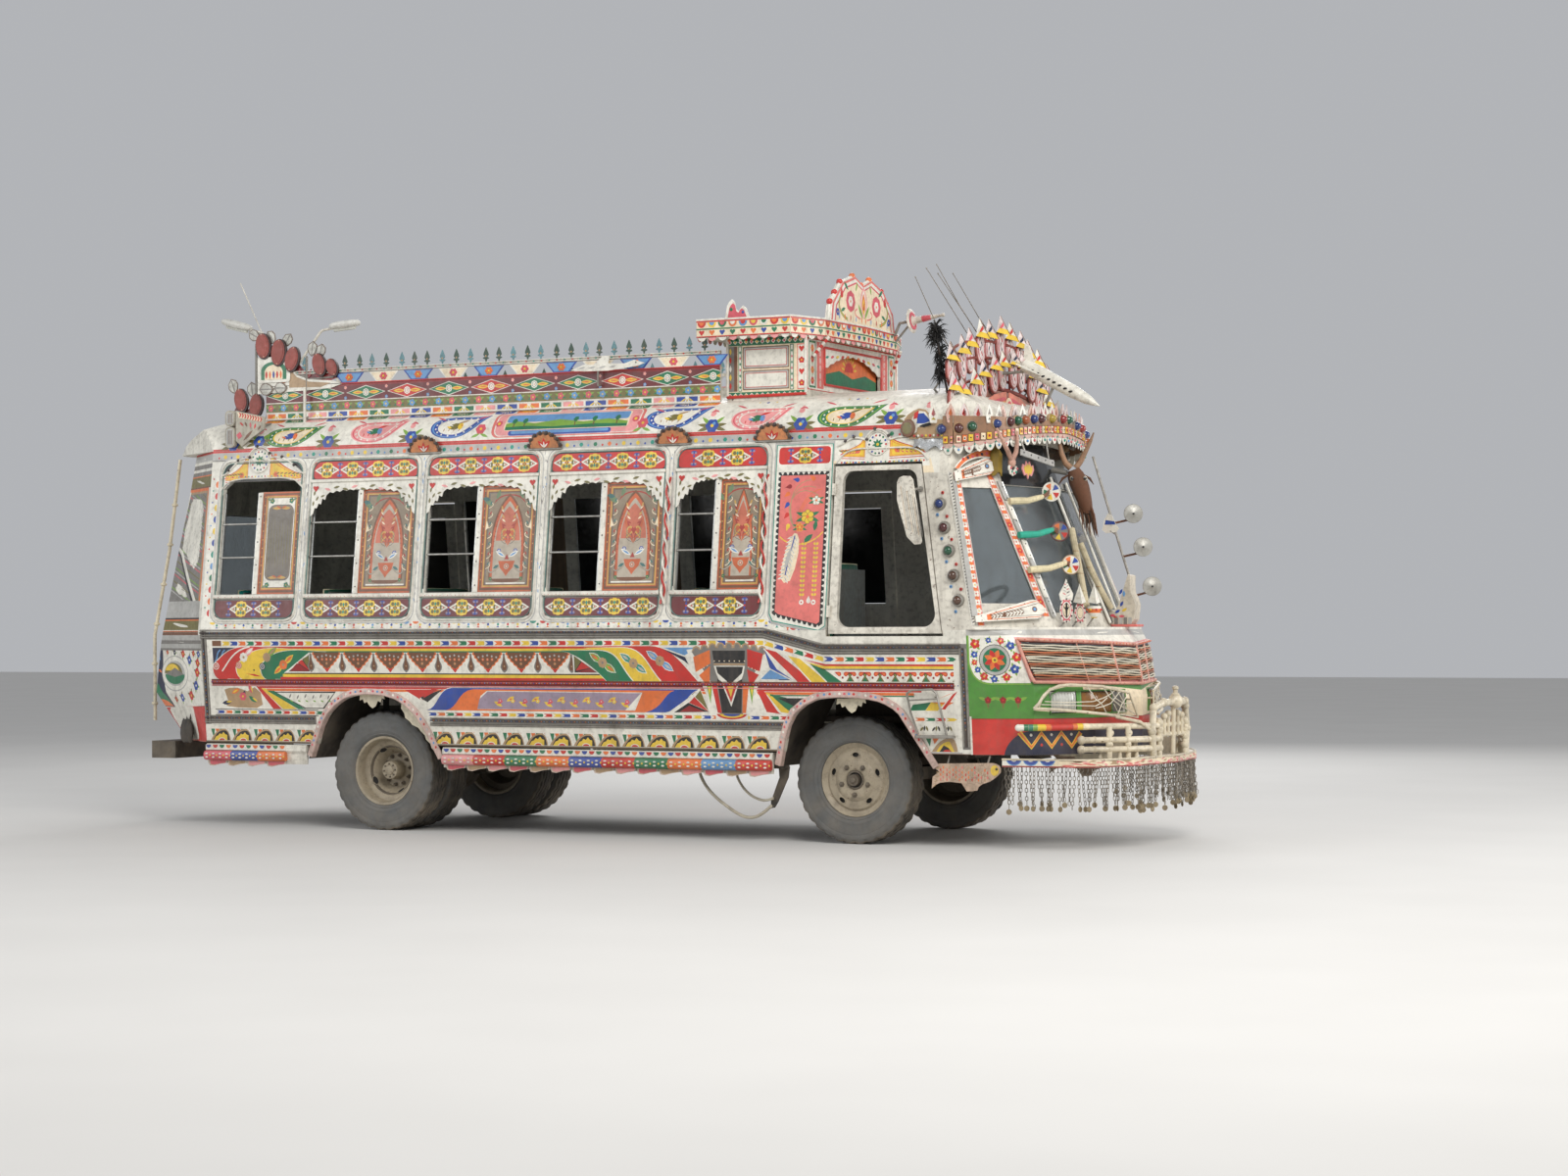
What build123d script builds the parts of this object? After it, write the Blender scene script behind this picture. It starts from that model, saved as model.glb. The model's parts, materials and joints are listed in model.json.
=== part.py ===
from build123d import *
import os, math
os.makedirs("parts", exist_ok=True)

# ---------------------------------------------------------------- dimensions
# Millimetres.  Drawn with X = 0 at the rear axle, +X forward, +Y to the
# vehicle's left, Z = 0 on the road.  Everything is moved by -X_CENTRE at the
# end, so that the origin is below the middle of the whole vehicle.
WHEELBASE = 3409.0
TYRE_R, TYRE_W = 395.0, 200.0
FRONT_TRACK_HALF = 740.0
REAR_INNER, REAR_OUTER = 578.0, 822.0          # centres of the twin tyres
KINGPIN_Y = 635.0
BELT_Z, BELT_Y = 1320.0, 1070.0
LEAN_UP, LEAN_DOWN = 0.12, 0.10                # side leans in, mm per mm
SKIRT_Z, HEADER_Z, EAVE_Z = 570.0, 2270.0, 2560.0
SIDE_X0, SIDE_X1 = -1385.0, 4255.0             # flat part of each side
SILL_Z = 1574.0                                # lower edge of the side windows
WALL = 35.0
FLOOR_Z0, FLOOR_Z1 = 740.0, 775.0
RAIL_Y0, RAIL_Y1, RAIL_Z0, RAIL_Z1 = 350.0, 415.0, 560.0, 700.0
FRONT_TIP, REAR_TIP = 5250.0, -2150.0
X_CENTRE = (FRONT_TIP + REAR_TIP) / 2
DOOR_GAP = 8.0
TOW_R = 16.0                                   # tow pin holes, rear jaw and front bumper
REAR_TOW_X, FRONT_TOW_X = -2116.0, 5137.0

# window bays along the side: rear edge, front edge, shutter's rear edge
BAYS = [(-1295, -609, -955), (-566, 327, -140), (375, 1250, 795),
        (1305, 2177, 1725), (2233, 2888, 2545)]
BLANK = (2948, 3322)                           # painted panel with no window
CAB = (3338, 4105, 3925)                       # cab opening: rear, front at sill, front at top
CAB_Z0, CAB_Z1 = 1290.0, 2335.0
BAR_Z = (1826, 2054)                           # guard bars across the open halves

# ---------------------------------------------------------------- helpers
def wire(pts):
    return Wire.make_polygon([Vector(*p) for p in pts], close=True)

def ext(pts, v):
    return Solid.extrude(Face(wire(pts)), Vector(*v))

def along_x(pts, x0, x1):
    return ext([(x0, y, z) for y, z in pts], (x1 - x0, 0, 0))

def along_y(pts, y0, y1):
    return ext([(x, y0, z) for x, z in pts], (0, y1 - y0, 0))

def along_z(pts, z0, z1):
    return ext([(x, y, z0) for x, y in pts], (0, 0, z1 - z0))

def box(x0, x1, y0, y1, z0, z1):
    return Solid.make_box(x1 - x0, y1 - y0, z1 - z0, Plane(origin=(x0, y0, z0)))

def rod(p, q, r):
    d = Vector(*q) - Vector(*p)
    return Solid.make_cylinder(r, d.length, Plane(origin=p, z_dir=d))

def ball(p, r):
    return Solid.make_sphere(r, Plane(origin=p), -90, 90, 360)

def fuse(*s):
    out = s[0]
    for o in s[1:]:
        out = out.fuse(o)
    return out

def solids_of(o):
    return list(o.solids())

def joined(o):
    """several solids as one shape to work on"""
    return o if hasattr(o, "cut") else Compound(list(o))

def one(o):
    return max(solids_of(o), key=lambda s: s.volume)

def flip(s):
    return s.mirror(Plane.XZ)

def side_y(z):
    """half width of the body at height z"""
    return BELT_Y - LEAN_UP * (z - BELT_Z) if z > BELT_Z else BELT_Y - LEAN_DOWN * (BELT_Z - z)

def pipe(pts, r, bend):
    """round tube of straight runs joined by tangent arcs"""
    path = FilletPolyline(*pts, radius=bend) if len(pts) > 2 else Line(*pts)
    w = path.wire() if hasattr(path, "wire") else Wire([path])
    d = Vector(*pts[1]) - Vector(*pts[0])
    prof = Wire.make_circle(r, Plane(origin=pts[0], z_dir=d))
    return Solid.sweep(prof, path=w)

def spun(profile, x, y_sign, y0):
    """(y outward, radius) outline spun about an axle along Y at (x, axle height)"""
    pts = [(x, y_sign * (y0 + y), TYRE_R + r) for y, r in profile]
    f = Face(wire(pts))
    return Solid.revolve(f, 360, Axis((x, 0, TYRE_R), (0, 1, 0)))

NODES = {}
def put(name, *items):
    for o in items:
        NODES.setdefault(name, []).extend(solids_of(o))

# ---------------------------------------------------------------- body sections
# height, rear wall X, rear wall half width, side front X, corner (x, y), cheek (x, y), centre X
LOWER = [
    (570,  -1820, 640, 4255, 4610, 905, 4880, 560, 4985),
    (900,  -2060, 680, 4255, 4630, 905, 4885, 560, 4990),
    (1240, -1972, 742, 4255, 4590, 900, 4830, 560, 4930),
    (1320, -1950, 750, 4255, 4560, 880, 4790, 560, 4880),
]
UPPER = [
    (1320, -1950, 750, 4300, 4680, 700, 4735, 350, 4790),
    (2270, -1800, 640, 4110, 4285, 690, 4345, 345, 4405),
    (2560, -1760, 610, 4060, 4200, 690, 4260, 345, 4320),
]

def outline(row, inset=0.0):
    z, xr, yr, xs, x1, y1, x2, y2, x3 = row
    ys = side_y(z)
    half = [(xr, -yr), (SIDE_X0, -ys), (xs, -ys), (x1, -y1), (x2, -y2)]
    pts = half + [(x3, 0)] + [(x, -y) for x, y in reversed(half)]
    if not inset:
        return [(x, y, z) for x, y in pts]
    n, out = len(pts), []
    for i in range(n):
        (ax, ay), (bx, by), (cx, cy) = pts[i - 1], pts[i], pts[(i + 1) % n]
        def norm(px, py, qx, qy):
            l = math.hypot(qx - px, qy - py)
            return -(qy - py) / l, (qx - px) / l
        n1, n2 = norm(ax, ay, bx, by), norm(bx, by, cx, cy)
        k = inset / (1 + n1[0] * n2[0] + n1[1] * n2[1])
        out.append((bx + (n1[0] + n2[0]) * k, by + (n1[1] + n2[1]) * k, z))
    return out

def stack(rows, inset=0.0):
    return fuse(*[Solid.make_loft([wire(outline(a, inset)), wire(outline(b, inset))], ruled=True)
                  for a, b in zip(rows, rows[1:])])

def skin(rows, outer=0.0, inner=WALL):
    return one(stack(rows, outer).cut(stack(rows, inner)))

lower_skin, upper_skin = skin(LOWER), skin(UPPER)
BIG = 6000
cab_cut = along_y([(CAB[0] - 8, CAB_Z0 - 8), (CAB[1] + 1.4, CAB_Z0 - 8), (CAB[2] - 1.4, CAB_Z1 + 8), (CAB[0] - 8, CAB_Z1 + 8)], -1300, -850)

# ---------------------------------------------------------------- chassis
for s in (1, -1):
    put("frame_rails", box(-1780, 4700, *sorted((s * RAIL_Y0, s * RAIL_Y1)), RAIL_Z0, RAIL_Z1))
for x in (-1775, -1150, -620, 640, 1300, 2000, 2700, 4350):
    put("frame_cross_members", box(x, x + 70, -RAIL_Y0, RAIL_Y0, RAIL_Z0 + 20, RAIL_Z1 - 20))
put("frame_cross_members", box(4630, 4700, -RAIL_Y0, RAIL_Y0, RAIL_Z0 + 20, RAIL_Z1 - 20))
put("engine_block", box(3080, 3980, -270, 270, 520, 980))

beam = fuse(box(WHEELBASE - 45, WHEELBASE + 45, -KINGPIN_Y + 60, KINGPIN_Y - 60, TYRE_R - 40, TYRE_R + 40),
            box(WHEELBASE - 33, WHEELBASE + 33, -KINGPIN_Y - 32, KINGPIN_Y + 32, TYRE_R - 38, TYRE_R + 38))
beam = fuse(beam, *[rod((WHEELBASE, s * KINGPIN_Y, TYRE_R - 95), (WHEELBASE, s * KINGPIN_Y, TYRE_R + 95), 16) for s in (1, -1)])
put("front_axle_beam", one(beam))

housing = fuse(rod((0, -470, TYRE_R), (0, 470, TYRE_R), 58), ball((0, 0, TYRE_R), 165),
               rod((150, 0, TYRE_R), (260, 0, TYRE_R + 6), 60))
put("rear_axle_and_shaft", one(housing))
put("rear_axle_and_shaft", rod((264, 0, TYRE_R + 6), (3075, 0, 535), 38))

def spring(xc, y, half):
    leaf = [(xc - half, 545), (xc - half + 60, 545), (xc - 90, TYRE_R + 92), (xc + 90, TYRE_R + 92),
            (xc + half - 60, 545), (xc + half, 545), (xc + half, 520), (xc + half - 70, 505),
            (xc + 110, TYRE_R + 60), (xc - 110, TYRE_R + 60), (xc - half + 70, 505), (xc - half, 520)]
    body = along_y(leaf, y - 32, y + 32)
    return fuse(body, box(xc - half, xc - half + 60, y - 32, y + 32, 540, RAIL_Z0),
                box(xc + half - 60, xc + half, y - 32, y + 32, 540, RAIL_Z0))
for xc, half in ((0, 620), (WHEELBASE, 560)):
    for s in (1, -1):
        put("leaf_springs", one(spring(xc, s * 382, half)))

# ---------------------------------------------------------------- wheels
TYRE = [(-88, 395), (88, 395), (99, 372), (102, 320), (96, 262), (82, 231), (-82, 231), (-96, 262), (-102, 320), (-99, 372)]
RIM_F = [(-84, 230), (-84, 214), (-60, 200), (20, 186), (48, 160), (58, 110), (30, 60), (30, 36), (120, 36),
         (120, 58), (86, 64), (86, 112), (70, 160), (58, 192), (76, 216), (78, 230)]

def wheel_front(s):
    w = spun(RIM_F, WHEELBASE, s, FRONT_TRACK_HALF)
    for k in range(5):
        a = math.radians(72 * k + 18)
        c = (WHEELBASE + 138 * math.cos(a), 0, TYRE_R + 138 * math.sin(a))
        w = w.cut(rod((c[0], s * (FRONT_TRACK_HALF + 20), c[2]), (c[0], s * (FRONT_TRACK_HALF + 130), c[2]), 19))
    return one(w)

def wheel_rear(s):
    ring = lambda y: spun([(-84, 230), (-84, 214), (-60, 202), (60, 202), (84, 214), (84, 230), (78, 230), (60, 212), (-60, 212), (-78, 230)], 0, s, y)
    disc = spun([(0, 204), (0, 160), (-96, 120), (-96, 60), (-104, 60), (-104, 0), (20, 0), (20, 62), (-84, 66), (-84, 112), (14, 158), (16, 204)], 0, s, REAR_OUTER)
    disc2 = spun([(-10, 204), (0, 160), (96, 120), (96, 60), (104, 60), (104, 0), (134, 0), (134, 66), (110, 68), (110, 124), (16, 166), (8, 204)], 0, s, REAR_INNER)
    hub = rod((0, s * 480, TYRE_R), (0, s * (REAR_OUTER + 15), TYRE_R), 55)
    return fuse(ring(REAR_OUTER), disc, ring(REAR_INNER), disc2, hub)

for s, name in ((-1, "right"), (1, "left")):
    put(f"front_{name}_tyre", spun(TYRE, WHEELBASE, s, FRONT_TRACK_HALF))
    put(f"front_{name}_wheel", wheel_front(s))
    put(f"rear_{name}_tyres", spun(TYRE, 0, s, REAR_INNER), spun(TYRE, 0, s, REAR_OUTER))
    put(f"rear_{name}_wheels", wheel_rear(s))
    ky = s * KINGPIN_Y
    ears = fuse(box(WHEELBASE - 42, WHEELBASE + 42, *sorted((ky - s * 42, ky + s * 62)), TYRE_R + 46, TYRE_R + 90),
                box(WHEELBASE - 42, WHEELBASE + 42, *sorted((ky - s * 42, ky + s * 62)), TYRE_R - 90, TYRE_R - 46),
                box(WHEELBASE - 42, WHEELBASE + 42, *sorted((ky + s * 56, ky + s * 74)), TYRE_R - 90, TYRE_R + 90),
                rod((WHEELBASE, ky + s * 66, TYRE_R), (WHEELBASE, s * (FRONT_TRACK_HALF + 110), TYRE_R), 35.7))
    ears = ears.cut(rod((WHEELBASE, ky, 200), (WHEELBASE, ky, 600), 16.3))
    put(f"front_{name}_knuckle", one(ears))

# ---------------------------------------------------------------- floor and arches
# wheel arch in the side panel: list of (x, z), open at the bottom
# each row: point, or point through which an arc runs to the next row's point
ARCH_R = [("to", -513, 480), ("to", -460, 600), ("via", -370, 770), ("to", -221, 877), ("via", -70, 903), ("to", 93, 894),
          ("via", 250, 832), ("to", 360, 715), ("to", 485, 480)]
ARCH_F = [("to", 2985, 480), ("to", 3025, 640), ("via", 3100, 806), ("to", 3249, 893), ("via", 3427, 907), ("to", 3602, 895),
          ("via", 3710, 867), ("to", 3797, 808), ("to", 4010, 480)]
def curve_along_y(rows, y0, y1):
    """closed outline of lines and arcs in (x, z), drawn out along Y"""
    edges, last, via = [], None, None
    for kind, x, z in rows + [rows[0]]:
        p = (x, y0, z)
        if kind == "via":
            via = p
            continue
        if last is not None:
            edges.append((ThreePointArc(last, via, p) if via else Line(last, p)).edge())
        last, via = p, None
    return Solid.extrude(Face(Wire(edges)), Vector(0, y1 - y0, 0))
LINER_R = [(-560, 470), (-250, 960), (230, 960), (500, 470)]
LINER_F = [(2880, 470), (3140, 960), (3660, 960), (4010, 470)]
def thicken(p, t):
    """outline of a bent sheet: the open polyline p and the same moved out by t"""
    cx = sum(a[0] for a in p) / len(p)
    outer = [(x + (t * 1.25 if x > cx else -t * 1.25), z + t if z > 700 else z) for x, z in p]
    return p + outer[::-1]
for s in (1, -1):
    for pr, y0 in ((LINER_R, 450), (LINER_F, 440)):
        ys = sorted((s * y0, s * 948))
        put("wheel_arch_liners", along_y(thicken(pr, 14), *ys))

floor = along_z([(-1780, -600), (-1385, -950), (4250, -950), (4560, -820), (4740, -520), (4740, 520), (4560, 820), (4250, 950), (-1385, 950), (-1780, 600)], FLOOR_Z0, FLOOR_Z1)
for s in (1, -1):
    for x0, x1, y0 in ((-560, 520, 440), (2860, 4020, 430)):
        floor = floor.cut(box(x0, x1, *sorted((s * y0, s * 1100)), 700, 800))
floor = floor.cut(box(3070, 3990, -280, 280, 700, 800))
put("floor_deck", one(floor))
put("engine_cover", one(box(3040, 4020, -310, 310, FLOOR_Z1, 1040).cut(box(3060, 4000, -290, 290, FLOOR_Z1 - 5, 1020))))

# ---------------------------------------------------------------- side walls
side_box = box(SIDE_X0, SIDE_X1, -BIG, 0, 0, 4000)
right_lower = one(lower_skin.intersect(side_box))
for arch in (ARCH_R, ARCH_F):
    right_lower = one(right_lower.cut(curve_along_y(arch, -1200, -800)))
right_lower = one(right_lower.cut(cab_cut))
DOORS = {"rear_passenger_door": (-1295, -609), "front_passenger_door": (2233, 2888)}
DOOR_Z0, DOOR_Z1 = 640.0, 2262.0
left_lower = flip(right_lower)
for x0, x1 in DOORS.values():
    left_lower = one(left_lower.cut(box(x0, x1, 800, 1200, DOOR_Z0, 1400)))
put("lower_side_panels", right_lower, left_lower)

def upper(x0, x1, z0, z1):
    return one(upper_skin.intersect(box(x0, x1, -BIG, 0, z0, z1)))

sill = upper(SIDE_X0, BLANK[0] - 30, BELT_Z, SILL_Z)
put("window_sill_and_header_panels", sill)
for x0, x1 in ((SIDE_X0, -1295), (-609, 2233), (2888, BLANK[0] - 30)):
    put("window_sill_and_header_panels", flip(upper(x0, x1, BELT_Z, SILL_Z)))
header = one(upper(SIDE_X0, 4040, HEADER_Z, EAVE_Z).cut(cab_cut))
bay_arch = along_y([(-1273, 2200), (-1273, 2296), (-1212, 2345), (-692, 2345), (-631, 2296), (-631, 2200)], -1300, -800)
put("window_sill_and_header_panels", one(header.cut(bay_arch)), flip(header))

edge = 22
posts = [(SIDE_X0, BAYS[0][0] + edge)]
for a, b in zip(BAYS, BAYS[1:]):
    posts.append((a[1] - edge, b[0] + edge))
for x0, x1 in posts:
    p = upper(x0, x1, SILL_Z, HEADER_Z)
    put("window_posts", p)
    q = flip(p)
    for d0, d1 in DOORS.values():
        q = one(q.cut(box(d0, d1, 0, BIG, 0, 3000)))
    put("window_posts", q)
blank = fuse(upper(BAYS[4][1] - edge, BLANK[0] - 30, SILL_Z, HEADER_Z), upper(BLANK[0] - 30, CAB[0] - 10, BELT_Z, HEADER_Z))
put("window_posts", one(blank))
put("window_posts", one(flip(blank).cut(box(2233, 2888, 0, BIG, 0, 3000))))

# ---------------------------------------------------------------- shutters and guard bars
def pane(x0, x1, z0, z1, t0=6, t1=24):
    """flat board set t0..t1 inside the outer face of the side"""
    pts = [(-side_y(z0) + t0, z0), (-side_y(z1) + t0, z1), (-side_y(z1) + t1, z1), (-side_y(z0) + t1, z0)]
    return along_x(pts, x0, x1)
for i, (x0, x1, xs) in enumerate(BAYS):
    sh = pane(xs, x1 - edge, SILL_Z, HEADER_Z)
    put("window_shutters", sh)
    bars = [rod((x0 + edge, -side_y(z) + 16, z), (xs, -side_y(z) + 16, z), 7) for z in BAR_Z]
    put("window_bars", *bars)
    if i in (1, 2, 3):
        put("window_shutters", flip(sh))
        put("window_bars", *[flip(b) for b in bars])

# ---------------------------------------------------------------- nose, windscreen, rear
nose = one(lower_skin.intersect(box(SIDE_X1, BIG, -BIG, BIG, 0, 4000)))
for s in (1, -1):
    nose = one(nose.cut(box(4640, 5200, *sorted((s * 200, s * 820)), 808, 955)))
cowl = along_z([(4255, -1060), (4300, -1066), (4560, -876), (4790, -560), (4878, 0), (4790, 560), (4560, 876), (4300, 1066), (4255, 1060)], BELT_Z, BELT_Z + 14)
cowl = cowl.cut(stack([(BELT_Z - 40, *UPPER[0][1:]), (BELT_Z + 60, *UPPER[0][1:])], 0.5))

def nose_band(rows, o, i):
    return stack(rows, o).cut(stack(rows, i))
GR = [(965, -2040, 690, 4255, 4626, 904, 4875, 560, 4981), (1240, *LOWER[2][1:])]
grille = one(nose_band(GR, -26, -1).intersect(box(4560, BIG, -905, 905, 970, 1235)))
for s in (1, -1):
    grille = one(grille.cut(box(4640, 5300, *sorted((s * 200, s * 820)), 780, 968)))
put("grille_panel", grille)

def lens(s):
    pts = [(4660, s * 206), (4916, s * 206), (4850, s * 550), (4662, s * 810), (4642, s * 810)]
    return along_z(pts, 814, 949)
put("headlamps", lens(-1), lens(1))

front_box = box(4040, BIG, -BIG, BIG, BELT_Z, HEADER_Z)
wind = joined(upper_skin.intersect(box(CAB[0] - 10, BIG, -BIG, BIG, BELT_Z, EAVE_Z)))
wind = joined(wind.cut(box(3000, 4040, -BIG, BIG, HEADER_Z, EAVE_Z)))
wind = joined(wind.cut(cab_cut))
wind = one(wind.cut(flip(cab_cut)))
half_glass = [(4000, -640, 1420), (4000, -30, 1420), (4000, -30, 2200), (4000, -625, 2200)]
glass_cut = [ext(half_glass, (1000, 0, 0)), flip(ext(half_glass, (1000, 0, 0)))]
qn = (0.66, -0.75, 0.2)                        # outward normal of the quarter facet
q_pts = [(4335, -1000, 1480), (4600, -752, 1480), (4290, -742, 2180), (4165, -905, 2180)]
def flat(pts, n, back):
    """points moved along n into one plane, back mm behind the first"""
    nn = sum(c * c for c in n)
    d0 = sum(c * q for c, q in zip(n, pts[0]))
    out = []
    for p in pts:
        k = (sum(c * q for c, q in zip(n, p)) - d0) / nn + back / math.sqrt(nn)
        out.append(tuple(q - k * c for q, c in zip(p, n)))
    return out
q_pts = flat(q_pts, qn, 120)
q_cut = ext(q_pts, tuple(240 * c for c in qn))
glass_cut += [q_cut, flip(q_cut)]
for g in glass_cut:
    wind = one(wind.cut(g))
put("windscreen_frame", wind)
put("nose_shell", one(fuse(nose, one(cowl.cut(wind)))))
pane_skin = stack(UPPER, 12).cut(stack(UPPER, 18))
for g in glass_cut:
    put("window_glass", one(pane_skin.intersect(g)))

REAR_SPLIT = 600
rear_cut = box(-BIG, -1700, -430, 430, 1500, 2150)
rear_box = box(-BIG, SIDE_X0, -REAR_SPLIT, REAR_SPLIT, 0, 4000)
rear_wall = fuse(one(lower_skin.intersect(rear_box)), one(upper_skin.intersect(rear_box))).cut(rear_cut)
put("rear_wall", one(rear_wall))
put("window_glass", one(pane_skin.intersect(rear_cut)))
corner_box = box(-BIG, SIDE_X0, -BIG, -REAR_SPLIT, 0, 4000)
corner = one(fuse(one(lower_skin.intersect(corner_box)), one(upper_skin.intersect(corner_box))))
put("rear_corner_panels", corner, flip(corner))
rear_beam = fuse(box(-2085, -1880, -700, 700, 440, 560), box(-2149, -2085, -60, 60, 440, 560))
put("rear_bumper", one(rear_beam.cut(rod((REAR_TOW_X, 0, 400), (REAR_TOW_X, 0, 600), TOW_R))))
for s in (1, -1):
    rail = pipe([(-2135, s * 600, 700), (-2150 + 12, s * 600, 1300), (-2040, s * 560, 1900), (-1960, s * 540, 2540)], 12, 200) 
    put("rear_ladder", rail)

# ---------------------------------------------------------------- roof
def roof_solid(t):
    e = EAVE_Z if t == 0 else EAVE_Z - 1
    a, b, c = (-921 + t, e), (-868 + t, 2688 - t * .6), (-740 + t * .5, 2768 - t)
    ed = [ThreePointArc((SIDE_X0 - 700, *a), (SIDE_X0 - 700, *b), (SIDE_X0 - 700, *c)),
          ThreePointArc((SIDE_X0 - 700, *c), (SIDE_X0 - 700, 0, 2850 - t), (SIDE_X0 - 700, -c[0], c[1])),
          ThreePointArc((SIDE_X0 - 700, -c[0], c[1]), (SIDE_X0 - 700, -b[0], b[1]), (SIDE_X0 - 700, -a[0], a[1])),
          Line((SIDE_X0 - 700, -a[0], a[1]), (SIDE_X0 - 700, *a))]
    bar = Solid.extrude(Face(Wire([e_.edge() for e_ in ed])), Vector(6600, 0, 0))
    lengthways = along_y([(-1930 + t, e), (-1900 + t, 2570), (-1720 + t, 2660 - t), (-1300, 2790 - t), (-900, 2860 - t), (3700, 2860 - t), (4080 - t, 2770 - t), (4300 - t, 2640 - t), (4330 - t, e)], -BIG, BIG)
    plan = along_z([(-1930 + t, -560), (-1800 + t, -680 + t), (SIDE_X0, -925 + t), (4070, -925 + t), (4215 - t, -700), (4330 - t, 0),
                    (4215 - t, 700), (4070, 925 - t), (SIDE_X0, 925 - t), (-1800 + t, 680 - t), (-1930 + t, 560)], 2000, 3500)
    return one(joined(bar.intersect(lengthways)).intersect(plan))
roof = one(roof_solid(0).cut(roof_solid(30)))
put("roof_shell", roof)

RACK_X0, RACK_X1, RACK_Y = -1060, 2450, 750
def rack_side():
    y0, y1 = -RACK_Y - 10, -RACK_Y + 10
    low = box(RACK_X0, RACK_X1, y0, y1, 2772, 3000)
    top = box(RACK_X0, RACK_X1, y0, y1, 3075, 3098)
    post = [box(RACK_X0 + i * 579, RACK_X0 + i * 579 + 36, y0, y1, 2990, 3080) for i in range(7)]
    return one(fuse(low, top, *post))
put("roof_rack", rack_side(), flip(rack_side()))
put("roof_rack", box(RACK_X0 + 4, RACK_X0 + 24, -RACK_Y + 16, RACK_Y - 16, 2862, 3098))

CASTLE = (2469, 3026, 700)                     # turret: rear X, front X, half width
CX0, CX1, CY = CASTLE
castle = box(CX0, CX1, -CY, CY, 2778, 3170).cut(box(CX0 + 20, CX1 - 20, -CY + 20, CY - 20, 2700, 3300))
castle = castle.cut(box(CX1 - 40, CX1 + 20, -430, 430, 2885, 3110))          # niche in the front
castle = castle.cut(roof_solid(0))
put("roof_castle", one(castle))
CANOPY = [(2330, -850), (2990, -850), (3090, -560), (3124, 0), (3090, 560), (2990, 850), (2330, 850)]
CREST = [(-494, 3280), (-470, 3400), (-400, 3465), (-320, 3540), (-130, 3596), (0, 3550), (130, 3596), (320, 3540), (400, 3465), (470, 3400), (494, 3280)]
canopy = fuse(along_z(CANOPY, 3172, 3284), along_x(CREST, 3060, 3104))
put("castle_canopy", one(canopy))

# winged ornaments at the rear of the rack and on the rear roof corners
WING = [(-1125, 2960), (-1200, 3350), (-1075, 3385), (-860, 3348), (-770, 3195), (-650, 3290), (-520, 3200), (-452, 3075), (-700, 2955)]
put("rear_roof_wings", along_y(WING, -786, -765))
LOW_WING = [(-1370, 2700), (-1360, 2990), (-1300, 3050), (-1240, 3000), (-1170, 3015), (-1112, 2900), (-1112, 2700)]
low_wing = one(along_y(LOW_WING, -728, -708).cut(roof_solid(-0.5)))
put("rear_roof_wings", low_wing, flip(low_wing))
# two lamp arms and an aerial on the top rail of the rack, right side
rail_top = box(-2000, 0, -1000, 0, 3000, 3098)
for pts in ([(-1000, -750, 3085), (-1081, -750, 3372), (-1425, -750, 3462)], [(-850, -750, 3085), (-608, -750, 3372), (-310, -750, 3404)]):
    put("roof_lamps_and_aerials", one(pipe(pts, 9, 60).cut(rail_top)))
put("roof_lamps_and_aerials", one(rod((-948, -750, 3075), (-1283, -750, 3729), 4).cut(rail_top)))

# ---------------------------------------------------------------- front ornaments
SHELF = [(4062, -950), (4130, -950), (4330, -780), (4450, -430), (4500, 0), (4450, 430), (4330, 780), (4130, 950), (4062, 950)]
visor = joined(joined(along_z(SHELF, 2566, 2612).cut(roof_solid(-1))).cut(stack(UPPER, -1)))
visor = one(visor)
put("front_visor", visor)
CROWN = [(800, 2622), (850, 2820), (862, 2970), (850, 3060), (760, 3112), (600, 3162), (450, 3212), (320, 3275), (0, 3315)]
CROWN = CROWN + [(-y, z) for y, z in reversed(CROWN[:-1])]
crown = joined(along_x(CROWN, 4040, 4064).cut(roof_solid(-1)))
put("front_crown", one(crown))

# front bumper ledge: outer and inner plan, then the strip of hanging chain under it
BUMP = [(4450, 985), (4800, 968), (5010, 900), (5150, 560), (5215, 0)]
def strip(pts, t):
    inner = [(x - t * 0.95, y - t * 0.5) if i else (x, y - t) for i, (x, y) in enumerate(pts)]
    inner[-1] = (pts[-1][0] - t, 0)
    left = pts + [(x, -y) for x, y in reversed(pts[:-1])]
    lin = inner + [(x, -y) for x, y in reversed(inner[:-1])]
    return left + lin[::-1]
bumper = along_z(strip(BUMP, 130), 500, 545)
bumper = fuse(bumper, *[box(4600, 5080, *sorted((s * 350, s * 415)), 545, 560) for s in (1, -1)],
              *[box(4700, 5080, *sorted((s * 350, s * 415)), 530, 640) for s in (1, -1)])
bumper = joined(bumper.cut(stack(LOWER, -1.0)))
bumper = joined(bumper.cut(rod((FRONT_TOW_X, 0, 450), (FRONT_TOW_X, 0, 600), TOW_R)))
put("front_bumper", one(bumper))
bars = []
# three tubes round each front corner, close to the nose, joined by posts, and a rising hoop in the middle
for s in (1, -1):
    for z, pts in ((735, [(4560, 985), (4662, 920), (4874, 632), (4985, 530), (5075, 440), (5150, 330), (5180, 240)]),
                   (655, [(4850, 700), (4912, 628), (4985, 590), (5065, 500), (5140, 370), (5180, 240)]),
                   (598, [(4850, 700), (4912, 628), (4985, 590), (5065, 500), (5140, 370), (5180, 240)])):
        for a, b in zip(pts, pts[1:]):
            bars.append(rod((a[0], s * a[1], z), (b[0], s * b[1], z), 19))
        for a in pts[:-1]:
            bars.append(ball((a[0], s * a[1], z), 19))
    for x, y, top in ((4985, 590, 735), (5180, 240, 745), (5065, 480, 735)):
        bars.append(rod((x, s * y, 540), (x, s * y, top), 17))
HOOP = [(-300, 540), (-330, 700), (-300, 840), (-200, 872), (200, 872), (300, 840), (330, 700), (300, 540)]
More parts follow.
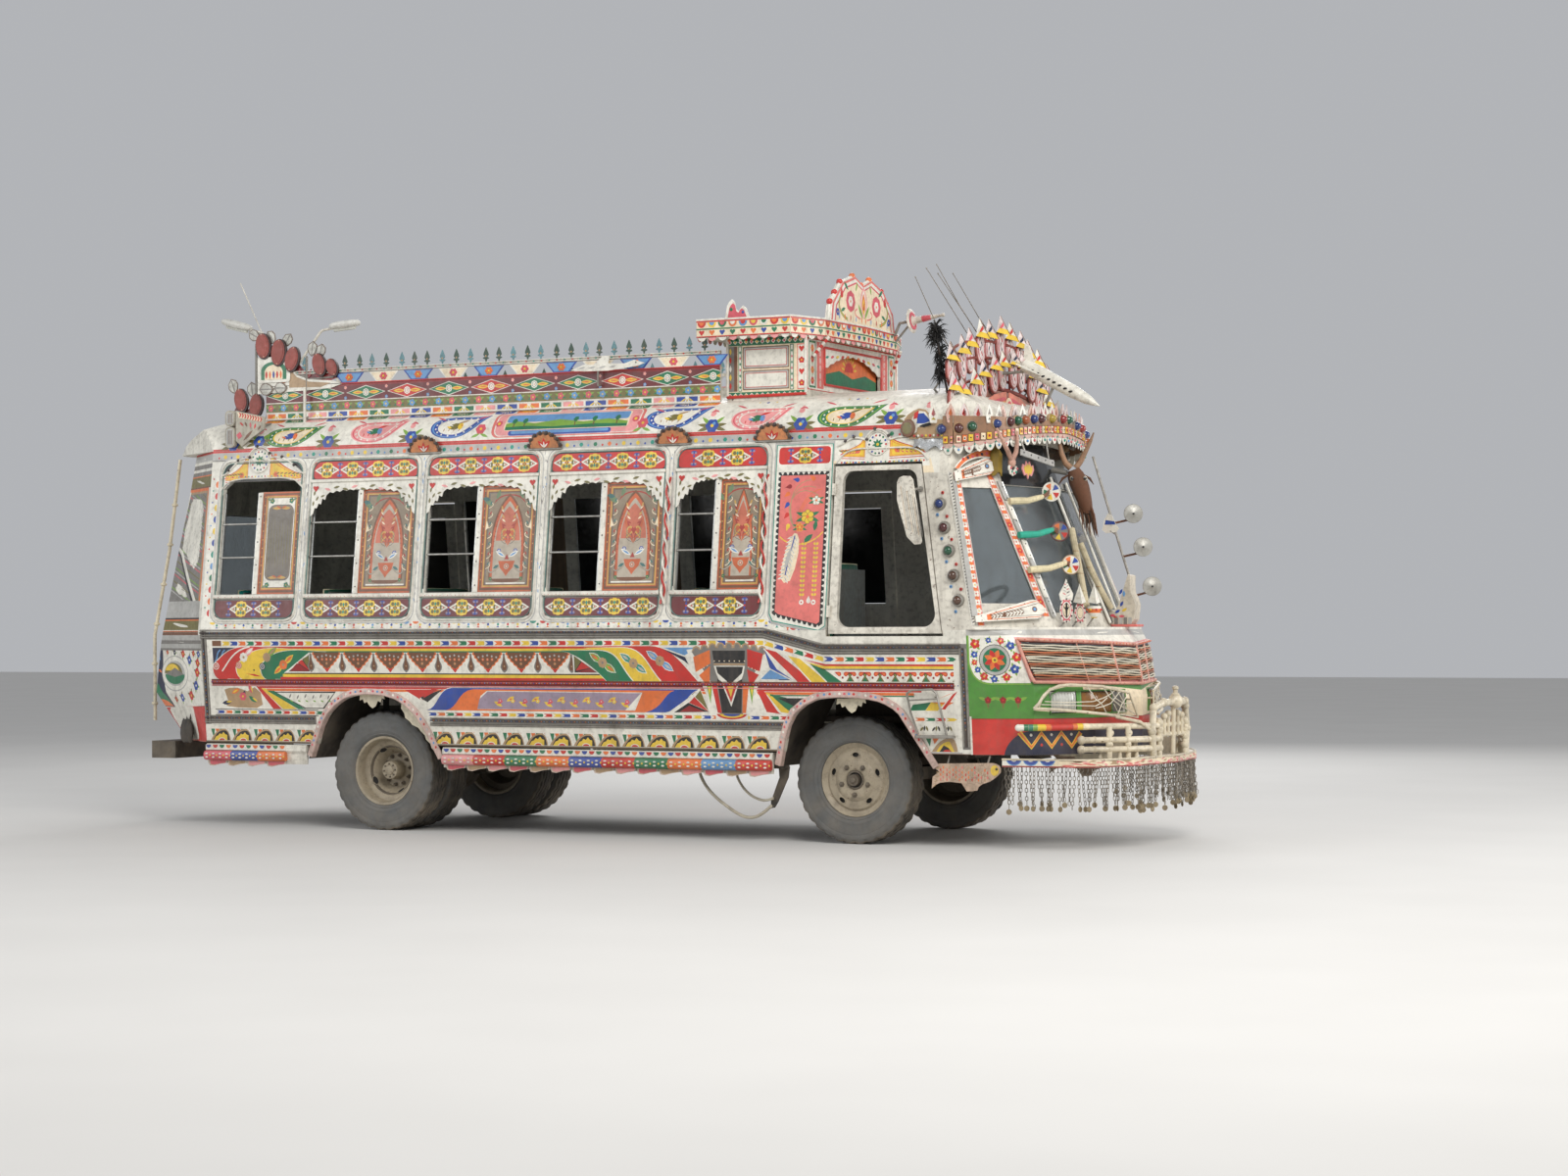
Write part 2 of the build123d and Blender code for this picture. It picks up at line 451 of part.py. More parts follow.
bow = lambda y: 5165 if abs(y) > 250 else 5195
for (ya, za), (yb, zb) in zip(HOOP, HOOP[1:]):
    bars.append(rod((bow(ya), ya, za), (bow(yb), yb, zb), 21))
for y, z in HOOP[1:-1]:
    bars.append(ball((bow(y), y, z), 21))
bars.append(ball((5203.7, 0, 876), 46))
for z in (675, 735):
    bars.append(rod((5172, -245, z), (5172, 245, z), 15))
bars.append(rod((5185, 0, 540), (5190, 0, 870), 15))
bull = bars[0]
for b in bars[1:]:
    bull = bull.fuse(b)
bull = joined(joined(bull.cut(stack(LOWER, -2))).cut(one(bumper)))
put("bull_bar", one(bull))

# ---------------------------------------------------------------- skirts
for x0, x1 in ((SIDE_X0, -560), (520, 2930)):
    for s in (1, -1):
        y = side_y(560)
        prof = [(s * (y - 45), 562), (s * y, 562), (s * (y + 14), 545), (s * (y + 14), 520), (s * y, 500), (s * (y - 8), 430), (s * (y - 16), 430), (s * (y - 20), 498), (s * (y - 45), 498)]
        put("skirt_rails", along_x(prof, x0, x1))

# ---------------------------------------------------------------- doors
def leaf_outline(g):
    return [(CAB[0] + g, CAB_Z0 + g), (CAB[1] - g, CAB_Z0 + g), (CAB[2] - g, CAB_Z1 - g), (CAB[0] + g, CAB_Z1 - g)]      # g: gap all round
def side_sheet(x0, x1):
    """right side skin of the cab, from below the belt to above the door"""
    low = along_x([(-side_y(1270), 1270), (-side_y(BELT_Z), BELT_Z), (-side_y(BELT_Z) + WALL, BELT_Z), (-side_y(1270) + WALL, 1270)], x0, x1)
    up = along_x([(-side_y(BELT_Z), BELT_Z), (-side_y(2350), 2350), (-side_y(2350) + WALL, 2350), (-side_y(BELT_Z) + WALL, BELT_Z)], x0, x1)
    return one(fuse(low, up))
door = side_sheet(CAB[0], CAB[1])
door = one(door.intersect(along_y(leaf_outline(DOOR_GAP), -1300, -800)))
CAB_WINDOW = [("to", CAB[0] + 62, 1410), ("to", CAB[0] + 62, 2230), ("via", CAB[0] + 82, 2278), ("to", CAB[0] + 130, 2296), ("to", CAB[2] - 96, 2296),
              ("via", CAB[2] - 52, 2278), ("to", CAB[2] - 30, 2230), ("to", CAB[1] - 56, 1430), ("via", CAB[1] - 70, 1366), ("to", CAB[1] - 136, 1338),
              ("to", CAB[0] + 134, 1338), ("via", CAB[0] + 84, 1358)]
door = door.cut(curve_along_y(CAB_WINDOW, -1300, -800))
def barrel(z0, z1):
    """hinge barrel on the door's leaning axis, and its leaf on the door"""
    yy = lambda z: -(side_y(z) + 10)
    plate = ext([(3342, -side_y(z0) + 3, z0), (3342, -side_y(z0) - 12, z0), (3342, -side_y(z1) - 12, z1), (3342, -side_y(z1) + 3, z1)], (16, 0, 0))
    return [rod((3341, yy(z0), z0), (3341, yy(z1), z1), 9), plate]
for z0, z1 in ((1400, 1470), (2150, 2220)):
    door = joined(door).fuse(*barrel(z0, z1))
put("driver_door", one(door))
mirror_back = along_x([(-1150, 1830), (-1120, 1830), (-1088, 2250), (-1118, 2250)], 3840, 4010)
arm = [rod((3912, -side_y(2262) - 1.5, 2262), (3912, -1092, 2240), 8)]
put("driver_mirror", one(fuse(mirror_back, *arm)))
lf = side_sheet(CAB[0] - 8, CAB[1])
lf = one(lf.intersect(along_y(leaf_outline(1), -1300, -800)))
lf = lf.cut(curve_along_y(CAB_WINDOW, -1300, -800))
lf = one(flip(one(lf)).cut(wind))
put("left_cab_window_frame", one(fuse(lf, flip(mirror_back), rod((3912, side_y(2262) - 12, 2262), (3912, 1092, 2240), 8))))

for name, (x0, x1) in DOORS.items():
    a, b = x0 + 18, x1 - DOOR_GAP
    low = along_x([(side_y(650), 650), (BELT_Y, BELT_Z), (BELT_Y - WALL, BELT_Z), (side_y(650) - WALL, 650)], a, b)
    up = along_x([(BELT_Y, BELT_Z), (side_y(2252), 2252), (side_y(2252) - WALL, 2252), (BELT_Y - WALL, BELT_Z)], a, b)
    d = fuse(low, up).cut(box(a + 80, b - 80, 800, 1200, 1500, 2150))
    for z0, z1 in ((1180, 1250), (1400, 1470)):                   # hinge barrels on the front edge
        d = d.fuse(rod((x1 - 4, 1085, z0), (x1 - 4, 1085, z1), 9), box(x1 - 24, x1 - 8, 1040, 1085, z0, z1))
    put(name, one(d))

# ---------------------------------------------------------------- inside
ROWS = [-1290, -560, 190, 940, 1650]          # seat rows, rear edge of each cushion
for i, x in enumerate(ROWS):
    for s in (1, -1):
        if s > 0 and i in (0,):
            continue
        y0, y1 = sorted((s * 270, s * 900))
        if i in (0,):
            y0, y1 = sorted((s * 270, s * 860))
        z = 1050
        put("seat_cushions", box(x + 130, x + 560, y0, y1, z + 2, z + 110), box(x + 20, x + 110, y0, y1, z + 130, z + 560))
        # seat pan, its back, two legs at the aisle and a bracket on the wall
        leg = [box(x + a, x + a + 30, *sorted((s * 275, s * 305)), FLOOR_Z1, z - 20) for a in (150, 500)]
        hold = box(x + 180, x + 520, *sorted((s * 895, s * 1003)), z - 20, z - 6) if i else box(x + 180, x + 520, *sorted((s * 855, s * 990)), z - 20, z - 6)
        put("seat_frames", one(fuse(box(x + 110, x + 560, y0, y1, z - 20, z), box(x + 110, x + 126, y0, y1, z - 20, z + 540), hold, *leg)))
put("seat_cushions", box(3280, 3700, -800, -370, 1102, 1200), box(3180, 3260, -800, -370, 1220, 1740))
put("seat_frames", one(fuse(box(3262, 3700, -800, -370, 1060, 1100), box(3262, 3276, -800, -370, 1060, 1700), box(3400, 3440, -700, -470, 974, 1060))))
put("dashboard", along_y([(4300, 1080), (4300, 1300), (4420, 1316), (4560, 1316), (4560, 1080)], -760, 760))
ring = Solid.make_torus(215, 14, Plane(origin=(4130, -585, 1450), z_dir=(-0.75, 0, 1)))
col = rod((4130, -585, 1450), (4420, -585, 1064), 22)
spokes = [rod((4130 , -585 + a, 1450), (4130, -585 + b, 1450), 9) for a, b in ((-212, 212),)]
put("steering_wheel", one(fuse(ring, *spokes, col.cut(box(4290, 4600, -700, -400, 900, 1330)))))

# ---------------------------------------------------------------- hanging ropes under the right side
ROPES = {
    "hanging_rope_long": ([(2334, -846, 498), (2334, -846, 436), (2362, -848, 372), (2408, -850, 312), (2466, -852, 262), (2530, -852, 218), (2600, -852, 176), (2668, -850, 146), (2738, -848, 150), (2798, -846, 184), (2846, -846, 226)], 11),
    "hanging_rope_short": ([(2592, -844, 498), (2592, -844, 440), (2612, -842, 382), (2648, -844, 330), (2696, -844, 288), (2754, -844, 262), (2812, -844, 254), (2858, -844, 272)], 9),
}
for name, (pts, r) in ROPES.items():
    radii = []
    for a, b, c in zip(pts, pts[1:], pts[2:]):
        u, v = Vector(*b) - Vector(*a), Vector(*c) - Vector(*b)
        turn = u.get_angle(v)
        radii.append(0.45 * min(u.length, v.length) / math.tan(math.radians(turn / 2)))
    print(name, "radii", [round(x) for x in radii])
    path = FilletPolyline(*pts, radius=radii)
    prof = Wire.make_circle(r, Plane(origin=pts[0], z_dir=Vector(*pts[1]) - Vector(*pts[0])))
    put(name, Solid.sweep(prof, path=path.wire()))

put("mudflap_strap", fuse(along_y([(2890, 470), (2965, 470), (2955, 402), (2884, 250), (2860, 212), (2836, 208), (2836, 250), (2896, 402)], -835, -823), box(2890, 2960, -949, -823, 462, 480)))
put("rope_brackets", *[box(x, x + 40, -949, -823, 498, 516) for x in (2311, 2568)])

# ---------------------------------------------------------------- write
for name, items in NODES.items():
    moved = [s.moved(Location((-X_CENTRE, 0, 0))) for s in items]
    shape = moved[0] if len(moved) == 1 else Compound(moved)
    export_step(shape, f"parts/{name}.step")
boxes = [s.bounding_box() for items in NODES.values() for s in items]
print(len(NODES), "nodes; x", min(b.min.X for b in boxes), max(b.max.X for b in boxes),
      "y", min(b.min.Y for b in boxes), max(b.max.Y for b in boxes), "z", min(b.min.Z for b in boxes), max(b.max.Z for b in boxes))
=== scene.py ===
"""Looks of the decorated minibus: finishes, painted ornament, wheels, cushions, ropes, lamps."""
import bpy, math, json, random
from mathutils import Vector, Matrix
from mathutils.geometry import delaunay_2d_cdt


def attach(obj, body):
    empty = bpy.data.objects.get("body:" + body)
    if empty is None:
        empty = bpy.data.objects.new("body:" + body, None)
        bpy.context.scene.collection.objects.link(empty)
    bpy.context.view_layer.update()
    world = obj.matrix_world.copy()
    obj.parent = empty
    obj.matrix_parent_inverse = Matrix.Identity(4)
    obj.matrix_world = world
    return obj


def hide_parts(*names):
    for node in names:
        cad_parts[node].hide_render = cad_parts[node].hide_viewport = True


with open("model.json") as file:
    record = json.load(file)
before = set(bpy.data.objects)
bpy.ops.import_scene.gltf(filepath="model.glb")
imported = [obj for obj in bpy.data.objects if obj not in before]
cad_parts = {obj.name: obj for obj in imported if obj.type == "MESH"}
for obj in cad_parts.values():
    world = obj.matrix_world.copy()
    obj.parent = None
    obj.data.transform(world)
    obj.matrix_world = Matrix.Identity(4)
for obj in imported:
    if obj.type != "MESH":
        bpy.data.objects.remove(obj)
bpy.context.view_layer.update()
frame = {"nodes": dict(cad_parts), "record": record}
random.seed(7)
X0 = 1.55                     # drawing X runs from the rear axle; the frame's origin is 1.55 m ahead of it
BODY = "bus_body"


# ------------------------------------------------------------------ camera, floor, light
def camera():
    az, pitch, roll = math.radians(26.111924), math.radians(0.811396), math.radians(-0.199695)
    sa, ca, sp, cp = math.sin(az), math.cos(az), math.sin(pitch), math.cos(pitch)
    F = Vector((-sa * cp, ca * cp, sp)); R = Vector((ca, sa, 0.0)); U = R.cross(F)
    cr, sr = math.cos(roll), math.sin(roll)
    R2, U2 = R * cr + U * sr, U * cr - R * sr
    m = Matrix((R2, U2, -F)).transposed().to_4x4()
    m.translation = (9.474018, -17.343698, 1.323661)
    cam = bpy.data.cameras.new("camera"); cam.sensor_width, cam.lens = 36.0, 36.0 * 3005.5066 / 1600.0
    ob = bpy.data.objects.new("camera", cam); bpy.context.scene.collection.objects.link(ob)
    ob.matrix_world = m; cam.clip_end = 200; bpy.context.scene.camera = ob
camera()


def lin(c):
    return tuple((v / 12.92 if v <= .04045 else ((v + .055) / 1.055) ** 2.4) for v in (x / 255.0 for x in c[:3]))


def light(name, kind, loc, target, energy, size=4.0, colour=(1, 1, 1), size_y=None):
    ld = bpy.data.lights.new(name, kind)
    ld.energy = energy
    ld.color = colour
    if kind == "AREA":
        ld.shape = "RECTANGLE"
        ld.size, ld.size_y = size, size_y or size
    if kind == "SUN":
        ld.angle = size
    ob = bpy.data.objects.new(name, ld)
    bpy.context.scene.collection.objects.link(ob)
    ob.location = loc
    ob.rotation_euler = (Vector(target) - Vector(loc)).to_track_quat("-Z", "Y").to_euler()


def studio():
    sc = bpy.context.scene
    sc.view_settings.view_transform = "Standard"
    w = bpy.data.worlds.new("studio"); sc.world = w
    w.use_nodes = True
    bg = w.node_tree.nodes["Background"]
    bg.inputs[0].default_value = (.86, .88, .92, 1)
    bg.inputs[1].default_value = .52
    light("key", "AREA", (9.0, -9.0, 9.5), (0, 0, 1.2), 1250, 7.0, (1, .985, .96), 6.0)
    light("fill", "AREA", (-9.0, -10.0, 6.0), (0, 0, 1.5), 560, 8.0, (.96, .98, 1))
    light("back", "AREA", (-2.0, 11.0, 8.0), (0, 0, 1.5), 600, 8.0)
    light("front", "AREA", (12.0, 3.0, 4.0), (2, 0, 1.5), 420, 5.0)
    me = bpy.data.meshes.new("floor")
    me.from_pydata([(-60, -60, 0), (60, -60, 0), (60, 60, 0), (-60, 60, 0)], [], [(0, 1, 2, 3)])
    fl = bpy.data.objects.new("floor", me); sc.collection.objects.link(fl)
    m = bpy.data.materials.new("floor"); m.use_nodes = True
    nt = m.node_tree; b = nt.nodes["Principled BSDF"]
    tc = nt.nodes.new("ShaderNodeTexCoord"); no = nt.nodes.new("ShaderNodeTexNoise")
    no.inputs["Scale"].default_value = .8
    nt.links.new(tc.outputs["Object"], no.inputs["Vector"])
    mx = nt.nodes.new("ShaderNodeMix"); mx.data_type = "RGBA"
    mx.inputs[6].default_value = (*lin((214, 212, 208)), 1); mx.inputs[7].default_value = (*lin((205, 203, 199)), 1)
    nt.links.new(no.outputs["Fac"], mx.inputs[0]); nt.links.new(mx.outputs[2], b.inputs["Base Color"])
    b.inputs["Roughness"].default_value = .85
    me.materials.append(m)
studio()


# ------------------------------------------------------------------ materials
MATS = {}
def mat(name, rgb, rough=.45, var=.12, grime=.35, chips=0., chip=(92, 62, 44), metal=0., bump=.12, scale=5., dust=.30,
        coat=0., weave=None, alpha=None, glow=None, cracks=0.):
    """Worn finish: colour drift, grime, rain streaks, road dust low down, chips, roughness and relief."""
    if name in MATS:
        return MATS[name]
    m = bpy.data.materials.new(name); m.use_nodes = True
    nt = m.node_tree; N, Lk = nt.nodes, nt.links
    b = N["Principled BSDF"]
    def new(kind, **k):
        n = N.new(kind)
        for a, v in k.items():
            setattr(n, a, v)
        return n
    def noise(scale_, detail=3., rough_=.55, vec=None):
        n = new("ShaderNodeTexNoise"); n.inputs["Scale"].default_value = scale_
        n.inputs["Detail"].default_value = detail; n.inputs["Roughness"].default_value = rough_
        Lk.new(vec or tc.outputs["Object"], n.inputs["Vector"]); return n.outputs["Fac"]
    def ramp(src, a, b_, lo=0., hi=1.):
        n = new("ShaderNodeMapRange"); n.inputs[1].default_value = a; n.inputs[2].default_value = b_
        n.inputs[3].default_value = lo; n.inputs[4].default_value = hi
        Lk.new(src, n.inputs[0]); return n.outputs[0]
    def mul(p, q):
        n = new("ShaderNodeMath", operation="MULTIPLY")
        for i, s in enumerate((p, q)):
            if isinstance(s, (int, float)): n.inputs[i].default_value = s
            else: Lk.new(s, n.inputs[i])
        return n.outputs[0]
    def mix(f, p, q):
        n = new("ShaderNodeMix", data_type="RGBA")
        Lk.new(f, n.inputs[0])
        for i, s in ((6, p), (7, q)):
            if isinstance(s, tuple): n.inputs[i].default_value = (*s, 1)
            else: Lk.new(s, n.inputs[i])
        return n.outputs[2]
    tc = new("ShaderNodeTexCoord")
    c = lin(rgb)
    dark = tuple(v * (1 - 1.9 * var) for v in c); pale = tuple(min(1, v * (1 + var) + .012 * var) for v in c)
    f1 = noise(scale, 5.)
    col = mix(ramp(f1, .3, .7), dark, pale)
    f2 = noise(34., 5., .62)
    if weave:
        wv = new("ShaderNodeTexWave"); wv.inputs["Scale"].default_value = weave; wv.inputs["Distortion"].default_value = .6
        Lk.new(tc.outputs["Object"], wv.inputs["Vector"])
        col = mix(ramp(wv.outputs["Fac"], 0, 1, 0, .35), col, tuple(v * .55 for v in c))
    if grime:
        mp = new("ShaderNodeMapping"); mp.inputs["Scale"].default_value = (13, 13, 1.1)
        Lk.new(tc.outputs["Object"], mp.inputs["Vector"])
        st = ramp(noise(1., 4., .6, mp.outputs["Vector"]), .50, .78, 0, grime)
        gm = ramp(f2, .48, .74, 0, grime)
        col = mix(gm, col, lin((84, 74, 62)))
        col = mix(st, col, lin((104, 94, 82)))
    if chips:
        ck = ramp(noise(36., 7., .62), .675 - .05 * chips, .70 - .05 * chips, 0, .8)
        col = mix(ck, col, lin(chip))
    if cracks:
        vo = new("ShaderNodeTexVoronoi", feature="DISTANCE_TO_EDGE"); vo.inputs["Scale"].default_value = cracks
        Lk.new(tc.outputs["Object"], vo.inputs["Vector"])
        col = mix(ramp(vo.outputs["Distance"], 0, .03, .6, 0), col, lin((70, 60, 50)))
    if dust:
        sx = new("ShaderNodeSeparateXYZ"); Lk.new(tc.outputs["Object"], sx.inputs[0])
        hz = ramp(sx.outputs["Z"], .95, .15, 0, dust)
        col = mix(mul(hz, ramp(noise(7., 4.), .3, .62)), col, lin((150, 136, 116)))
    Lk.new(col, b.inputs["Base Color"])
    Lk.new(ramp(f2, .3, .75, max(.04, rough - .1), min(1, rough + .16)), b.inputs["Roughness"])
    b.inputs["Metallic"].default_value = metal
    if coat:
        b.inputs["Coat Weight"].default_value = coat; b.inputs["Coat Roughness"].default_value = .12
    if bump:
        bn = new("ShaderNodeBump"); bn.inputs["Strength"].default_value = bump; bn.inputs["Distance"].default_value = .004
        Lk.new(f2, bn.inputs["Height"]); Lk.new(bn.outputs[0], b.inputs["Normal"])
    if alpha is not None:
        b.inputs["Transmission Weight"].default_value = alpha; b.inputs["IOR"].default_value = 1.45
    if glow:
        b.inputs["Emission Color"].default_value = (*lin(rgb), 1); b.inputs["Emission Strength"].default_value = glow
    m.diffuse_color = (*c, 1)
    MATS[name] = m
    return m


PAL = dict(sh_stone=(176, 164, 146), sh_taupe=(138, 122, 100), sh_ash=(112, 104, 94), sh_rose=(190, 104, 78), sh_rust=(188, 92, 50), sh_gold=(196, 154, 78), sh_moss=(104, 128, 92), sh_teal=(58, 106, 102), sh_red=(158, 52, 42),
           white=(226, 222, 209), red=(194, 44, 36), orange=(222, 112, 52), yellow=(226, 190, 58), green=(26, 112, 74),
           teal=(30, 140, 120), blue=(38, 70, 152), light_blue=(96, 146, 194), pink=(228, 152, 150), maroon=(104, 34, 36),
           black=(27, 26, 27), brown=(112, 72, 46), grey=(122, 118, 112), salmon=(216, 112, 104), beige=(204, 182, 142),
           light_green=(122, 162, 62), navy=(30, 36, 62), cream=(232, 214, 182), olive=(112, 104, 52), rose=(206, 84, 96),
           nose_green=(74, 134, 50), pale_grey=(176, 174, 168), lilac=(150, 134, 150), dark_red=(140, 28, 30), sand=(170, 140, 104))
def paint(name):
    """one of the paints used on the ornament"""
    spec = dict(rough=.42, var=.10, grime=.26, chips=.0, bump=.10, scale=7, dust=.22, coat=.15)
    if name in ("white", "cream"):
        spec.update(grime=.34, var=.07)
    return mat("paint_" + name, PAL[name], **spec)


# ------------------------------------------------------------------ mesh kit
class Bag:
    """many small shapes gathered into one piece"""
    def __init__(self):
        self.v, self.f, self.m, self.mats = [], [], [], []

    def slot(self, m):
        if m not in self.mats:
            self.mats.append(m)
        return self.mats.index(m)

    def add(self, verts, faces, m):
        o, k = len(self.v), self.slot(m)
        self.v.extend(tuple(v) for v in verts)
        for f in faces:
            self.f.append(tuple(i + o for i in f)); self.m.append(k)

    def box(self, lo, hi, m, c=0.0):
        """block with chamfered edges"""
        (a, b, d), (e, f, g) = lo, hi
        a, e = sorted((a, e)); b, f = sorted((b, f)); d, g = sorted((d, g))
        c = min(c, .45 * min(e - a, f - b, g - d))
        if c <= 0:
            self.add([(a, b, d), (e, b, d), (e, f, d), (a, f, d), (a, b, g), (e, b, g), (e, f, g), (a, f, g)],
                     [(0, 3, 2, 1), (4, 5, 6, 7), (0, 1, 5, 4), (1, 2, 6, 5), (2, 3, 7, 6), (3, 0, 4, 7)], m)
            return
        ring = lambda x, y: [(a + x, b + y), (e - x, b + y), (e - y, b + x), (e - y, f - x), (e - x, f - y), (a + x, f - y), (a + y, f - x), (a + y, b + x)]
        rows = [([(p, q, d) for p, q in ring(2 * c, c)]), ([(p, q, d + c) for p, q in ring(c, 0)]),
                ([(p, q, g - c) for p, q in ring(c, 0)]), ([(p, q, g) for p, q in ring(2 * c, c)])]
        self.loft(rows, m)

    def loft(self, rows, m, closed=True, cap=True, wrap=False):
        n = len(rows[0]); v = [p for r in rows for p in r]; f = []
        R = len(rows)
        for i in range(R if wrap else R - 1):
            for j in range(n if closed else n - 1):
                a, b = i * n + j, i * n + (j + 1) % n
                i2 = (i + 1) % R
                f.append((a, b, i2 * n + (j + 1) % n, i2 * n + j))
        if cap and closed and not wrap:
            f.append(tuple(reversed(range(n)))); f.append(tuple(range((R - 1) * n, R * n)))
        self.add(v, f, m)

    def prism(self, pts, depth, m, top=None):
        """closed outline of 3-D points drawn out by a vector"""
        d = Vector(depth); n = len(pts)
        p = [Vector(q) for q in pts]
        nrm = Vector((0, 0, 0))
        for i in range(n):
            a, b = p[i], p[(i + 1) % n]
            nrm += a.cross(b)
        if nrm.dot(d) > 0:
            p = p[::-1]
        q = [a + d for a in p]
        self.add(p + q, [tuple(range(n)), tuple(reversed(range(n, 2 * n)))] + [((i + 1) % n, i, n + i, n + (i + 1) % n) for i in range(n)], m)

    def tube(self, pts, r, m, n=8, closed=False, cap=True, flat=1.0):
        p = [Vector(q) for q in pts]
        k = len(p); rows = []
        up = Vector((0, 0, 1))
        t0 = (p[1] - p[0]).normalized()
        if abs(t0.dot(up)) > .95: up = Vector((0, 1, 0))
        side = t0.cross(up).normalized()
        for i in range(k):
            a = p[i] - p[i - 1] if (i or closed) else p[1] - p[0]
            b = p[(i + 1) % k] - p[i] if (i < k - 1 or closed) else p[-1] - p[-2]
            t = (a.normalized() + b.normalized())
            t = t.normalized() if t.length > 1e-6 else b.normalized()
            side = (side - t * side.dot(t)).normalized()
            w = t.cross(side)
            rr = r[i] if isinstance(r, (list, tuple)) else r
            rows.append([p[i] + side * rr * math.cos(2 * math.pi * j / n) + w * rr * flat * math.sin(2 * math.pi * j / n) for j in range(n)])
        self.loft(rows, m, wrap=closed, cap=cap)

    def lathe(self, prof, centre, axis, m, n=24, mats=None, cap=True):
        """profile of (along, radius) turned about an axis through centre"""
        ax = Vector(axis).normalized()
        u = ax.orthogonal().normalized(); w = ax.cross(u)
        c = Vector(centre); rows = []
        for h, r in prof:
            rows.append([c + ax * h + (u * math.cos(2 * math.pi * j / n) + w * math.sin(2 * math.pi * j / n)) * max(r, 1e-4) for j in range(n)])
        if mats:
            for i in range(len(rows) - 1):
                self.loft([rows[i], rows[i + 1]], mats[i], cap=False)
            return
        self.loft(rows, m, cap=cap)

    def ball(self, c, r, m, n=10, squash=(1, 1, 1)):
        rows = []
        for i in range(n // 2 + 1):
            a = math.pi * i / (n // 2)
            rows.append([Vector((c[0] + r * squash[0] * max(math.sin(a), .02) * math.cos(2 * math.pi * j / n),
                                 c[1] + r * squash[1] * max(math.sin(a), .02) * math.sin(2 * math.pi * j / n),
                                 c[2] - r * squash[2] * math.cos(a))) for j in range(n)])
        self.loft(rows, m)

    def mirrored(self):
        """the same shapes on the other side as well"""
        o = len(self.v)
        self.v += [(x, -y, z) for x, y, z in self.v[:o]]
        self.f += [tuple(i + o for i in reversed(f)) for f in self.f[:]]
        self.m += self.m[:]
        return self

    def make(self, name, body=BODY, smooth=35, slot="painted_body", replaces=()):
        if not self.f:
            return None
        me = bpy.data.meshes.new(name)
        me.from_pydata([tuple(v) for v in self.v], [], self.f)
        for k in self.mats:
            me.materials.append(k)
        me.polygons.foreach_set("material_index", self.m)
        me.validate()
        if smooth:
            me.polygons.foreach_set("use_smooth", [True] * len(me.polygons))
            me.set_sharp_from_angle(angle=math.radians(smooth))
        me.update()
        ob = bpy.data.objects.new(name, me)
        bpy.context.scene.collection.objects.link(ob)
        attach(ob, body)
        if replaces:
            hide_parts(*replaces)
        return ob


# ------------------------------------------------------------------ flat outlines for painting
def P(*pts): return list(pts)
def rect(x0, x1, z0, z1): return [(x0, z0), (x1, z0), (x1, z1), (x0, z1)]
def rrect(x0, x1, z0, z1, r, n=5):
    out = []
    for cx, cz, a0 in ((x1 - r, z0 + r, -90), (x1 - r, z1 - r, 0), (x0 + r, z1 - r, 90), (x0 + r, z0 + r, 180)):
        for k in range(n + 1):
            a = math.radians(a0 + 90 * k / n); out.append((cx + r * math.cos(a), cz + r * math.sin(a)))
    return out
def circ(cx, cz, r, n=14, rz=None, a0=0., a1=360., turn=0.):
    rz = rz or r
    full = abs(a1 - a0) >= 359.9
    if full and n > 6 and max(r, rz) < .03: n = max(6, int(n * .72))
    k = n if full else n + 1
    out = []
    ct, st = math.cos(math.radians(turn)), math.sin(math.radians(turn))
    for i in range(k):
        a = math.radians(a0 + (a1 - a0) * i / n)
        x, z = r * math.cos(a), rz * math.sin(a)
        out.append((cx + x * ct - z * st, cz + x * st + z * ct))
    return out
def leaf(x, z, length, width, turn, n=4):
    """pointed leaf from (x, z)"""
    ct, st = math.cos(math.radians(turn)), math.sin(math.radians(turn))
    up = [(length * i / n, width / 2 * math.sin(math.pi * i / n)) for i in range(n + 1)]
    dn = [(a, -b) for a, b in up[1:-1]][::-1]
    return [(x + a * ct - b * st, z + a * st + b * ct) for a, b in up + dn]
def drop(x, z, r, tail, turn, n=7):
    """tear shape, its point tail away from the centre"""
    ct, st = math.cos(math.radians(turn)), math.sin(math.radians(turn))
    pts = [(tail, 0)] + [(r * math.cos(math.radians(a)), r * math.sin(math.radians(a))) for a in [70 + 220 * i / n for i in range(n + 1)]]
    return [(x + a * ct - b * st, z + a * st + b * ct) for a, b in pts]
def band(top, bottom): return list(top) + list(reversed(bottom))
def thick(line, w):
    """line drawn w wide"""
    out, back = [], []
    for i, p in enumerate(line):
        a = line[max(0, i - 1)]; b = line[min(len(line) - 1, i + 1)]
        l = math.hypot(b[0] - a[0], b[1] - a[1]) or 1
        nx, nz = -(b[1] - a[1]) / l * w / 2, (b[0] - a[0]) / l * w / 2
        out.append((p[0] + nx, p[1] + nz)); back.append((p[0] - nx, p[1] - nz))
    return out + back[::-1]
def bez(a, b, c, d, n=8):
    out = []
    for i in range(n + 1):
        t = i / n; s = 1 - t
        out.append(tuple(s ** 3 * a[k] + 3 * s * s * t * b[k] + 3 * s * t * t * c[k] + t ** 3 * d[k] for k in (0, 1)))
    return out


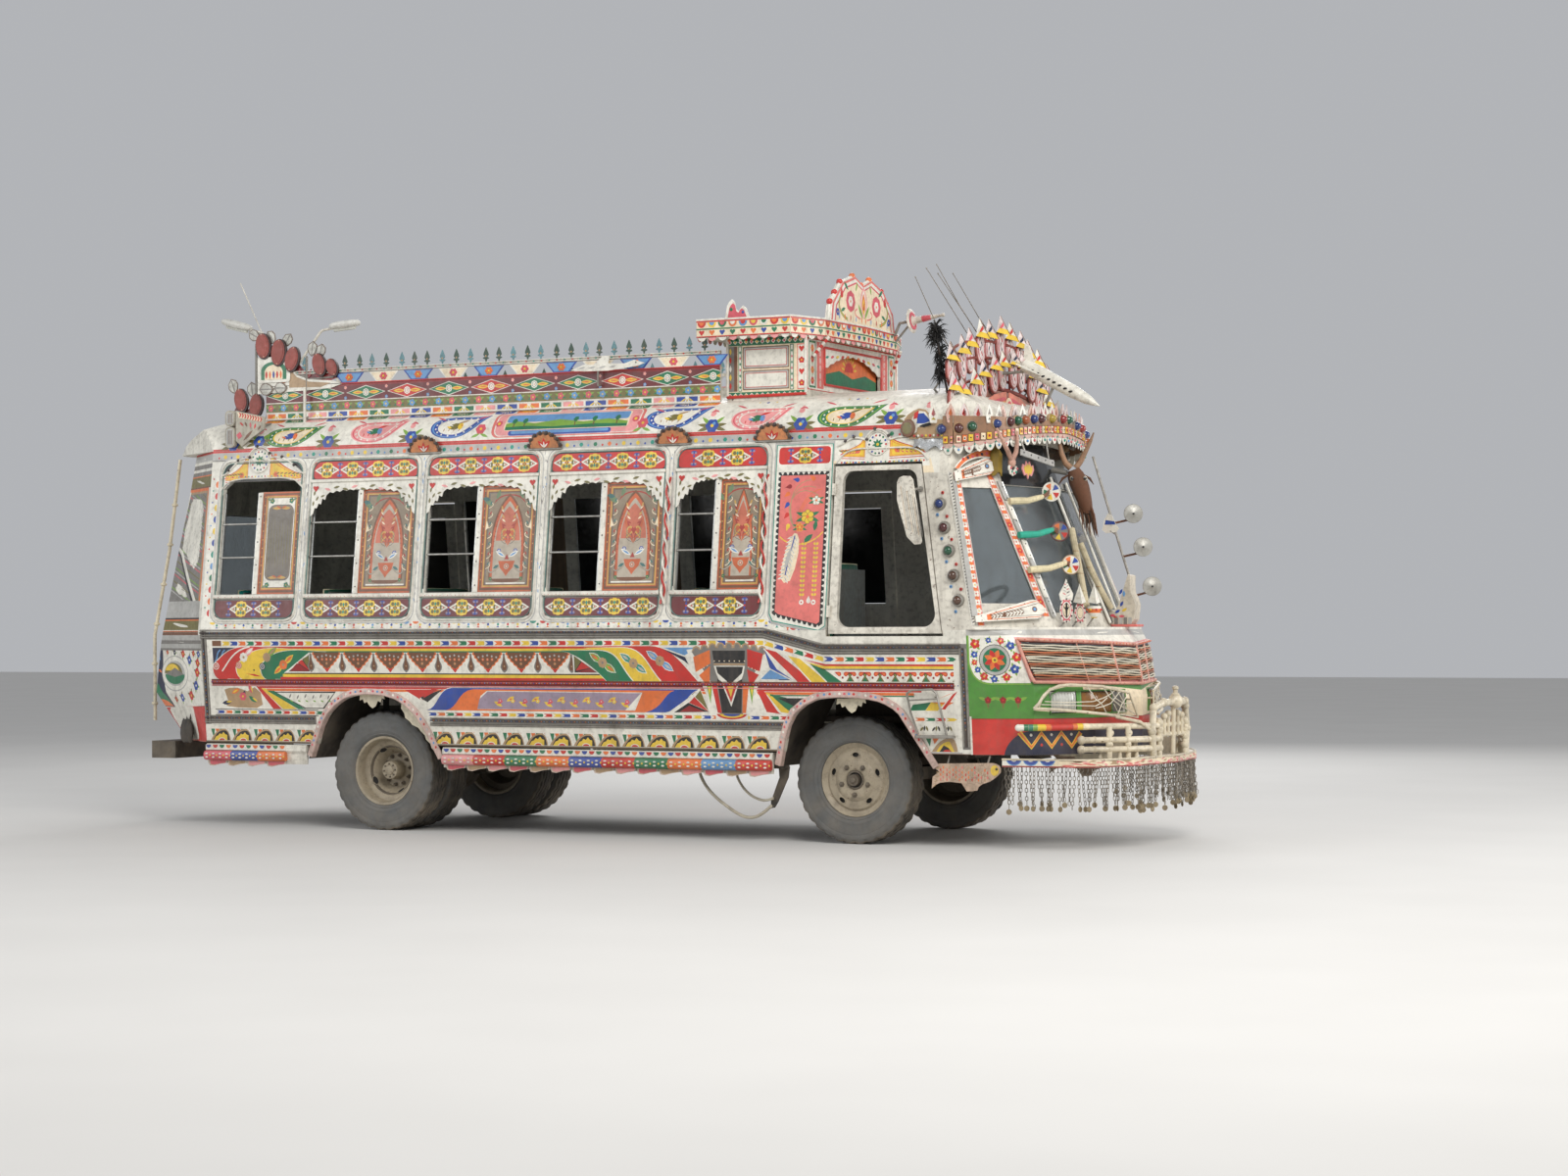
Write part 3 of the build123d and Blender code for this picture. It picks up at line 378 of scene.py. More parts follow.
class Art:
    """painted shapes in order, later ones on top"""
    def __init__(self): self.s = []
    def a(self, colour, *polys):
        for p in polys:
            if len(p) > 2: self.s.append((colour, p))
        return self
    def line(self, colour, z, w, x0, x1): self.a(colour, rect(x0, x1, z - w / 2, z + w / 2))
    def flower(self, x, z, r, petal="red", eye="yellow", n=5, turn=0, edge=None):
        for k in range(n):
            a = turn + 360 * k / n
            px, pz = x + .56 * r * math.cos(math.radians(a)), z + .56 * r * math.sin(math.radians(a))
            if edge: self.a(edge, circ(px, pz, .50 * r, 8))
            self.a(petal, circ(px, pz, .42 * r if edge else .46 * r, 8))
        self.a(eye, circ(x, z, .27 * r, 8))
    def sprig(self, x, z, r, petal="red", eye="yellow", leaves="green", n=5, edge="white"):
        for a in (20, 160, 200, 340):
            self.a(leaves, leaf(x, z, 1.9 * r, .55 * r, a))
        self.flower(x, z, r, petal, eye, n, 90, edge)
    def ring(self, x, z, r, colour, inner):
        self.a(colour, circ(x, z, r, 12)); self.a(inner, circ(x, z, r * .55, 10))


def crosses(q):
    """whether a closed outline runs over itself"""
    n = len(q)
    def o(a, b, c): return (b[0] - a[0]) * (c[1] - a[1]) - (b[1] - a[1]) * (c[0] - a[0])
    for i in range(n):
        a, b = q[i], q[(i + 1) % n]
        for j in range(i + 2, n):
            if i == 0 and j == n - 1: continue
            c, d = q[j], q[(j + 1) % n]
            if o(a, b, c) * o(a, b, d) < 0 and o(c, d, a) * o(c, d, b) < 0: return True
    return False
def inside(q, x, y):
    """inside by winding"""
    w = 0
    for (ax, ay), (bx, by) in zip(q, q[1:] + q[:1]):
        if (ay > y) != (by > y) and x < (bx - ax) * (y - ay) / (by - ay) + ax: w += 1 if by > ay else -1
    return w != 0


def skin(name, art, outline, holes, place, body=BODY, base="white", lift=.0009, mirror=False, grid=None, extra=None):
    """The drawing as a thin closed sheet of paint lying on a surface.
    place(u, v, h) gives the point h above the surface at (u, v)."""
    verts, faces, cols, edges, odd = [], [], [], [], []
    def poly(p, colour):
        k = len(verts); q = []
        for u, v in p:
            if not q or math.hypot(u - q[-1][0], v - q[-1][1]) > 1e-5: q.append((u, v))
        if len(q) > 1 and math.hypot(q[0][0] - q[-1][0], q[0][1] - q[-1][1]) < 1e-5: q.pop()
        if len(q) < 3: return
        area = sum(q[i][0] * q[(i + 1) % len(q)][1] - q[(i + 1) % len(q)][0] * q[i][1] for i in range(len(q)))
        verts.extend(Vector(a) for a in (q[::-1] if area < 0 else q))
        if crosses(q):
            edges.extend((k + i, k + (i + 1) % len(q)) for i in range(len(q)))
            odd.append((len(cols), q, min(a[0] for a in q), max(a[0] for a in q), min(a[1] for a in q), max(a[1] for a in q)))
            faces.append(None)
        else:
            faces.append(list(range(k, k + len(q))))
        cols.append(colour)
    u0, u1 = min(p[0] for p in outline), max(p[0] for p in outline)
    v0, v1 = min(p[1] for p in outline), max(p[1] for p in outline)
    poly(outline, None)
    for h in holes:
        poly(h, "hole")
    for c, p in art.s:
        a0, a1 = min(q[0] for q in p), max(q[0] for q in p)
        b0, b1 = min(q[1] for q in p), max(q[1] for q in p)
        if a1 < u0 or a0 > u1 or b1 < v0 or b0 > v1: continue
        poly(p, c)
    if grid:
        us, vs = grid
        for u in us:
            k = len(verts); verts.extend((Vector((u, v0)), Vector((u, v1)))); edges.append((k, k + 1))
        for v in vs:
            k = len(verts); verts.extend((Vector((u0, v)), Vector((u1, v)))); edges.append((k, k + 1))
    for line in extra or ():
        k = len(verts); verts.extend(Vector(a) for a in line); edges.extend((k + i, k + i + 1) for i in range(len(line) - 1))
    rank = [i for i, f in enumerate(faces) if f]
    ov, oe, of_, _, _, src = delaunay_2d_cdt(verts, edges, [f for f in faces if f], 1, 1e-6)
    src = [[rank[i] for i in ids] for ids in src]
    if odd:
        for f, ids in zip(of_, src):
            if 0 not in ids: continue
            cx = sum(ov[i][0] for i in f) / 3; cy = sum(ov[i][1] for i in f) / 3
            for o, q, a0, a1, b0, b1 in odd:
                if a0 <= cx <= a1 and b0 <= cy <= b1 and inside(q, cx, cy): ids.append(o)
    names = [base]
    tri, tm = [], []
    for f, ids in zip(of_, src):
        if 0 not in ids: continue
        if any(cols[i] == "hole" for i in ids): continue
        (x1_, y1_), (x2_, y2_), (x3_, y3_) = ov[f[0]], ov[f[1]], ov[f[2]]
        if abs((x2_ - x1_) * (y3_ - y1_) - (x3_ - x1_) * (y2_ - y1_)) < 1e-10: continue
        top = max(ids)
        c = cols[top] or base
        if c not in names: names.append(c)
        tri.append(tuple(f)); tm.append(names.index(c))
    used = sorted({i for t in tri for i in t}); idx = {i: k for k, i in enumerate(used)}
    n = len(used)
    tri = [tuple(idx[i] for i in t) for t in tri]
    top = [Vector(place(ov[i][0], ov[i][1], lift)) for i in used]
    low = [Vector(place(ov[i][0], ov[i][1], .0001)) for i in used]
    # winding: the top layer faces outward
    a, b, c = (top[i] for i in tri[0])
    out = top[tri[0][0]] - low[tri[0][0]]
    if (b - a).cross(c - a).dot(out) < 0:
        tri = [t[::-1] for t in tri]
    vs = top + low
    fs, ms = [], []
    count = {}
    for t, k in zip(tri, tm):
        fs.append(t); ms.append(k)
        fs.append(tuple(i + n for i in reversed(t))); ms.append(k)
        for i in range(3):
            e = (t[i], t[(i + 1) % 3])
            if (e[1], e[0]) in count: del count[(e[1], e[0])]
            else: count[e] = k
    for (i, j), k in count.items():
        fs.append((j, i, i + n, j + n)); ms.append(k)
    if mirror:
        o = len(vs)
        vs = vs + [Vector((v.x, -v.y, v.z)) for v in vs]
        fs = fs + [tuple(i + o for i in reversed(f)) for f in fs]
        ms = ms + ms
    me = bpy.data.meshes.new(name)
    me.from_pydata([tuple(v) for v in vs], [], fs)
    for k in names: me.materials.append(paint(k))
    me.polygons.foreach_set("material_index", ms)
    me.validate(); me.update()
    ob = bpy.data.objects.new(name, me)
    bpy.context.scene.collection.objects.link(ob)
    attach(ob, body)
    return ob


# ------------------------------------------------------------------ body surfaces
def side_y(z): return 1.070 - .12 * (z - 1.32) if z > 1.32 else 1.070 - .10 * (1.32 - z)
def on_side(u, v, h, s=-1):
    """(distance ahead of the rear axle, height) on the right side"""
    return (u - X0, s * (side_y(v) + h), v)
def on_left(u, v, h): return on_side(u, v, h, 1)
LOWER = [(.570, -1.820, .640, 4.255, 4.610, .905, 4.880, .560, 4.985), (.900, -2.060, .680, 4.255, 4.630, .905, 4.885, .560, 4.990),
         (1.240, -1.972, .742, 4.255, 4.590, .900, 4.830, .560, 4.930), (1.320, -1.950, .750, 4.255, 4.560, .880, 4.790, .560, 4.880)]
UPPER = [(1.320, -1.950, .750, 4.300, 4.680, .700, 4.735, .350, 4.790), (2.270, -1.800, .640, 4.110, 4.285, .690, 4.345, .345, 4.405),
         (2.560, -1.760, .610, 4.060, 4.200, .690, 4.260, .345, 4.320)]
def row_at(rows, z):
    z = min(max(z, rows[0][0]), rows[-1][0])
    for a, b in zip(rows, rows[1:]):
        if z <= b[0]:
            t = (z - a[0]) / (b[0] - a[0]); return [p + (q - p) * t for p, q in zip(a, b)]
def along(pts, u):
    """point and outward normal at distance u along a plan polyline"""
    for i, (a, b) in enumerate(zip(pts, pts[1:])):
        l = math.hypot(b[0] - a[0], b[1] - a[1])
        if u <= l or i == len(pts) - 2:
            t = u / l
            nx, ny = (b[1] - a[1]) / l, -(b[0] - a[0]) / l
            return a[0] + (b[0] - a[0]) * t, a[1] + (b[1] - a[1]) * t, nx, ny
        u -= l
def on_front(rows, s=1):
    def f(u, v, h):
        r = row_at(rows, v); y = side_y(v)
        full = [(r[3], -y), (r[4], -r[5]), (r[6], -r[7]), (r[8], 0.0), (r[6], r[7]), (r[4], r[5]), (r[3], y)]
        x, yy, nx, ny = along(full, u)
        return (x + nx * h - X0, yy + ny * h, v)
    return f
def breaks(rows, z):
    r = row_at(rows, z); y = side_y(z)
    full = [(r[3], -y), (r[4], -r[5]), (r[6], -r[7]), (r[8], 0.0), (r[6], r[7]), (r[4], r[5]), (r[3], y)]
    d = [0.0]
    for a, b in zip(full, full[1:]): d.append(d[-1] + math.hypot(b[0] - a[0], b[1] - a[1]))
    return d
def on_corner(u, v, h):
    """u behind the side's rear edge, on the slanting rear corner panel"""
    r = row_at(LOWER if v < 1.32 else UPPER, v); y = side_y(v)
    l = math.hypot(-1.385 - r[1], y - r[2])
    t = u / l
    nx, ny = -(y - r[2]) / l, -(-1.385 - r[1]) / l
    return (-1.385 + (r[1] + 1.385) * t + nx * h - X0, -(y + (r[2] - y) * t) + ny * h, v)
def on_rear(u, v, h):
    """u = y across the rear wall"""
    r = row_at(LOWER if v < 1.32 else UPPER, v)
    return (r[1] - h - X0, u, v)


# ------------------------------------------------------------------ two lengths of rope hanging under the right side
ROPES = {
    "hanging_rope_long": ([(2334, -846, 498), (2334, -846, 436), (2362, -848, 372), (2408, -850, 312), (2466, -852, 262), (2530, -852, 218), (2600, -852, 176), (2668, -850, 146), (2738, -848, 150), (2798, -846, 184), (2846, -846, 226)], 11, 10),
    "hanging_rope_short": ([(2592, -844, 498), (2592, -844, 440), (2612, -842, 382), (2648, -844, 330), (2696, -844, 288), (2754, -844, 262), (2812, -844, 254), (2858, -844, 272)], 9, 8),
}
def ropes():
    fibre = mat("rope_fibre", (196, 188, 168), rough=.9, grime=.4, dust=.4, bump=.3)
    for name, (pts, r, n) in ROPES.items():
        cu = bpy.data.curves.new(name + "_line", "CURVE"); cu.dimensions = "3D"
        sp = cu.splines.new("NURBS"); sp.points.add(len(pts) - 1)
        for k, (x, y, z) in enumerate(pts):
            sp.points[k].co = (x / 1000 - X0, y / 1000, z / 1000, 1)
        sp.order_u = 3; sp.use_endpoint_u = True; sp.resolution_u = 10
        tmp = bpy.data.objects.new(name + "_line", cu)
        bpy.context.scene.collection.objects.link(tmp)
        me = bpy.data.meshes.new_from_object(tmp)
        line = [v.co.copy() for v in me.vertices]
        bpy.data.objects.remove(tmp); bpy.data.meshes.remove(me); bpy.data.curves.remove(cu)
        # three strands laid round the line
        R = r / 1000; dist = [0.0]
        for a, b in zip(line, line[1:]): dist.append(dist[-1] + (b - a).length)
        fine, s = [], 0.0
        def at(d):
            for i in range(len(line) - 1):
                if d <= dist[i + 1] or i == len(line) - 2:
                    t = (d - dist[i]) / (dist[i + 1] - dist[i]); return line[i].lerp(line[i + 1], t), (line[i + 1] - line[i]).normalized()
        total = dist[-1]; steps = int(total / .005)
        bag = Bag()
        for k in range(3):
            path = []
            for i in range(steps + 1):
                p, t = at(total * i / steps)
                u = t.cross(Vector((0, 1, 0))).normalized(); w = t.cross(u)
                a = 2 * math.pi * (k / 3 + total * i / steps / .048)
                path.append(p + (u * math.cos(a) + w * math.sin(a)) * R * .48)
            bag.tube(path, R * .53, fibre, n=7)
        ob = bag.make(name + "_strands", smooth=60, slot="black_rubber", replaces=(name,))
        [tuple(p) for p in line]
ropes()


# ------------------------------------------------------------------ right side below the windows: the drawing
CYCLE = ("red", "yellow", "blue", "orange", "green")
def top_line(x):
    """height of the belt moulding's lower edge: level, a slope beside the cab, level again"""
    return 1.27 if x < 2.90 else 1.27 - .10 * (x - 2.90) / .40 if x < 3.30 else 1.17

def arrows(art, x0, x1, z, h, pitch=.0676, first=0, zf=None, direction=1):
    zf = zf or (lambda x: z)
    n = int((x1 - x0) / pitch + .001)
    tip = .022 * direction
    for k in range(n + 1):
        a, b = x0 + k * pitch, min(x1, x0 + (k + 1) * pitch)
        if b - a < .012: continue
        za, zb = zf(a), zf(b)
        col = CYCLE[(k + first) % 5]
        body = lambda g: [(a + tip * g, za + h / 2), (b, zb + h - .006), (b + tip, zb + h / 2), (b, zb + .006), (a, za + .006), (a + tip, za + h / 2), (a, za + h - .006)]
        art.a("white", [(a, za), (b, zb), (b, zb + h), (a, za + h)])
        art.a(col, [(a + .004, za + h - .004), (b - .006, zb + h - .004), (b - .006 + tip, zb + h / 2), (b - .006, zb + .004), (a + .004, za + .004), (a + .004 + tip, za + h / 2)])

def petal_s(art, colour, x0, x1, ztop, zlow=1.002, edge="white"):
    """rear end of a painted streamer: round belly below, sweeping up and forward"""
    w = x1 - x0
    up = bez((x0, zlow + .075), (x0 + .00, zlow - .02), (x0 + .09, zlow - .012), (x0 + .12, zlow + .002), 8)
    poly = up + [(x1 + .02, zlow)] + bez((x1 + .07, zlow + .02), (x1 + .16, zlow + .06), (x1 + .18, ztop - .03), (x1 + .36, ztop), 9) \
        + bez((x1 + .14, ztop + .012), (x0 + .14, ztop + .012), (x0 + .10, zlow + .17), (x0 + .015, zlow + .105), 10)
    if edge: art.a(edge, [(a - .006, b + .002) for a, b in poly])
    art.a(colour, poly)

def lace(art, x, z0, z1, w):
    """hanging lace tongue with a coloured tip"""
    h = z1 - z0
    art.a("orange", scallop_v(x, z0 + .012, z1, w / 2 + .004, 5))
    art.a("brown", scallop_v(x, z0 + .022, z1, w / 2 - .008, 5))
    for k in range(5):
        t = (k - 2) / 2
        art.a("pale_grey", circ(x + t * w * .33, z1 - .02 - .012 * abs(t) , .0075, 6))
    for k in range(3):
        t = (k - 1)
        art.a("orange", circ(x + t * w * .17, z1 - .047, .010, 6))
        art.a("pale_grey", circ(x + t * w * .17, z1 - .047, .004, 6))
    art.a("sand", circ(x, z1 - .074, .010, 6)); art.a("orange", circ(x, z1 - .074, .005, 6))
    art.a("red", [(x - .022, z0 + .022), (x + .022, z0 + .022), (x + .004, z0 - .002), (x - .004, z0 - .002)])

def scallop_v(x, z0, z1, w, n):
    """tongue outline with a scalloped edge, wide at the top"""
    left = []
    for i in range(n + 1):
        t = i / n
        left.append((x - w * (1 - t ** 1.5) - .003, z1 - (z1 - z0) * t))
        if i < n: left.append((x - w * (1 - ((i + .5) / n) ** 1.5) - .013, z1 - (z1 - z0) * (i + .55) / n))
    return left + [(2 * x - a, b) for a, b in reversed(left)]

def spindle(art, x, z0, z1):
    """dark turned drop between the lace tongues"""
    h = z1 - z0
    pts = [(.004, 1.), (.009, .93), (.008, .80), (.012, .62), (.026, .40), (.029, .28), (.020, .12), (.004, 0.)]
    prof = [(x + a, z0 + b * h) for a, b in pts] + [(x - a, z0 + b * h) for a, b in reversed(pts)]
    art.a("grey", prof)
    art.a("brown", [(x + a * .6, z0 + b * h) for a, b in pts[2:-1]] + [(x - a * .6, z0 + b * h) for a, b in reversed(pts[2:-1])])
    art.a("sand", circ(x, z0 + .33 * h, .006, 6))

def small_arch(art, x0, w, z0=.585, h=.078):
    """one of the leaning arches of the bottom row, and the points between them"""
    x1 = x0 + w
    for k, c in enumerate(("green", "orange", "green", "orange")):
        a = x0 + .01 + k * .036
        art.a(c, [(a, z0 + h), (a + .034, z0 + h), (a + .026, z0 + .026), (a + .016, z0 + .02)])
        art.a("white", thick([(a + .034, z0 + h), (a + .022, z0 + .01)], .004))
    swoop = bez((x0 + .004, z0), (x0 + .035, z0 + .055), (x0 + .08, z0 + h), (x0 + .115, z0 + h), 7) \
        + bez((x0 + .135, z0 + h), (x0 + .165, z0 + .065), (x0 + .172, z0 + .02), (x0 + .172, z0), 6)
    art.a("sand", swoop)
    i1 = bez((x0 + .022, z0), (x0 + .048, z0 + .05), (x0 + .085, z0 + h - .010), (x0 + .114, z0 + h - .011), 7) \
        + bez((x0 + .130, z0 + h - .012), (x0 + .152, z0 + .06), (x0 + .160, z0 + .02), (x0 + .160, z0), 6)
    art.a("black", i1)
    art.a("yellow", [(x0 + .028, z0), (x0 + .048, z0 + .026), (x0 + .066, z0 + .032), (x0 + .078, z0 + .046), (x0 + .096, z0 + .040),
                     (x0 + .112, z0 + .056), (x0 + .126, z0 + .040), (x0 + .142, z0 + .036), (x0 + .140, z0)])
    art.a("white", circ(x0 + .096, z0, .030, 8, rz=.018, a0=0, a1=180))
    art.a("red", circ(x0 + .096, z0, .024, 8, rz=.013, a0=0, a1=180))
    art.a("white", thick(bez((x0 + .172, z0), (x0 + .172, z0 + .03), (x0 + .158, z0 + .07), (x0 + .135, z0 + h), 5), .007))

def lower_art():
    A = Art()
    # mouldings' ground and the belt
    A.a("grey", [(-1.385, 1.27), (2.90, 1.27), (3.30, 1.17), (4.26, 1.17), (4.26, 1.235), (3.32, 1.235), (2.92, 1.335), (-1.385, 1.335)])
    A.a("white", [(-1.29, 1.262), (2.9, 1.262), (3.30, 1.162), (4.16, 1.162), (4.16, 1.17), (3.30, 1.17), (2.90, 1.27), (-1.29, 1.27)])
    arrows(A, -1.215, 2.90, 1.225, .036, first=1)
    arrows(A, 2.90, 3.36, 0, .036, first=1, zf=lambda x: 1.225 - .25 * (x - 2.90) + .0 if x < 3.3 else 1.125)
    arrows(A, 3.375, 4.17, 1.125, .034, first=3)
    A.a("brown", rect(-1.29, -1.215, 1.225, 1.262))
    # upper register, rear end
    A.a("navy", [(-1.29, 1.215), (-1.06, 1.215), (-1.16, 1.15), (-1.24, 1.10), (-1.29, 1.09)])
    for k in range(5):
        x = -1.275 + .038 * k
        A.a("light_blue", thick(bez((x, 1.12 + .008 * k), (x + .03, 1.14), (x + .01, 1.18), (x + .05, 1.20), 5), .010))
    # streamers running the length of the register
    A.a("red", [(-1.0, 1.222), (2.04, 1.222), (2.06, 1.208), (-.9, 1.208)])
    A.a("yellow", [(-.8, 1.208), (1.96, 1.208), (1.98, 1.192), (-.7, 1.192)])
    A.a("green", [(-.6, 1.192), (1.78, 1.192), (1.80, 1.182), (-.5, 1.182)])
    for colour, x0, x1, zt in (("red", -1.295, -1.10, 1.212), ("yellow", -1.10, -.90, 1.20), ("green", -.90, -.71, 1.186)):
        petal_s(A, colour, x0, x1, zt)
    A.a("white", thick(bez((-1.22, 1.055), (-1.16, 1.12), (-1.12, 1.20), (-.98, 1.222), 8), .010))
    for x, z, c1, c2 in ((-1.268, 1.09, "white", "red"), (-1.078, 1.095, "sand", "pink"), (-.885, 1.088, "navy", "pale_grey")):
        A.a(c1, circ(x, z, .026, 12)); A.a(c2, circ(x, z, .020, 12)); A.a(c1, circ(x, z, .012, 10)); A.a(c2, circ(x, z, .006, 8))
    for x, z, c, l in ((-1.035, 1.15, "white", "pink"), (-.845, 1.15, "sand", "light_green"), (-.712, 1.10, "orange", "yellow")):
        A.a(l, leaf(x, z, .11, .040, 38)); A.a(c, leaf(x + .02, z + .016, .075, .020, 38))
        if z < 1.12: A.a(l, leaf(x, z, .10, .038, 218)); A.a(c, leaf(x - .02, z - .016, .07, .018, 218))
        A.flower(x, z, .033, c, "pale_grey", 8)
        A.a("sand", circ(x, z, .010, 8))
    A.a("red", bez((-1.04, 1.045), (-.99, 1.03), (-.96, 1.045), (-.93, 1.03), 4) + [(-.90, 1.02), (-.95, 1.022)])
    A.a("black", circ(-.955, 1.063, .007, 6))
    # white field of the lace row
    A.a("white", [(-.71, 1.045), (-.50, 1.182), (1.50, 1.182), (1.60, 1.17), (1.75, 1.045)])
    A.a("red", rect(-.492, -.486, 1.05, 1.18))
    A.a("black", [(-.672, 1.055), (-.50, 1.168), (-.50, 1.055)])
    A.a("dark_red", [(-.66, 1.058), (-.503, 1.058), (-.60, 1.112)]); A.a("red", [(-.595, 1.116), (-.50, 1.06), (-.56, 1.135)])
    A.a("olive", [(-.555, 1.138), (-.503, 1.07), (-.503, 1.164)])
    for k in range(8):
        x = -.360 + .2515 * k
        if x < 1.47: lace(A, x, 1.055, 1.184, .205)
    for k in range(9):
        spindle(A, -.487 + .2515 * k, 1.052, 1.178)
    A.a("black", rect(-.70, 1.75, 1.038, 1.046)); A.a("yellow", rect(-.72, 1.79, 1.018, 1.038)); A.a("red", rect(-.74, 1.82, 1.000, 1.018))
    # front end of the register
    A.a("white", [(1.535, 1.05), (1.535, 1.168), (1.55, 1.168), (1.75, 1.05)])
    A.a("black", [(1.545, 1.055), (1.545, 1.162), (1.71, 1.055)])
    A.a("olive", [(1.547, 1.158), (1.595, 1.128), (1.55, 1.07)]); A.a("red", [(1.60, 1.124), (1.66, 1.085), (1.553, 1.066)])
    A.a("dark_red", [(1.664, 1.083), (1.70, 1.058), (1.56, 1.058)])
    def sweep(colour, a, b, za, zb, w0, w1):
        up = bez((a, za), (a + .16, za - .004), (b - .10, zb + .10), (b, zb), 12)
        lo = bez((a - w0, za - .0), (a + .10 - w0, za - .008), (b - w1 - .10, zb + .10), (b - w1, zb), 12)
        A.a("white", [(x + .006, z + .004) for x, z in up] + [(x - .004, z - .0) for x, z in reversed(lo)])
        A.a(colour, up + lo[::-1])
    sweep("red", 2.10, 2.43, 1.224, 1.002, .35, .26)
    sweep("yellow", 1.90, 2.165, 1.214, 1.002, .28, .195)
    sweep("green", 1.72, 1.965, 1.196, 1.002, .28, .190)
    for x, z, c, l, c2 in ((1.752, 1.118, "orange", "light_green", "sand"), (1.975, 1.115, "pale_grey", "teal", "sand"), (2.167, 1.130, "pale_grey", "light_blue", "sand")):
        for sgn in (1, -1):
            A.a("white", leaf(x, z, sgn * .115, .050, -34)); A.a(l, leaf(x, z, sgn * .108, .040, -34)); A.a(c, leaf(x + sgn * .03, z - sgn * .02, sgn * .06, .018, -34))
        A.flower(x, z, .034, c2, c, 8); A.a("grey", circ(x, z, .009, 8))
    A.a("navy", [(2.18, 1.212), (2.36, 1.15), (2.375, 1.105), (2.34, 1.13)])
    A.a("light_blue", [(2.19, 1.214), (2.44, 1.214), (2.345, 1.165)]); A.a("white", thick([(2.18, 1.215), (2.35, 1.158), (2.38, 1.10)], .008))
    # middle moulding ground
    A.a("maroon", rect(-1.31, 4.165, .955, 1.0))
    A.a("dark_red", rect(-1.31, 4.165, .972, .996)); A.a("pink", rect(-1.31, 4.165, .957, .964))
    # lower register, rear part
    A.a("black", rect(-1.295, -.45, .795, .800)); A.a("black", rect(-1.295, -.45, .757, .762))
    A.line("red", .948, .012, -.92, 3.95); A.line("orange", .931, .016, -.86, 3.90)
    A.a("sand", [(-1.21, .93), (-1.20, .90), (-1.18, .845), (-1.20, .82), (-1.12, .81), (-.95, .806), (-.90, .83), (-.91, .91), (-.96, .948), (-1.02, .92), (-1.10, .944), (-1.17, .942)])
    for k, (x, z) in enumerate(((-1.15, .905), (-1.07, .86), (-.985, .905), (-.95, .845), (-1.16, .845))):
        A.a(("orange", "navy", "rose", "green", "navy")[k], leaf(x, z, .075, .03, 25 + 40 * k)); A.a("yellow", leaf(x + .008, z + .005, .05, .012, 25 + 40 * k))
    A.flower(-1.06, .885, .030, "rose", "yellow", 6)
    A.a("red", [(-.945, .955), (-.915, .952), (-.745, .802), (-.815, .802)])
    A.a("yellow", [(-.905, .942), (-.87, .940), (-.62, .802), (-.735, .802)])
    A.a("green", [(-.86, .926), (-.80, .924), (-.55, .802), (-.61, .802)])
    A.a("black", [(-.80, .918), (-.30, .922), (-.40, .806), (-.555, .806)]); A.a("white", [(-.78, .912), (-.315, .912), (-.41, .812), (-.55, .812)])
    for k in range(6):
        x = -.68 + .062 * k
        A.a("grey", leaf(x, .875 - .006 * (k % 2), .035, .012, 60)); A.a("light_green", leaf(x + .004, .862, .030, .010, -20))
    A.a("red", [(.245, .938), (.505, .940), (.375, .868)]); A.a("black", [(.36, .886), (.545, .944), (.42, .856)]); A.a("red", [(.39, .884), (.51, .940), (.46, .945), (.40, .91)])
    A.a("white", thick([(.365, .885), (.40, .83)], .010))
    # long panel between the arches
    def plate(x0, x1, z0, z1, c, s0=.22, s1=.20):
        l = bez((x0, z0), (x0 + s0 * .45, z0 + .01), (x0 + s0 * .45, z1 - .01), (x0 + s0, z1), 8)
        r = bez((x1, z1), (x1 - s1 * .4, z1 - .02), (x1 - s1 * .35, z0 + .03), (x1 - s1, z0), 8)
        A.a(c, l + r)
    plate(.405, 2.450, .802, .955, "white", .20, .26)
    plate(.410, 2.440, .805, .952, "blue", .20, .25)
    plate(.555, 2.262, .804, .944, "orange", .22, .22)
    plate(.570, 2.245, .806, .941, "orange", .22, .22)
    A.a("white", [(.80, .812), (1.97, .812), (2.03, .93), (.88, .934), (.83, .90)])
    A.a("lilac", [(.80, .816), (1.90, .816), (2.02, .926), (.885, .930), (.82, .88)])
    A.line("orange", .9375, .006, .78, 2.20); A.line("orange", .811, .008, .70, 1.98)
    for k in range(11):                                            # running vine in the centre field
        x = .93 + .094 * k
        A.a("yellow", leaf(x, .866, .070, .024, 28 if k % 2 else -28)); A.a("rose", leaf(x + .02, .884 if k % 2 else .852, .052, .018, -18 if k % 2 else 18))
        A.flower(x + .047, .870, .015, "yellow" if k % 2 else "rose", "white", 5)
    A.a("black", [(2.22, .804), (2.50, .810), (2.38, .92), (2.44, .957)]); A.a("white", [(2.44, .96), (2.53, .80), (2.20, .80), (2.36, .90)])
    A.a("black", [(2.25, .806), (2.50, .812), (2.355, .868)]); A.a("red", [(2.36, .868), (2.495, .815), (2.40, .905)])
    A.a("dark_red", [(2.29, .81), (2.47, .812), (2.36, .85)]); A.a("olive", [(2.405, .905), (2.495, .82), (2.445, .948)])
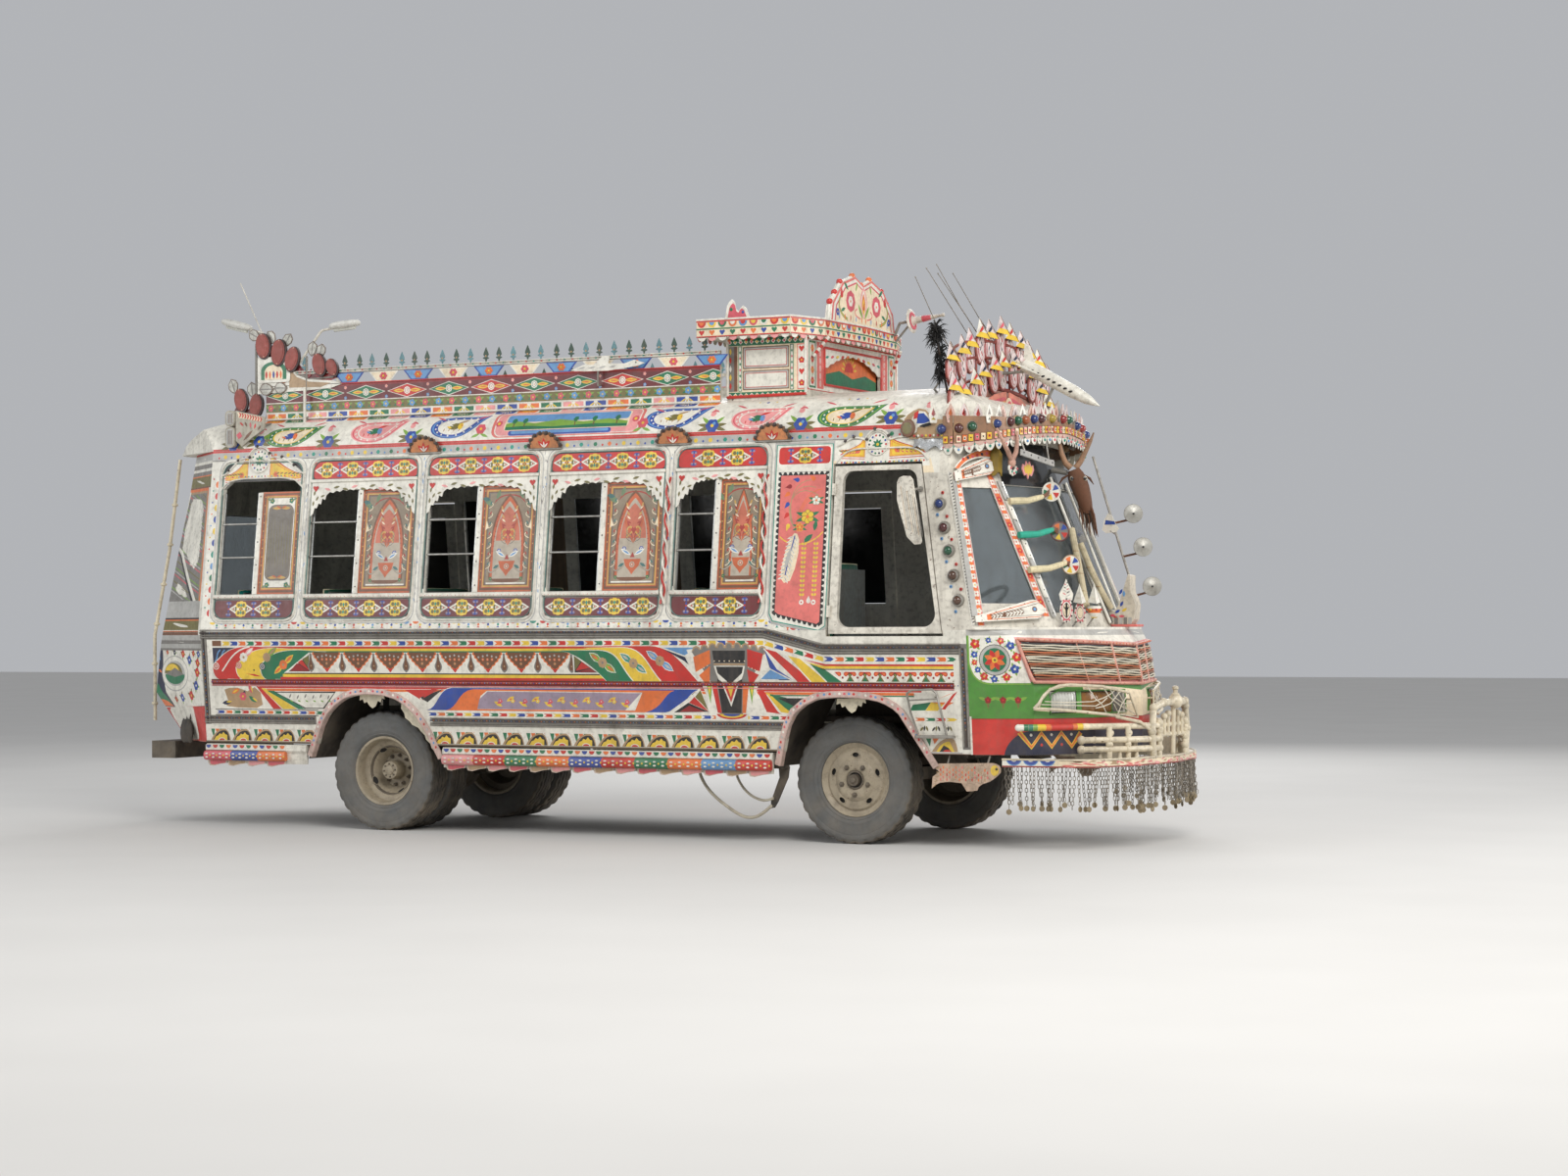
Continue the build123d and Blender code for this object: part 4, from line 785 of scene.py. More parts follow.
    # fan medallion
    A.a("white", [(2.36, 1.20), (2.55, 1.225), (2.77, 1.225), (2.93, 1.20), (2.86, 1.0), (2.78, .80), (2.54, .80), (2.45, 1.0)])
    for k in range(9):
        t = k / 8
        x = 2.43 + .46 * t; z = 1.196 + .024 * math.sin(math.pi * t)
        A.a("sand", circ(x, z, .030, 8)); A.a("grey", circ(x, z, .020, 8))
    A.a("grey", [(2.395, 1.190), (2.53, 1.212), (2.78, 1.212), (2.905, 1.188), (2.79, .985), (2.735, .80), (2.575, .80), (2.53, .985)])
    A.a("orange", [(2.405, 1.155), (2.525, 1.20), (2.525, 1.115), (2.418, 1.060)]); A.a("orange", [(2.44, 1.04), (2.522, 1.10), (2.512, .985), (2.485, .985)])
    A.a("red", [(2.785, 1.205), (2.895, 1.175), (2.865, 1.065), (2.782, 1.095)]); A.a("red", [(2.778, 1.08), (2.86, 1.045), (2.81, .985), (2.79, .985)])
    A.a("black", [(2.540, 1.195), (2.770, 1.195), (2.762, 1.118), (2.55, 1.118)]); A.a("sand", [(2.545, 1.115), (2.767, 1.115), (2.763, 1.105), (2.548, 1.105)])
    for k in range(7):
        A.a("cream", circ(2.553 + .035 * k, 1.130, .0045, 6))
    for k in range(4):
        A.a("cream", circ(2.425 + .026 * k, 1.062 + .013 * k, .004, 6)); A.a("cream", circ(2.79 + .022 * k, 1.092 - .008 * k, .004, 6))
    A.a("white", [(2.548, 1.10), (2.765, 1.10), (2.752, 1.05), (2.70, .93), (2.66, .845), (2.62, .93), (2.562, 1.05)])
    A.a("black", [(2.562, 1.095), (2.752, 1.095), (2.742, 1.055), (2.657, .985), (2.572, 1.055)])
    A.a("black", [(2.567, 1.02), (2.60, 1.0), (2.655, .85), (2.705, 1.0), (2.742, 1.02), (2.725, .806), (2.59, .806)])
    A.a("white", [(2.60, .985), (2.715, .985), (2.657, .845)]); A.a("red", [(2.612, .978), (2.703, .978), (2.657, .872)]); A.a("yellow", [(2.635, .972), (2.68, .972), (2.657, .905)])
    A.a("red", [(2.528, .975), (2.560, .985), (2.588, .806), (2.560, .806)]); A.a("orange", [(2.745, .985), (2.785, .975), (2.757, .806), (2.732, .806)])
    for sx in (-1, 1):
        c = 2.657 + sx * .148
        A.a("light_green", [(c - .020, .985), (c + .020, .985), (c - sx * .004, .862)]); A.a("yellow", [(c - .010, .968), (c + .010, .968), (c, .91)])
    # right of the medallion
    A.a("navy", [(2.905, 1.20), (2.935, 1.09), (3.085, 1.012), (3.00, 1.012), (2.96, 1.035)]); A.a("blue", [(2.905, 1.20), (2.985, 1.08), (3.095, 1.012), (2.94, 1.085)])
    A.a("light_blue", [(2.868, 1.018), (2.94, 1.078), (3.062, 1.018)]); A.a("white", thick([(2.862, 1.014), (2.938, 1.082), (3.08, 1.014)], .006))
    A.a("red", [(2.90, 1.208), (2.985, 1.188), (3.235, 1.002), (3.118, 1.002)]); A.a("yellow", [(3.06, 1.165), (3.145, 1.145), (3.325, 1.002), (3.218, 1.002)])
    A.a("green", [(3.205, 1.118), (3.285, 1.098), (3.425, 1.002), (3.325, 1.002)])
    for a, b in (((2.90, 1.208), (3.118, 1.002)), ((3.055, 1.168), (3.214, 1.002)), ((3.20, 1.12), (3.322, 1.002)), ((3.205, 1.118), (3.26, 1.118))):
        A.a("white", thick([a, b], .008))
    A.a("red", [(3.16, 1.142), (3.32, 1.112), (4.165, 1.112), (4.165, 1.100), (3.31, 1.100)])
    A.a("yellow", [(3.17, 1.13), (3.31, 1.100), (4.165, 1.100), (4.165, 1.084), (3.30, 1.084)])
    A.a("black", [(3.26, 1.095), (3.31, 1.083), (4.165, 1.083), (4.165, 1.077), (3.30, 1.077)])
    for k in range(8):
        x = 3.430 + .1005 * k
        for sx in (-1, 1):
            A.a("red", drop(x + sx * .022, 1.052, .014, .034, 90 - sx * 68)); A.a("orange", drop(x + sx * .022, 1.052, .008, .020, 90 - sx * 68))
        A.a("brown", circ(x + .05, 1.050, .014, 8)); A.a("light_green", circ(x + .05, 1.044, .007, 6))
        A.a("olive", [(x + .022, 1.006), (x + .05, 1.046), (x + .078, 1.006)]); A.a("green", [(x + .034, 1.006), (x + .05, 1.032), (x + .066, 1.006)])
        A.a("dark_red", circ(x, 1.03, .008, 6))
    A.a("white", [(4.165, 1.12), (4.205, 1.12), (4.205, .60), (4.165, .60)])
    # lower register, front part
    A.a("red", [(2.845, .948), (2.885, .948), (2.98, .815), (3.0, .803), (2.90, .815)]); A.a("white", [(2.83, .955), (2.90, .82), (2.86, .802), (2.80, .82), (2.825, .95)])
    A.a("red", [(2.842, .942), (2.905, .818), (2.995, .803)])
    A.a("yellow", [(2.90, .935), (2.945, .925), (3.085, .802), (3.0, .815)]); A.a("green", [(2.925, .928), (3.04, .905), (3.10, .862), (3.09, .802), (3.03, .84)])
    A.a("green", rect(2.93, 3.90, .914, .922)); A.a("black", [(2.98, .902), (3.20, .902), (3.10, .848)])
    A.a("white", [(3.10, .84), (3.22, .90), (3.18, .86), (3.12, .802)])
    A.a("green", [(3.868, .832), (3.89, .868), (4.01, .884), (3.97, .834)]); A.a("yellow", [(3.97, .832), (4.01, .884), (4.10, .880), (4.05, .832)]); A.a("orange", [(4.01, .884), (4.16, .884), (4.12, .864)])
    A.a("red", [(4.075, .842), (4.10, .84), (4.185, .95), (4.15, .93)]); A.a("orange", [(4.05, .90), (4.185, .952), (4.12, .93)]); A.a("white", thick([(4.07, .84), (4.16, .945)], .007))
    arrows(A, 3.895, 4.16, .766, .027, first=3)
    for k in range(9):
        A.a("black" if k % 2 else "olive", leaf(3.93 + .026 * k, .708, .036, .014, 50 + 30 * (k % 3)))
    A.a("sand", bez((4.0, .585), (4.05, .66), (4.10, .672), (4.13, .668), 5) + bez((4.15, .66), (4.168, .63), (4.17, .60), (4.17, .585), 4))
    A.a("yellow", bez((4.03, .585), (4.06, .64), (4.10, .650), (4.12, .648), 4) + [(4.15, .585)]); A.a("black", [(4.05, .585), (4.08, .625), (4.11, .61), (4.13, .585)]); A.a("red", circ(4.10, .585, .025, 8, rz=.014, a0=0, a1=180))
    A.a("green", [(3.965, .665), (4.0, .665), (3.99, .615)]); A.a("orange", [(4.01, .665), (4.05, .665), (4.02, .63)])
    # second arrow strip, lower moulding, bottom row
    arrows(A, -1.29, -.38, .764, .029, first=2); arrows(A, .415, 3.09, .764, .029, first=2)
    A.a("white", rect(2.545, 2.77, .763, .80))
    A.a("red", circ(2.657, .800, .105, 12, rz=.034, a0=180, a1=360)); A.a("yellow", circ(2.657, .800, .085, 12, rz=.024, a0=180, a1=360)); A.a("blue", circ(2.657, .800, .06, 12, rz=.015, a0=180, a1=360))
    A.a("grey", rect(-1.385, -.47, .70, .757)); A.a("grey", rect(.45, 3.02, .70, .757))
    A.a("white", rect(-1.34, -.49, .665, .70)); A.a("white", rect(.50, 3.0, .665, .70))
    A.a("pale_grey", rect(-1.34, 4.2, .569, .583))
    x = -1.352
    while x < -.50:
        small_arch(A, x, .178); x += .1775
    x = .44
    while x < 2.88:
        small_arch(A, x, .178); x += .1775
    A.a("brown", rect(-1.385, 4.26, .569, .574))
    # rear vertical moulding's ground
    A.a("grey", rect(-1.385, -1.335, .695, 1.335)); A.a("grey", rect(4.205, 4.26, .60, 1.20))
    return A

ARCH_REAR = [(-.513, .480), (-.460, .600), (-.42, .69), (-.370, .770), (-.30, .832), (-.221, .877), (-.15, .895), (-.070, .903), (.02, .901), (.093, .894), (.175, .872), (.250, .832),
             (.31, .778), (.360, .715), (.40, .65), (.485, .480)]
ARCH_FRONT = [(2.985, .480), (3.025, .640), (3.055, .73), (3.100, .806), (3.17, .858), (3.249, .893), (3.33, .904), (3.427, .907), (3.52, .904), (3.602, .895), (3.66, .885), (3.710, .867), (3.76, .84),
              (3.797, .808), (4.010, .480)]
LOW_OUT = [(-1.3845, .5705), (4.2545, .5705), (4.2545, 1.3195), (-1.3845, 1.3195)]
LEFT_DOORS = {"rear_passenger_door": (-1.295, -.609), "front_passenger_door": (2.233, 2.888)}
DRIVER = [(3.338, 1.322), (4.105, 1.322), (3.950, 2.262), (3.338, 2.262)]
ART_LOW = lower_art()

def paint_lower():
    cab = [rect(3.3285, 4.108, 1.2815, 1.45)]
    arches = [ARCH_REAR, ARCH_FRONT] + cab
    skin("painted_side_right", ART_LOW, LOW_OUT, arches, on_side)
    doors = [rect(a + .002, b - .002, .640, 1.40) for a, b in LEFT_DOORS.values()]
    skin("painted_side_left", ART_LOW, LOW_OUT, arches + doors, on_left)
paint_lower()


# ------------------------------------------------------------------ window band and header: the drawing
BAYS = [(-1.30, -.61, -.955), (-.56, .315, -.140), (.365, 1.245, .795), (1.30, 2.175, 1.725), (2.225, 2.895, 2.545)]
def motif_row(A, xs, z0, z1, ground, x0, x1):
    """band of white lozenges, yellow double rings and small blue knots"""
    zc = (z0 + z1) / 2; h = (z1 - z0) / 2
    A.a(ground, rrect(x0, x1, z0, z1, .022, 3))
    p = xs[1] - xs[0] if len(xs) > 1 else .20
    for x in xs:
        for s in (-1, 1):
            A.a("white", [(x + s * .015, zc + h * .80), (x + s * p * .49, zc), (x + s * .015, zc - h * .80)])
            A.a("olive", [(x + s * .035, zc + h * .36), (x + s * p * .40, zc), (x + s * .035, zc - h * .36)])
            A.a("white", [(x + s * .05, zc + h * .16), (x + s * p * .36, zc), (x + s * .05, zc - h * .16)])
            A.a("red", circ(x + s * p * .30, zc, .0055, 6))
        for s in (-1, 1):
            for t in (-1, 1):
                A.a("yellow", circ(x + t * .020, zc + s * h * .46, .026, 9, rz=h * .42))
            A.a("yellow", circ(x, zc + s * h * .78, .020, 8, rz=h * .16))
            for t in (-1, 1):
                A.a("olive", circ(x + t * .020, zc + s * h * .44, .013, 8, rz=h * .24))
            A.a("teal", circ(x, zc + s * h * .42, .008, 6, rz=h * .22))
        A.a("brown", circ(x, zc, .010, 8)); A.a("yellow", circ(x, zc, .005, 6))
    mid = [(a + b) / 2 for a, b in zip(xs, xs[1:])] + [xs[0] - p / 2, xs[-1] + p / 2]
    for x in mid:
        if x - .03 < x0 or x + .03 > x1: continue
        for s in (-1, 1):
            A.a("blue", circ(x, zc + s * h * .66, .024, 8, rz=h * .20)); A.a("lilac", circ(x - .012, zc + s * h * .60, .008, 6)); A.a("lilac", circ(x + .012, zc + s * h * .60, .008, 6))
            A.a("blue", leaf(x, zc + s * h * .45, h * .42, .014, -s * 90))
        A.a("red", circ(x, zc, .007, 6))

def bay_frame(A, x0, x1, z0=1.392, z1=2.488):
    A.a("pale_grey", rrect(x0 - .022, x1 + .022, z0 - .018, z1 + .014, .085, 6))
    A.a("white", rrect(x0 - .014, x1 + .014, z0 - .010, z1 + .008, .080, 6))
    A.a("teal", rrect(x0 - .004, x1 + .004, z0 + .001, z1 - .001, .074, 6))
    A.a("white", rrect(x0 + .002, x1 - .002, z0 + .007, z1 - .006, .070, 6))
    A.a("grey", rrect(x0 + .014, x1 - .014, z0 + .019, z1 - .017, .060, 6))
    A.a("black", rrect(x0 + .019, x1 - .019, z0 + .024, z1 - .021, .058, 6))

def smudges(A, x, w, z0, z1, n, seed):
    r = random.Random(seed)
    for _ in range(n):
        z = r.uniform(z0, z1); a = x + r.uniform(-w, w)
        A.a(r.choice(("pale_grey", "grey", "pale_grey", "light_blue")), leaf(a, z, r.uniform(.015, .05), r.uniform(.004, .009), r.uniform(70, 110)))

def arch_header(A, xa, xb, z0, z1, cx, cz, r=.085):
    """carved white header over a window: two yellow fields and a dotted roundel"""
    m = (xa + xb) / 2; w = (xb - xa) / 2
    out = [(xa, z0)] + bez((xa + .01, z0 + .10), (xa + .10, z0 + .13), (m - .22, z1 - .03), (cx - r, cz + .02), 8) \
        + circ(cx, cz, r * 1.22, 12, a0=165, a1=15) + bez((cx + r, cz + .02), (m + .22, z1 - .03), (xb - .10, z0 + .13), (xb - .01, z0 + .10), 8) + [(xb, z0)]
    A.a("white", out)
    for s in (-1, 1):
        x_in, x_out = cx + s * (r + .012), (xa + .040 if s < 0 else xb - .040)
        up = bez((x_in, cz + .046), (x_in + s * .05, cz + .010), (x_out - s * .16, z0 + .150), (x_out, z0 + .100), 9)
        f = up + [(x_out, z0 + .070), (x_in, z0 + .062)]
        mx, mz = (x_in + x_out) / 2, z0 + .100
        A.a("red", f); A.a("yellow", [(mx + (a - mx) * .965, mz + (b - mz) * .88 - .001) for a, b in f]); A.a("orange", [(mx + (a - mx) * .90, mz + (b - mz) * .74 - .002) for a, b in f]); A.a("yellow", [(mx + (a - mx) * .865, mz + (b - mz) * .66 - .002) for a, b in f])
        A.flower(x_in + s * .050, z0 + .105, .020, "orange", "red", 6)
        for k in range(7):
            t = (k + 1.6) / 8; x = x_in + (x_out - x_in) * t; z = z0 + .098 + .010 * (1 - t)
            A.a("olive", leaf(x, z, .034, .011, 20 if s > 0 else 160)); A.a("rose", leaf(x, z - .006, .026, .008, -30 if s > 0 else 210)); A.a("orange", circ(x + s * .010, z + .010, .005, 6))
        A.a("red", [(x_out, z0 + .062), (x_in, z0 + .054), (x_in, z0 + .050), (x_out, z0 + .057)])
        for k in range(9):
            t = k / 8; A.a(("red", "green", "yellow", "blue")[k % 4], circ(x_in + (x_out - x_in) * t, z0 + .030 + .004 * t, .0065, 6))
    A.a("pale_grey", circ(cx, cz, r * 1.04, 20)); A.a("white", circ(cx, cz, r, 20))
    for k in range(14):
        a = 2 * math.pi * k / 14
        A.a(("red", "blue", "green", "navy")[k % 4], circ(cx + r * .80 * math.cos(a), cz + r * .80 * math.sin(a), .0075, 6))
    for k in range(8):
        A.a("green", leaf(cx, cz, r * .52, r * .22, 45 * k + 10))
    A.a("yellow", circ(cx, cz, r * .14, 8))

def dots(A, x0, x1, z0, z1, pitch, cols, r=.006):
    n = int(math.hypot(x1 - x0, z1 - z0) / pitch)
    for k in range(n + 1):
        t = (k + .5) / (n + 1)
        A.a(cols[k % len(cols)], circ(x0 + (x1 - x0) * t, z0 + (z1 - z0) * t, r, 6))

def upper_art():
    A = Art()
    # coloured half circles and dots under the windows
    x, k = -1.36, 0
    cols = ("red", "yellow", "light_blue", "orange", "blue", "teal", "red", "yellow", "blue", "green")
    while x < 4.0:
        z = 1.387 if x < 2.93 else 1.387 - .27 * (x - 2.93) if x < 3.33 else 1.287
        A.a(cols[k % 10], circ(x, z, .024, 8, a0=180, a1=360, rz=.017))
        A.a(cols[(k + 4) % 10], circ(x + .036, z - .022, .0095, 6)); A.a(cols[(k + 7) % 10], [(x + .024, z - .042), (x + .048, z - .042), (x + .036, z - .030)])
        x += .0745; k += 1
    # rear pillar: half circles up its edge
    A.a("white", rect(-1.385, -1.315, 1.34, 2.56))
    for k in range(12):
        z = 1.45 + .080 * k
        A.a(cols[(k * 3) % 10], circ(-1.322, z, .020, 8, rz=.024, a0=90, a1=270)); A.a(cols[(k + 5) % 10], circ(-1.360, z + .038, .0065, 6))
    # eave strip, coloured dots on grey, and the red line
    A.a("pale_grey", rect(-1.385, 4.05, 2.492, 2.545)); A.a("grey", rect(-1.385, 4.05, 2.488, 2.494))
    k = 0; x = -1.33
    while x < 3.9:
        A.a(cols[(k * 7) % 10], circ(x, 2.512 + .006 * (k % 2), .015 if k % 2 else .008, 8)); x += .052; k += 1
    A.a("red", rect(-1.385, 4.06, 2.546, 2.5595))
    # the bays
    for i, (x0, x1, xs) in enumerate(BAYS):
        bay_frame(A, x0 + .006, x1 - .006)
        n = 4 if i in (1, 2, 3) else 2
        p = .205
        c = (x0 + x1) / 2
        centres = [c + (k - (n - 1) / 2) * p for k in range(n)]
        motif_row(A, centres, 1.418, 1.535, "maroon", x0 + .026, x1 - .026)
        if i:
            motif_row(A, centres, 2.348, 2.462, "red", x0 + .026, x1 - .026)
        A.a("white", rect(x0 + .022, x1 - .022, 1.535, 1.60)); A.a("white", rect(x0 + .022, x1 - .022, 2.255, 2.345))
        A.a("black", rect(x0 + .026, x1 - .026, 1.536, 1.543))
    for a, b in zip(BAYS, BAYS[1:]):
        smudges(A, (a[1] + b[0]) / 2, .014, 1.42, 2.46, 26, int(1000 * a[1]) + 7)
    # blank panel: rose ground, patterned edge, feather, bead strings and sprays of flowers
    A.a("pale_grey", [(2.925, 2.485), (2.925, 1.41), (2.955, 1.36), (3.28, 1.300), (3.335, 1.33), (3.335, 2.485)])
    A.a("teal", [(2.936, 2.470), (2.936, 1.42), (2.96, 1.375), (3.28, 1.316), (3.326, 1.345), (3.326, 2.470)])
    A.a("white", [(2.942, 2.466), (2.942, 1.425), (2.965, 1.381), (3.28, 1.322), (3.320, 1.348), (3.320, 2.466)])
    motif_row(A, [3.135], 2.348, 2.455, "red", 2.955, 3.308)
    A.a("white", rect(2.955, 3.308, 2.30, 2.345))
    edge = [(2.957, 2.30), (2.957, 1.425), (2.99, 1.40), (3.27, 1.335), (3.306, 1.36), (3.306, 2.30)]
    A.a("black", edge)
    inner = [(2.976, 2.278), (2.976, 1.436), (3.0, 1.420), (3.265, 1.358), (3.284, 1.372), (3.284, 2.278)]
    A.a("salmon", inner)
    for k in range(25):
        z = 2.276 - .036 * k
        for x, s in ((2.9665, 1), (3.295, -1)):
            if z > (1.43 if x < 3 else 1.38): A.a("white", [(x - .009, z + .010), (x - .009, z - .010), (x + .009, z)] if s > 0 else [(x + .009, z + .010), (x + .009, z - .010), (x - .009, z)])
    for k in range(9):
        x = 2.985 + .036 * k
        A.a("white", [(x - .011, 2.298), (x + .011, 2.298), (x, 2.280)]); z = 1.424 - .235 * (x - 2.985)
        A.a("white", [(x - .011, z - .020), (x + .011, z - .024), (x, z - .002)])
    for k in range(3):
        A.a("sand", thick(bez((3.08, 1.95), (3.02 - .02 * k, 2.10), (3.05 + .02 * k, 2.25), (3.20 + .02 * k, 2.25 - .05 * k), 9), .005))
        A.a("orange", thick(bez((3.09, 1.95), (3.10 + .02 * k, 2.08), (3.16, 2.18), (3.262, 2.19 - .05 * k), 9), .004))
    for x, z, c, a in ((3.09, 2.25, "blue", 170), (3.04, 2.21, "dark_red", 190), (3.03, 2.165, "orange", 215), (3.03, 2.10, "blue", 230), (3.03, 2.035, "red", 230), (3.04, 1.965, "yellow", 250), (3.20, 2.255, "orange", 140)):
        A.a(c, drop(x, z, .014, .034, a))
    A.sprig(3.17, 2.02, .045, "yellow", "orange", "green", 6, "olive"); A.sprig(3.225, 2.12, .030, "white", "orange", "green", 5, "green"); A.sprig(3.12, 1.955, .028, "orange", "yellow", "green", 5, "yellow")
    A.a("yellow", thick(bez((2.985, 1.90), (3.05, 1.83), (3.20, 1.83), (3.28, 1.925), 10), .007))
    A.a("green", leaf(3.15, 1.86, .08, .035, 40)); A.a("green", leaf(3.22, 1.93, .07, .03, 80))
    f = [(3.085, 1.92), (3.055, 1.88), (3.028, 1.80), (3.006, 1.70), (3.006, 1.64), (3.03, 1.612), (3.07, 1.625), (3.10, 1.70), (3.120, 1.80), (3.120, 1.88), (3.105, 1.915)]
    A.a("cream", f)
    for k in range(11):
        for s in (-1, 1):
            t = k / 10; cx, cz = 3.085 - .055 * t, 1.90 - .25 * t
            A.a("white", leaf(cx, cz, .050, .012, 250 + s * 52)); A.a("grey", leaf(cx, cz, .040, .003, 250 + s * 52))
    A.a("blue", thick([(3.090, 1.905), (3.062, 1.79), (3.035, 1.66)], .008)); A.a("pale_grey", leaf(3.07, 1.84, .16, .030, 255))
    for x in (3.155, 3.237):
        for k in range(12):
            z = 1.845 - .0285 * k + (.06 if x > 3.2 and k < 0 else 0)
            A.a("yellow", leaf(x, z, .022, .016, 140)); A.a("yellow", leaf(x, z, .022, .016, 40))
        A.a("sand", rect(x - .002, x + .002, 1.51, 1.90)); A.a("white", circ(x, 1.492, .017, 10)); A.a("red", circ(x, 1.492, .006, 8))
    A.a("white", drop(3.203, 1.500, .015, .032, 90))
    # cab: cream frame around the opening
    A.a("cream", [(3.330, 1.29), (3.330, 2.36), (3.98, 2.36), (4.30, 1.29)])
    arch_header(A, 3.345, 3.975, 2.315, 2.545, 3.622, 2.455, .070)
    dots(A, 3.40, 3.93, 2.345, 2.350, .030, cols)
    # first bay's carved header
    arch_header(A, -1.305, -.600, 2.285, 2.5595, -.990, 2.485, .078)
    dots(A, -1.22, -.68, 2.378, 2.378, .028, cols)
    A.a("black", bez((-1.265, 2.275), (-1.24, 2.33), (-1.20, 2.358), (-1.10, 2.362), 6) + bez((-.82, 2.362), (-.72, 2.358), (-.66, 2.33), (-.635, 2.275), 6))
    return A
ART_UP = upper_art()

def paint_upper():
    out = [(-1.3845, 1.3205), (2.9175, 1.3205), (3.3275, 1.3205), (3.3275, 2.5595), (-1.3845, 2.5595)]
    holes = [[(-1.2730, 1.5745), (-.6310, 1.5745), (-.6310, 2.2965), (-.6920, 2.3455), (-1.2120, 2.3455), (-1.2730, 2.2965)]]
    holes += [rrect(x0 + .0225, x1 - .0225, 1.5745, 2.2695, .018, 3) for x0, x1, _ in ((-.566, .327, 0), (.375, 1.250, 0), (1.305, 2.177, 0), (2.233, 2.888, 0))]
    skin("painted_window_band_right", ART_UP, out, holes, on_side)
    doors = [rect(a + .002, b - .002, 1.0, 2.262) for a, b in LEFT_DOORS.values()]
    skin("painted_window_band_left", ART_UP, out, holes[1:4] + doors, on_left)
    # over the cab door, and the door's own frame
    over = [(3.3285, 2.3435), (3.9236, 2.3435), (3.936, 2.272), (4.038, 2.272), (4.038, 2.5595), (3.3285, 2.5595)]
    skin("painted_cab_header", ART_UP, over, [], on_side, mirror=True)
paint_upper()


# ------------------------------------------------------------------ roof side
def on_roof(u, v, h, s=-1):
    """v is the distance up the rounded roof edge from the eave"""
    cy, cz, r, arc = .6847, 2.5371, .2374, .294
    a0 = math.atan2(2.560 - cz, .921 - cy)
    if v <= arc:
        a = a0 + v / r
        return (u - X0, s * (cy + (r + h) * math.cos(a)), cz + (r + h) * math.sin(a))
    y = .740 - (v - arc)
    z = 2.768 + (2.850 - 2.768) * (1 - (y / .740) ** 2)
    return (u - X0, s * y, z + h)
def medallion(A, x0, x1, v0, v1, c, inner="white"):
    """paisley: round at the rear, drawn out to a raised tip at the front, in rings, with a small still life inside"""
    w, h = x1 - x0, v1 - v0; cx, vc = x0 + .42 * w, v0 + .46 * h
    X = lambda t: x0 + t * w
    V = lambda t: v0 + t * h
    edge = bez((X(1.0), V(1.0)), (X(.86), V(.55)), (X(.70), V(.02)), (X(.40), V(.0)), 9) + bez((X(.40), V(.0)), (X(.14), V(.0)), (X(.0), V(.18)), (X(.0), V(.46)), 8)[1:] \
        + bez((X(.0), V(.46)), (X(.0), V(.80)), (X(.20), V(.98)), (X(.46), V(.95)), 8)[1:] + bez((X(.46), V(.95)), (X(.68), V(.93)), (X(.84), V(.90)), (X(1.0), V(1.0)), 7)[1:-1]
    ring = lambda k: [(cx + (a - cx) * k, vc + (b - vc) * k) for a, b in edge]
    light = {"green": "light_green", "pink": "rose", "blue": "light_blue", "salmon": "pink"}.get(c, "sand")
    A.a(c, ring(1.)); A.a(light, ring(.93)); A.a(c, ring(.87)); A.a("yellow" if c == "green" else inner, ring(.70)); A.a("cream" if c == "green" else "pink" if c == "pink" else inner, ring(.64))
    n = len(edge)
    for k in range(0, n, 2):
        a, b = edge[k]; A.a("white", circ(cx + (a - cx) * .785, vc + (b - vc) * .785, .0072, 6))
    # still life: a fruit, a small boat shape and leaves
    o = {"green": ("blue", "orange", "olive"), "pink": ("green", "light_blue", "red"), "blue": ("olive", "yellow", "sand")}.get(c, ("red", "yellow", "green"))
    A.a(o[0], leaf(cx - .20 * w * .6, vc - .05 * h, .26 * w, .30 * h, 12)); A.a(o[1], circ(cx + .10 * w, vc + .02 * h, .11 * h, 12, rz=.16 * h)); A.a(o[2], leaf(cx + .04 * w, vc + .14 * h, .20 * w, .10 * h, 18))
    A.a("white", leaf(cx - .02 * w, vc + .02 * h, .14 * w, .05 * h, 160)); A.a(o[1], leaf(cx - .14 * w, vc + .02 * h, .10 * w, .08 * h, -20)); A.a("red", circ(cx + .12 * w, vc + .05 * h, .028 * h, 7))
    for k in range(4): A.a(o[2], leaf(cx - .18 * w + .085 * w * k, vc - .20 * h, .06 * w, .05 * h, 80 - 10 * k))
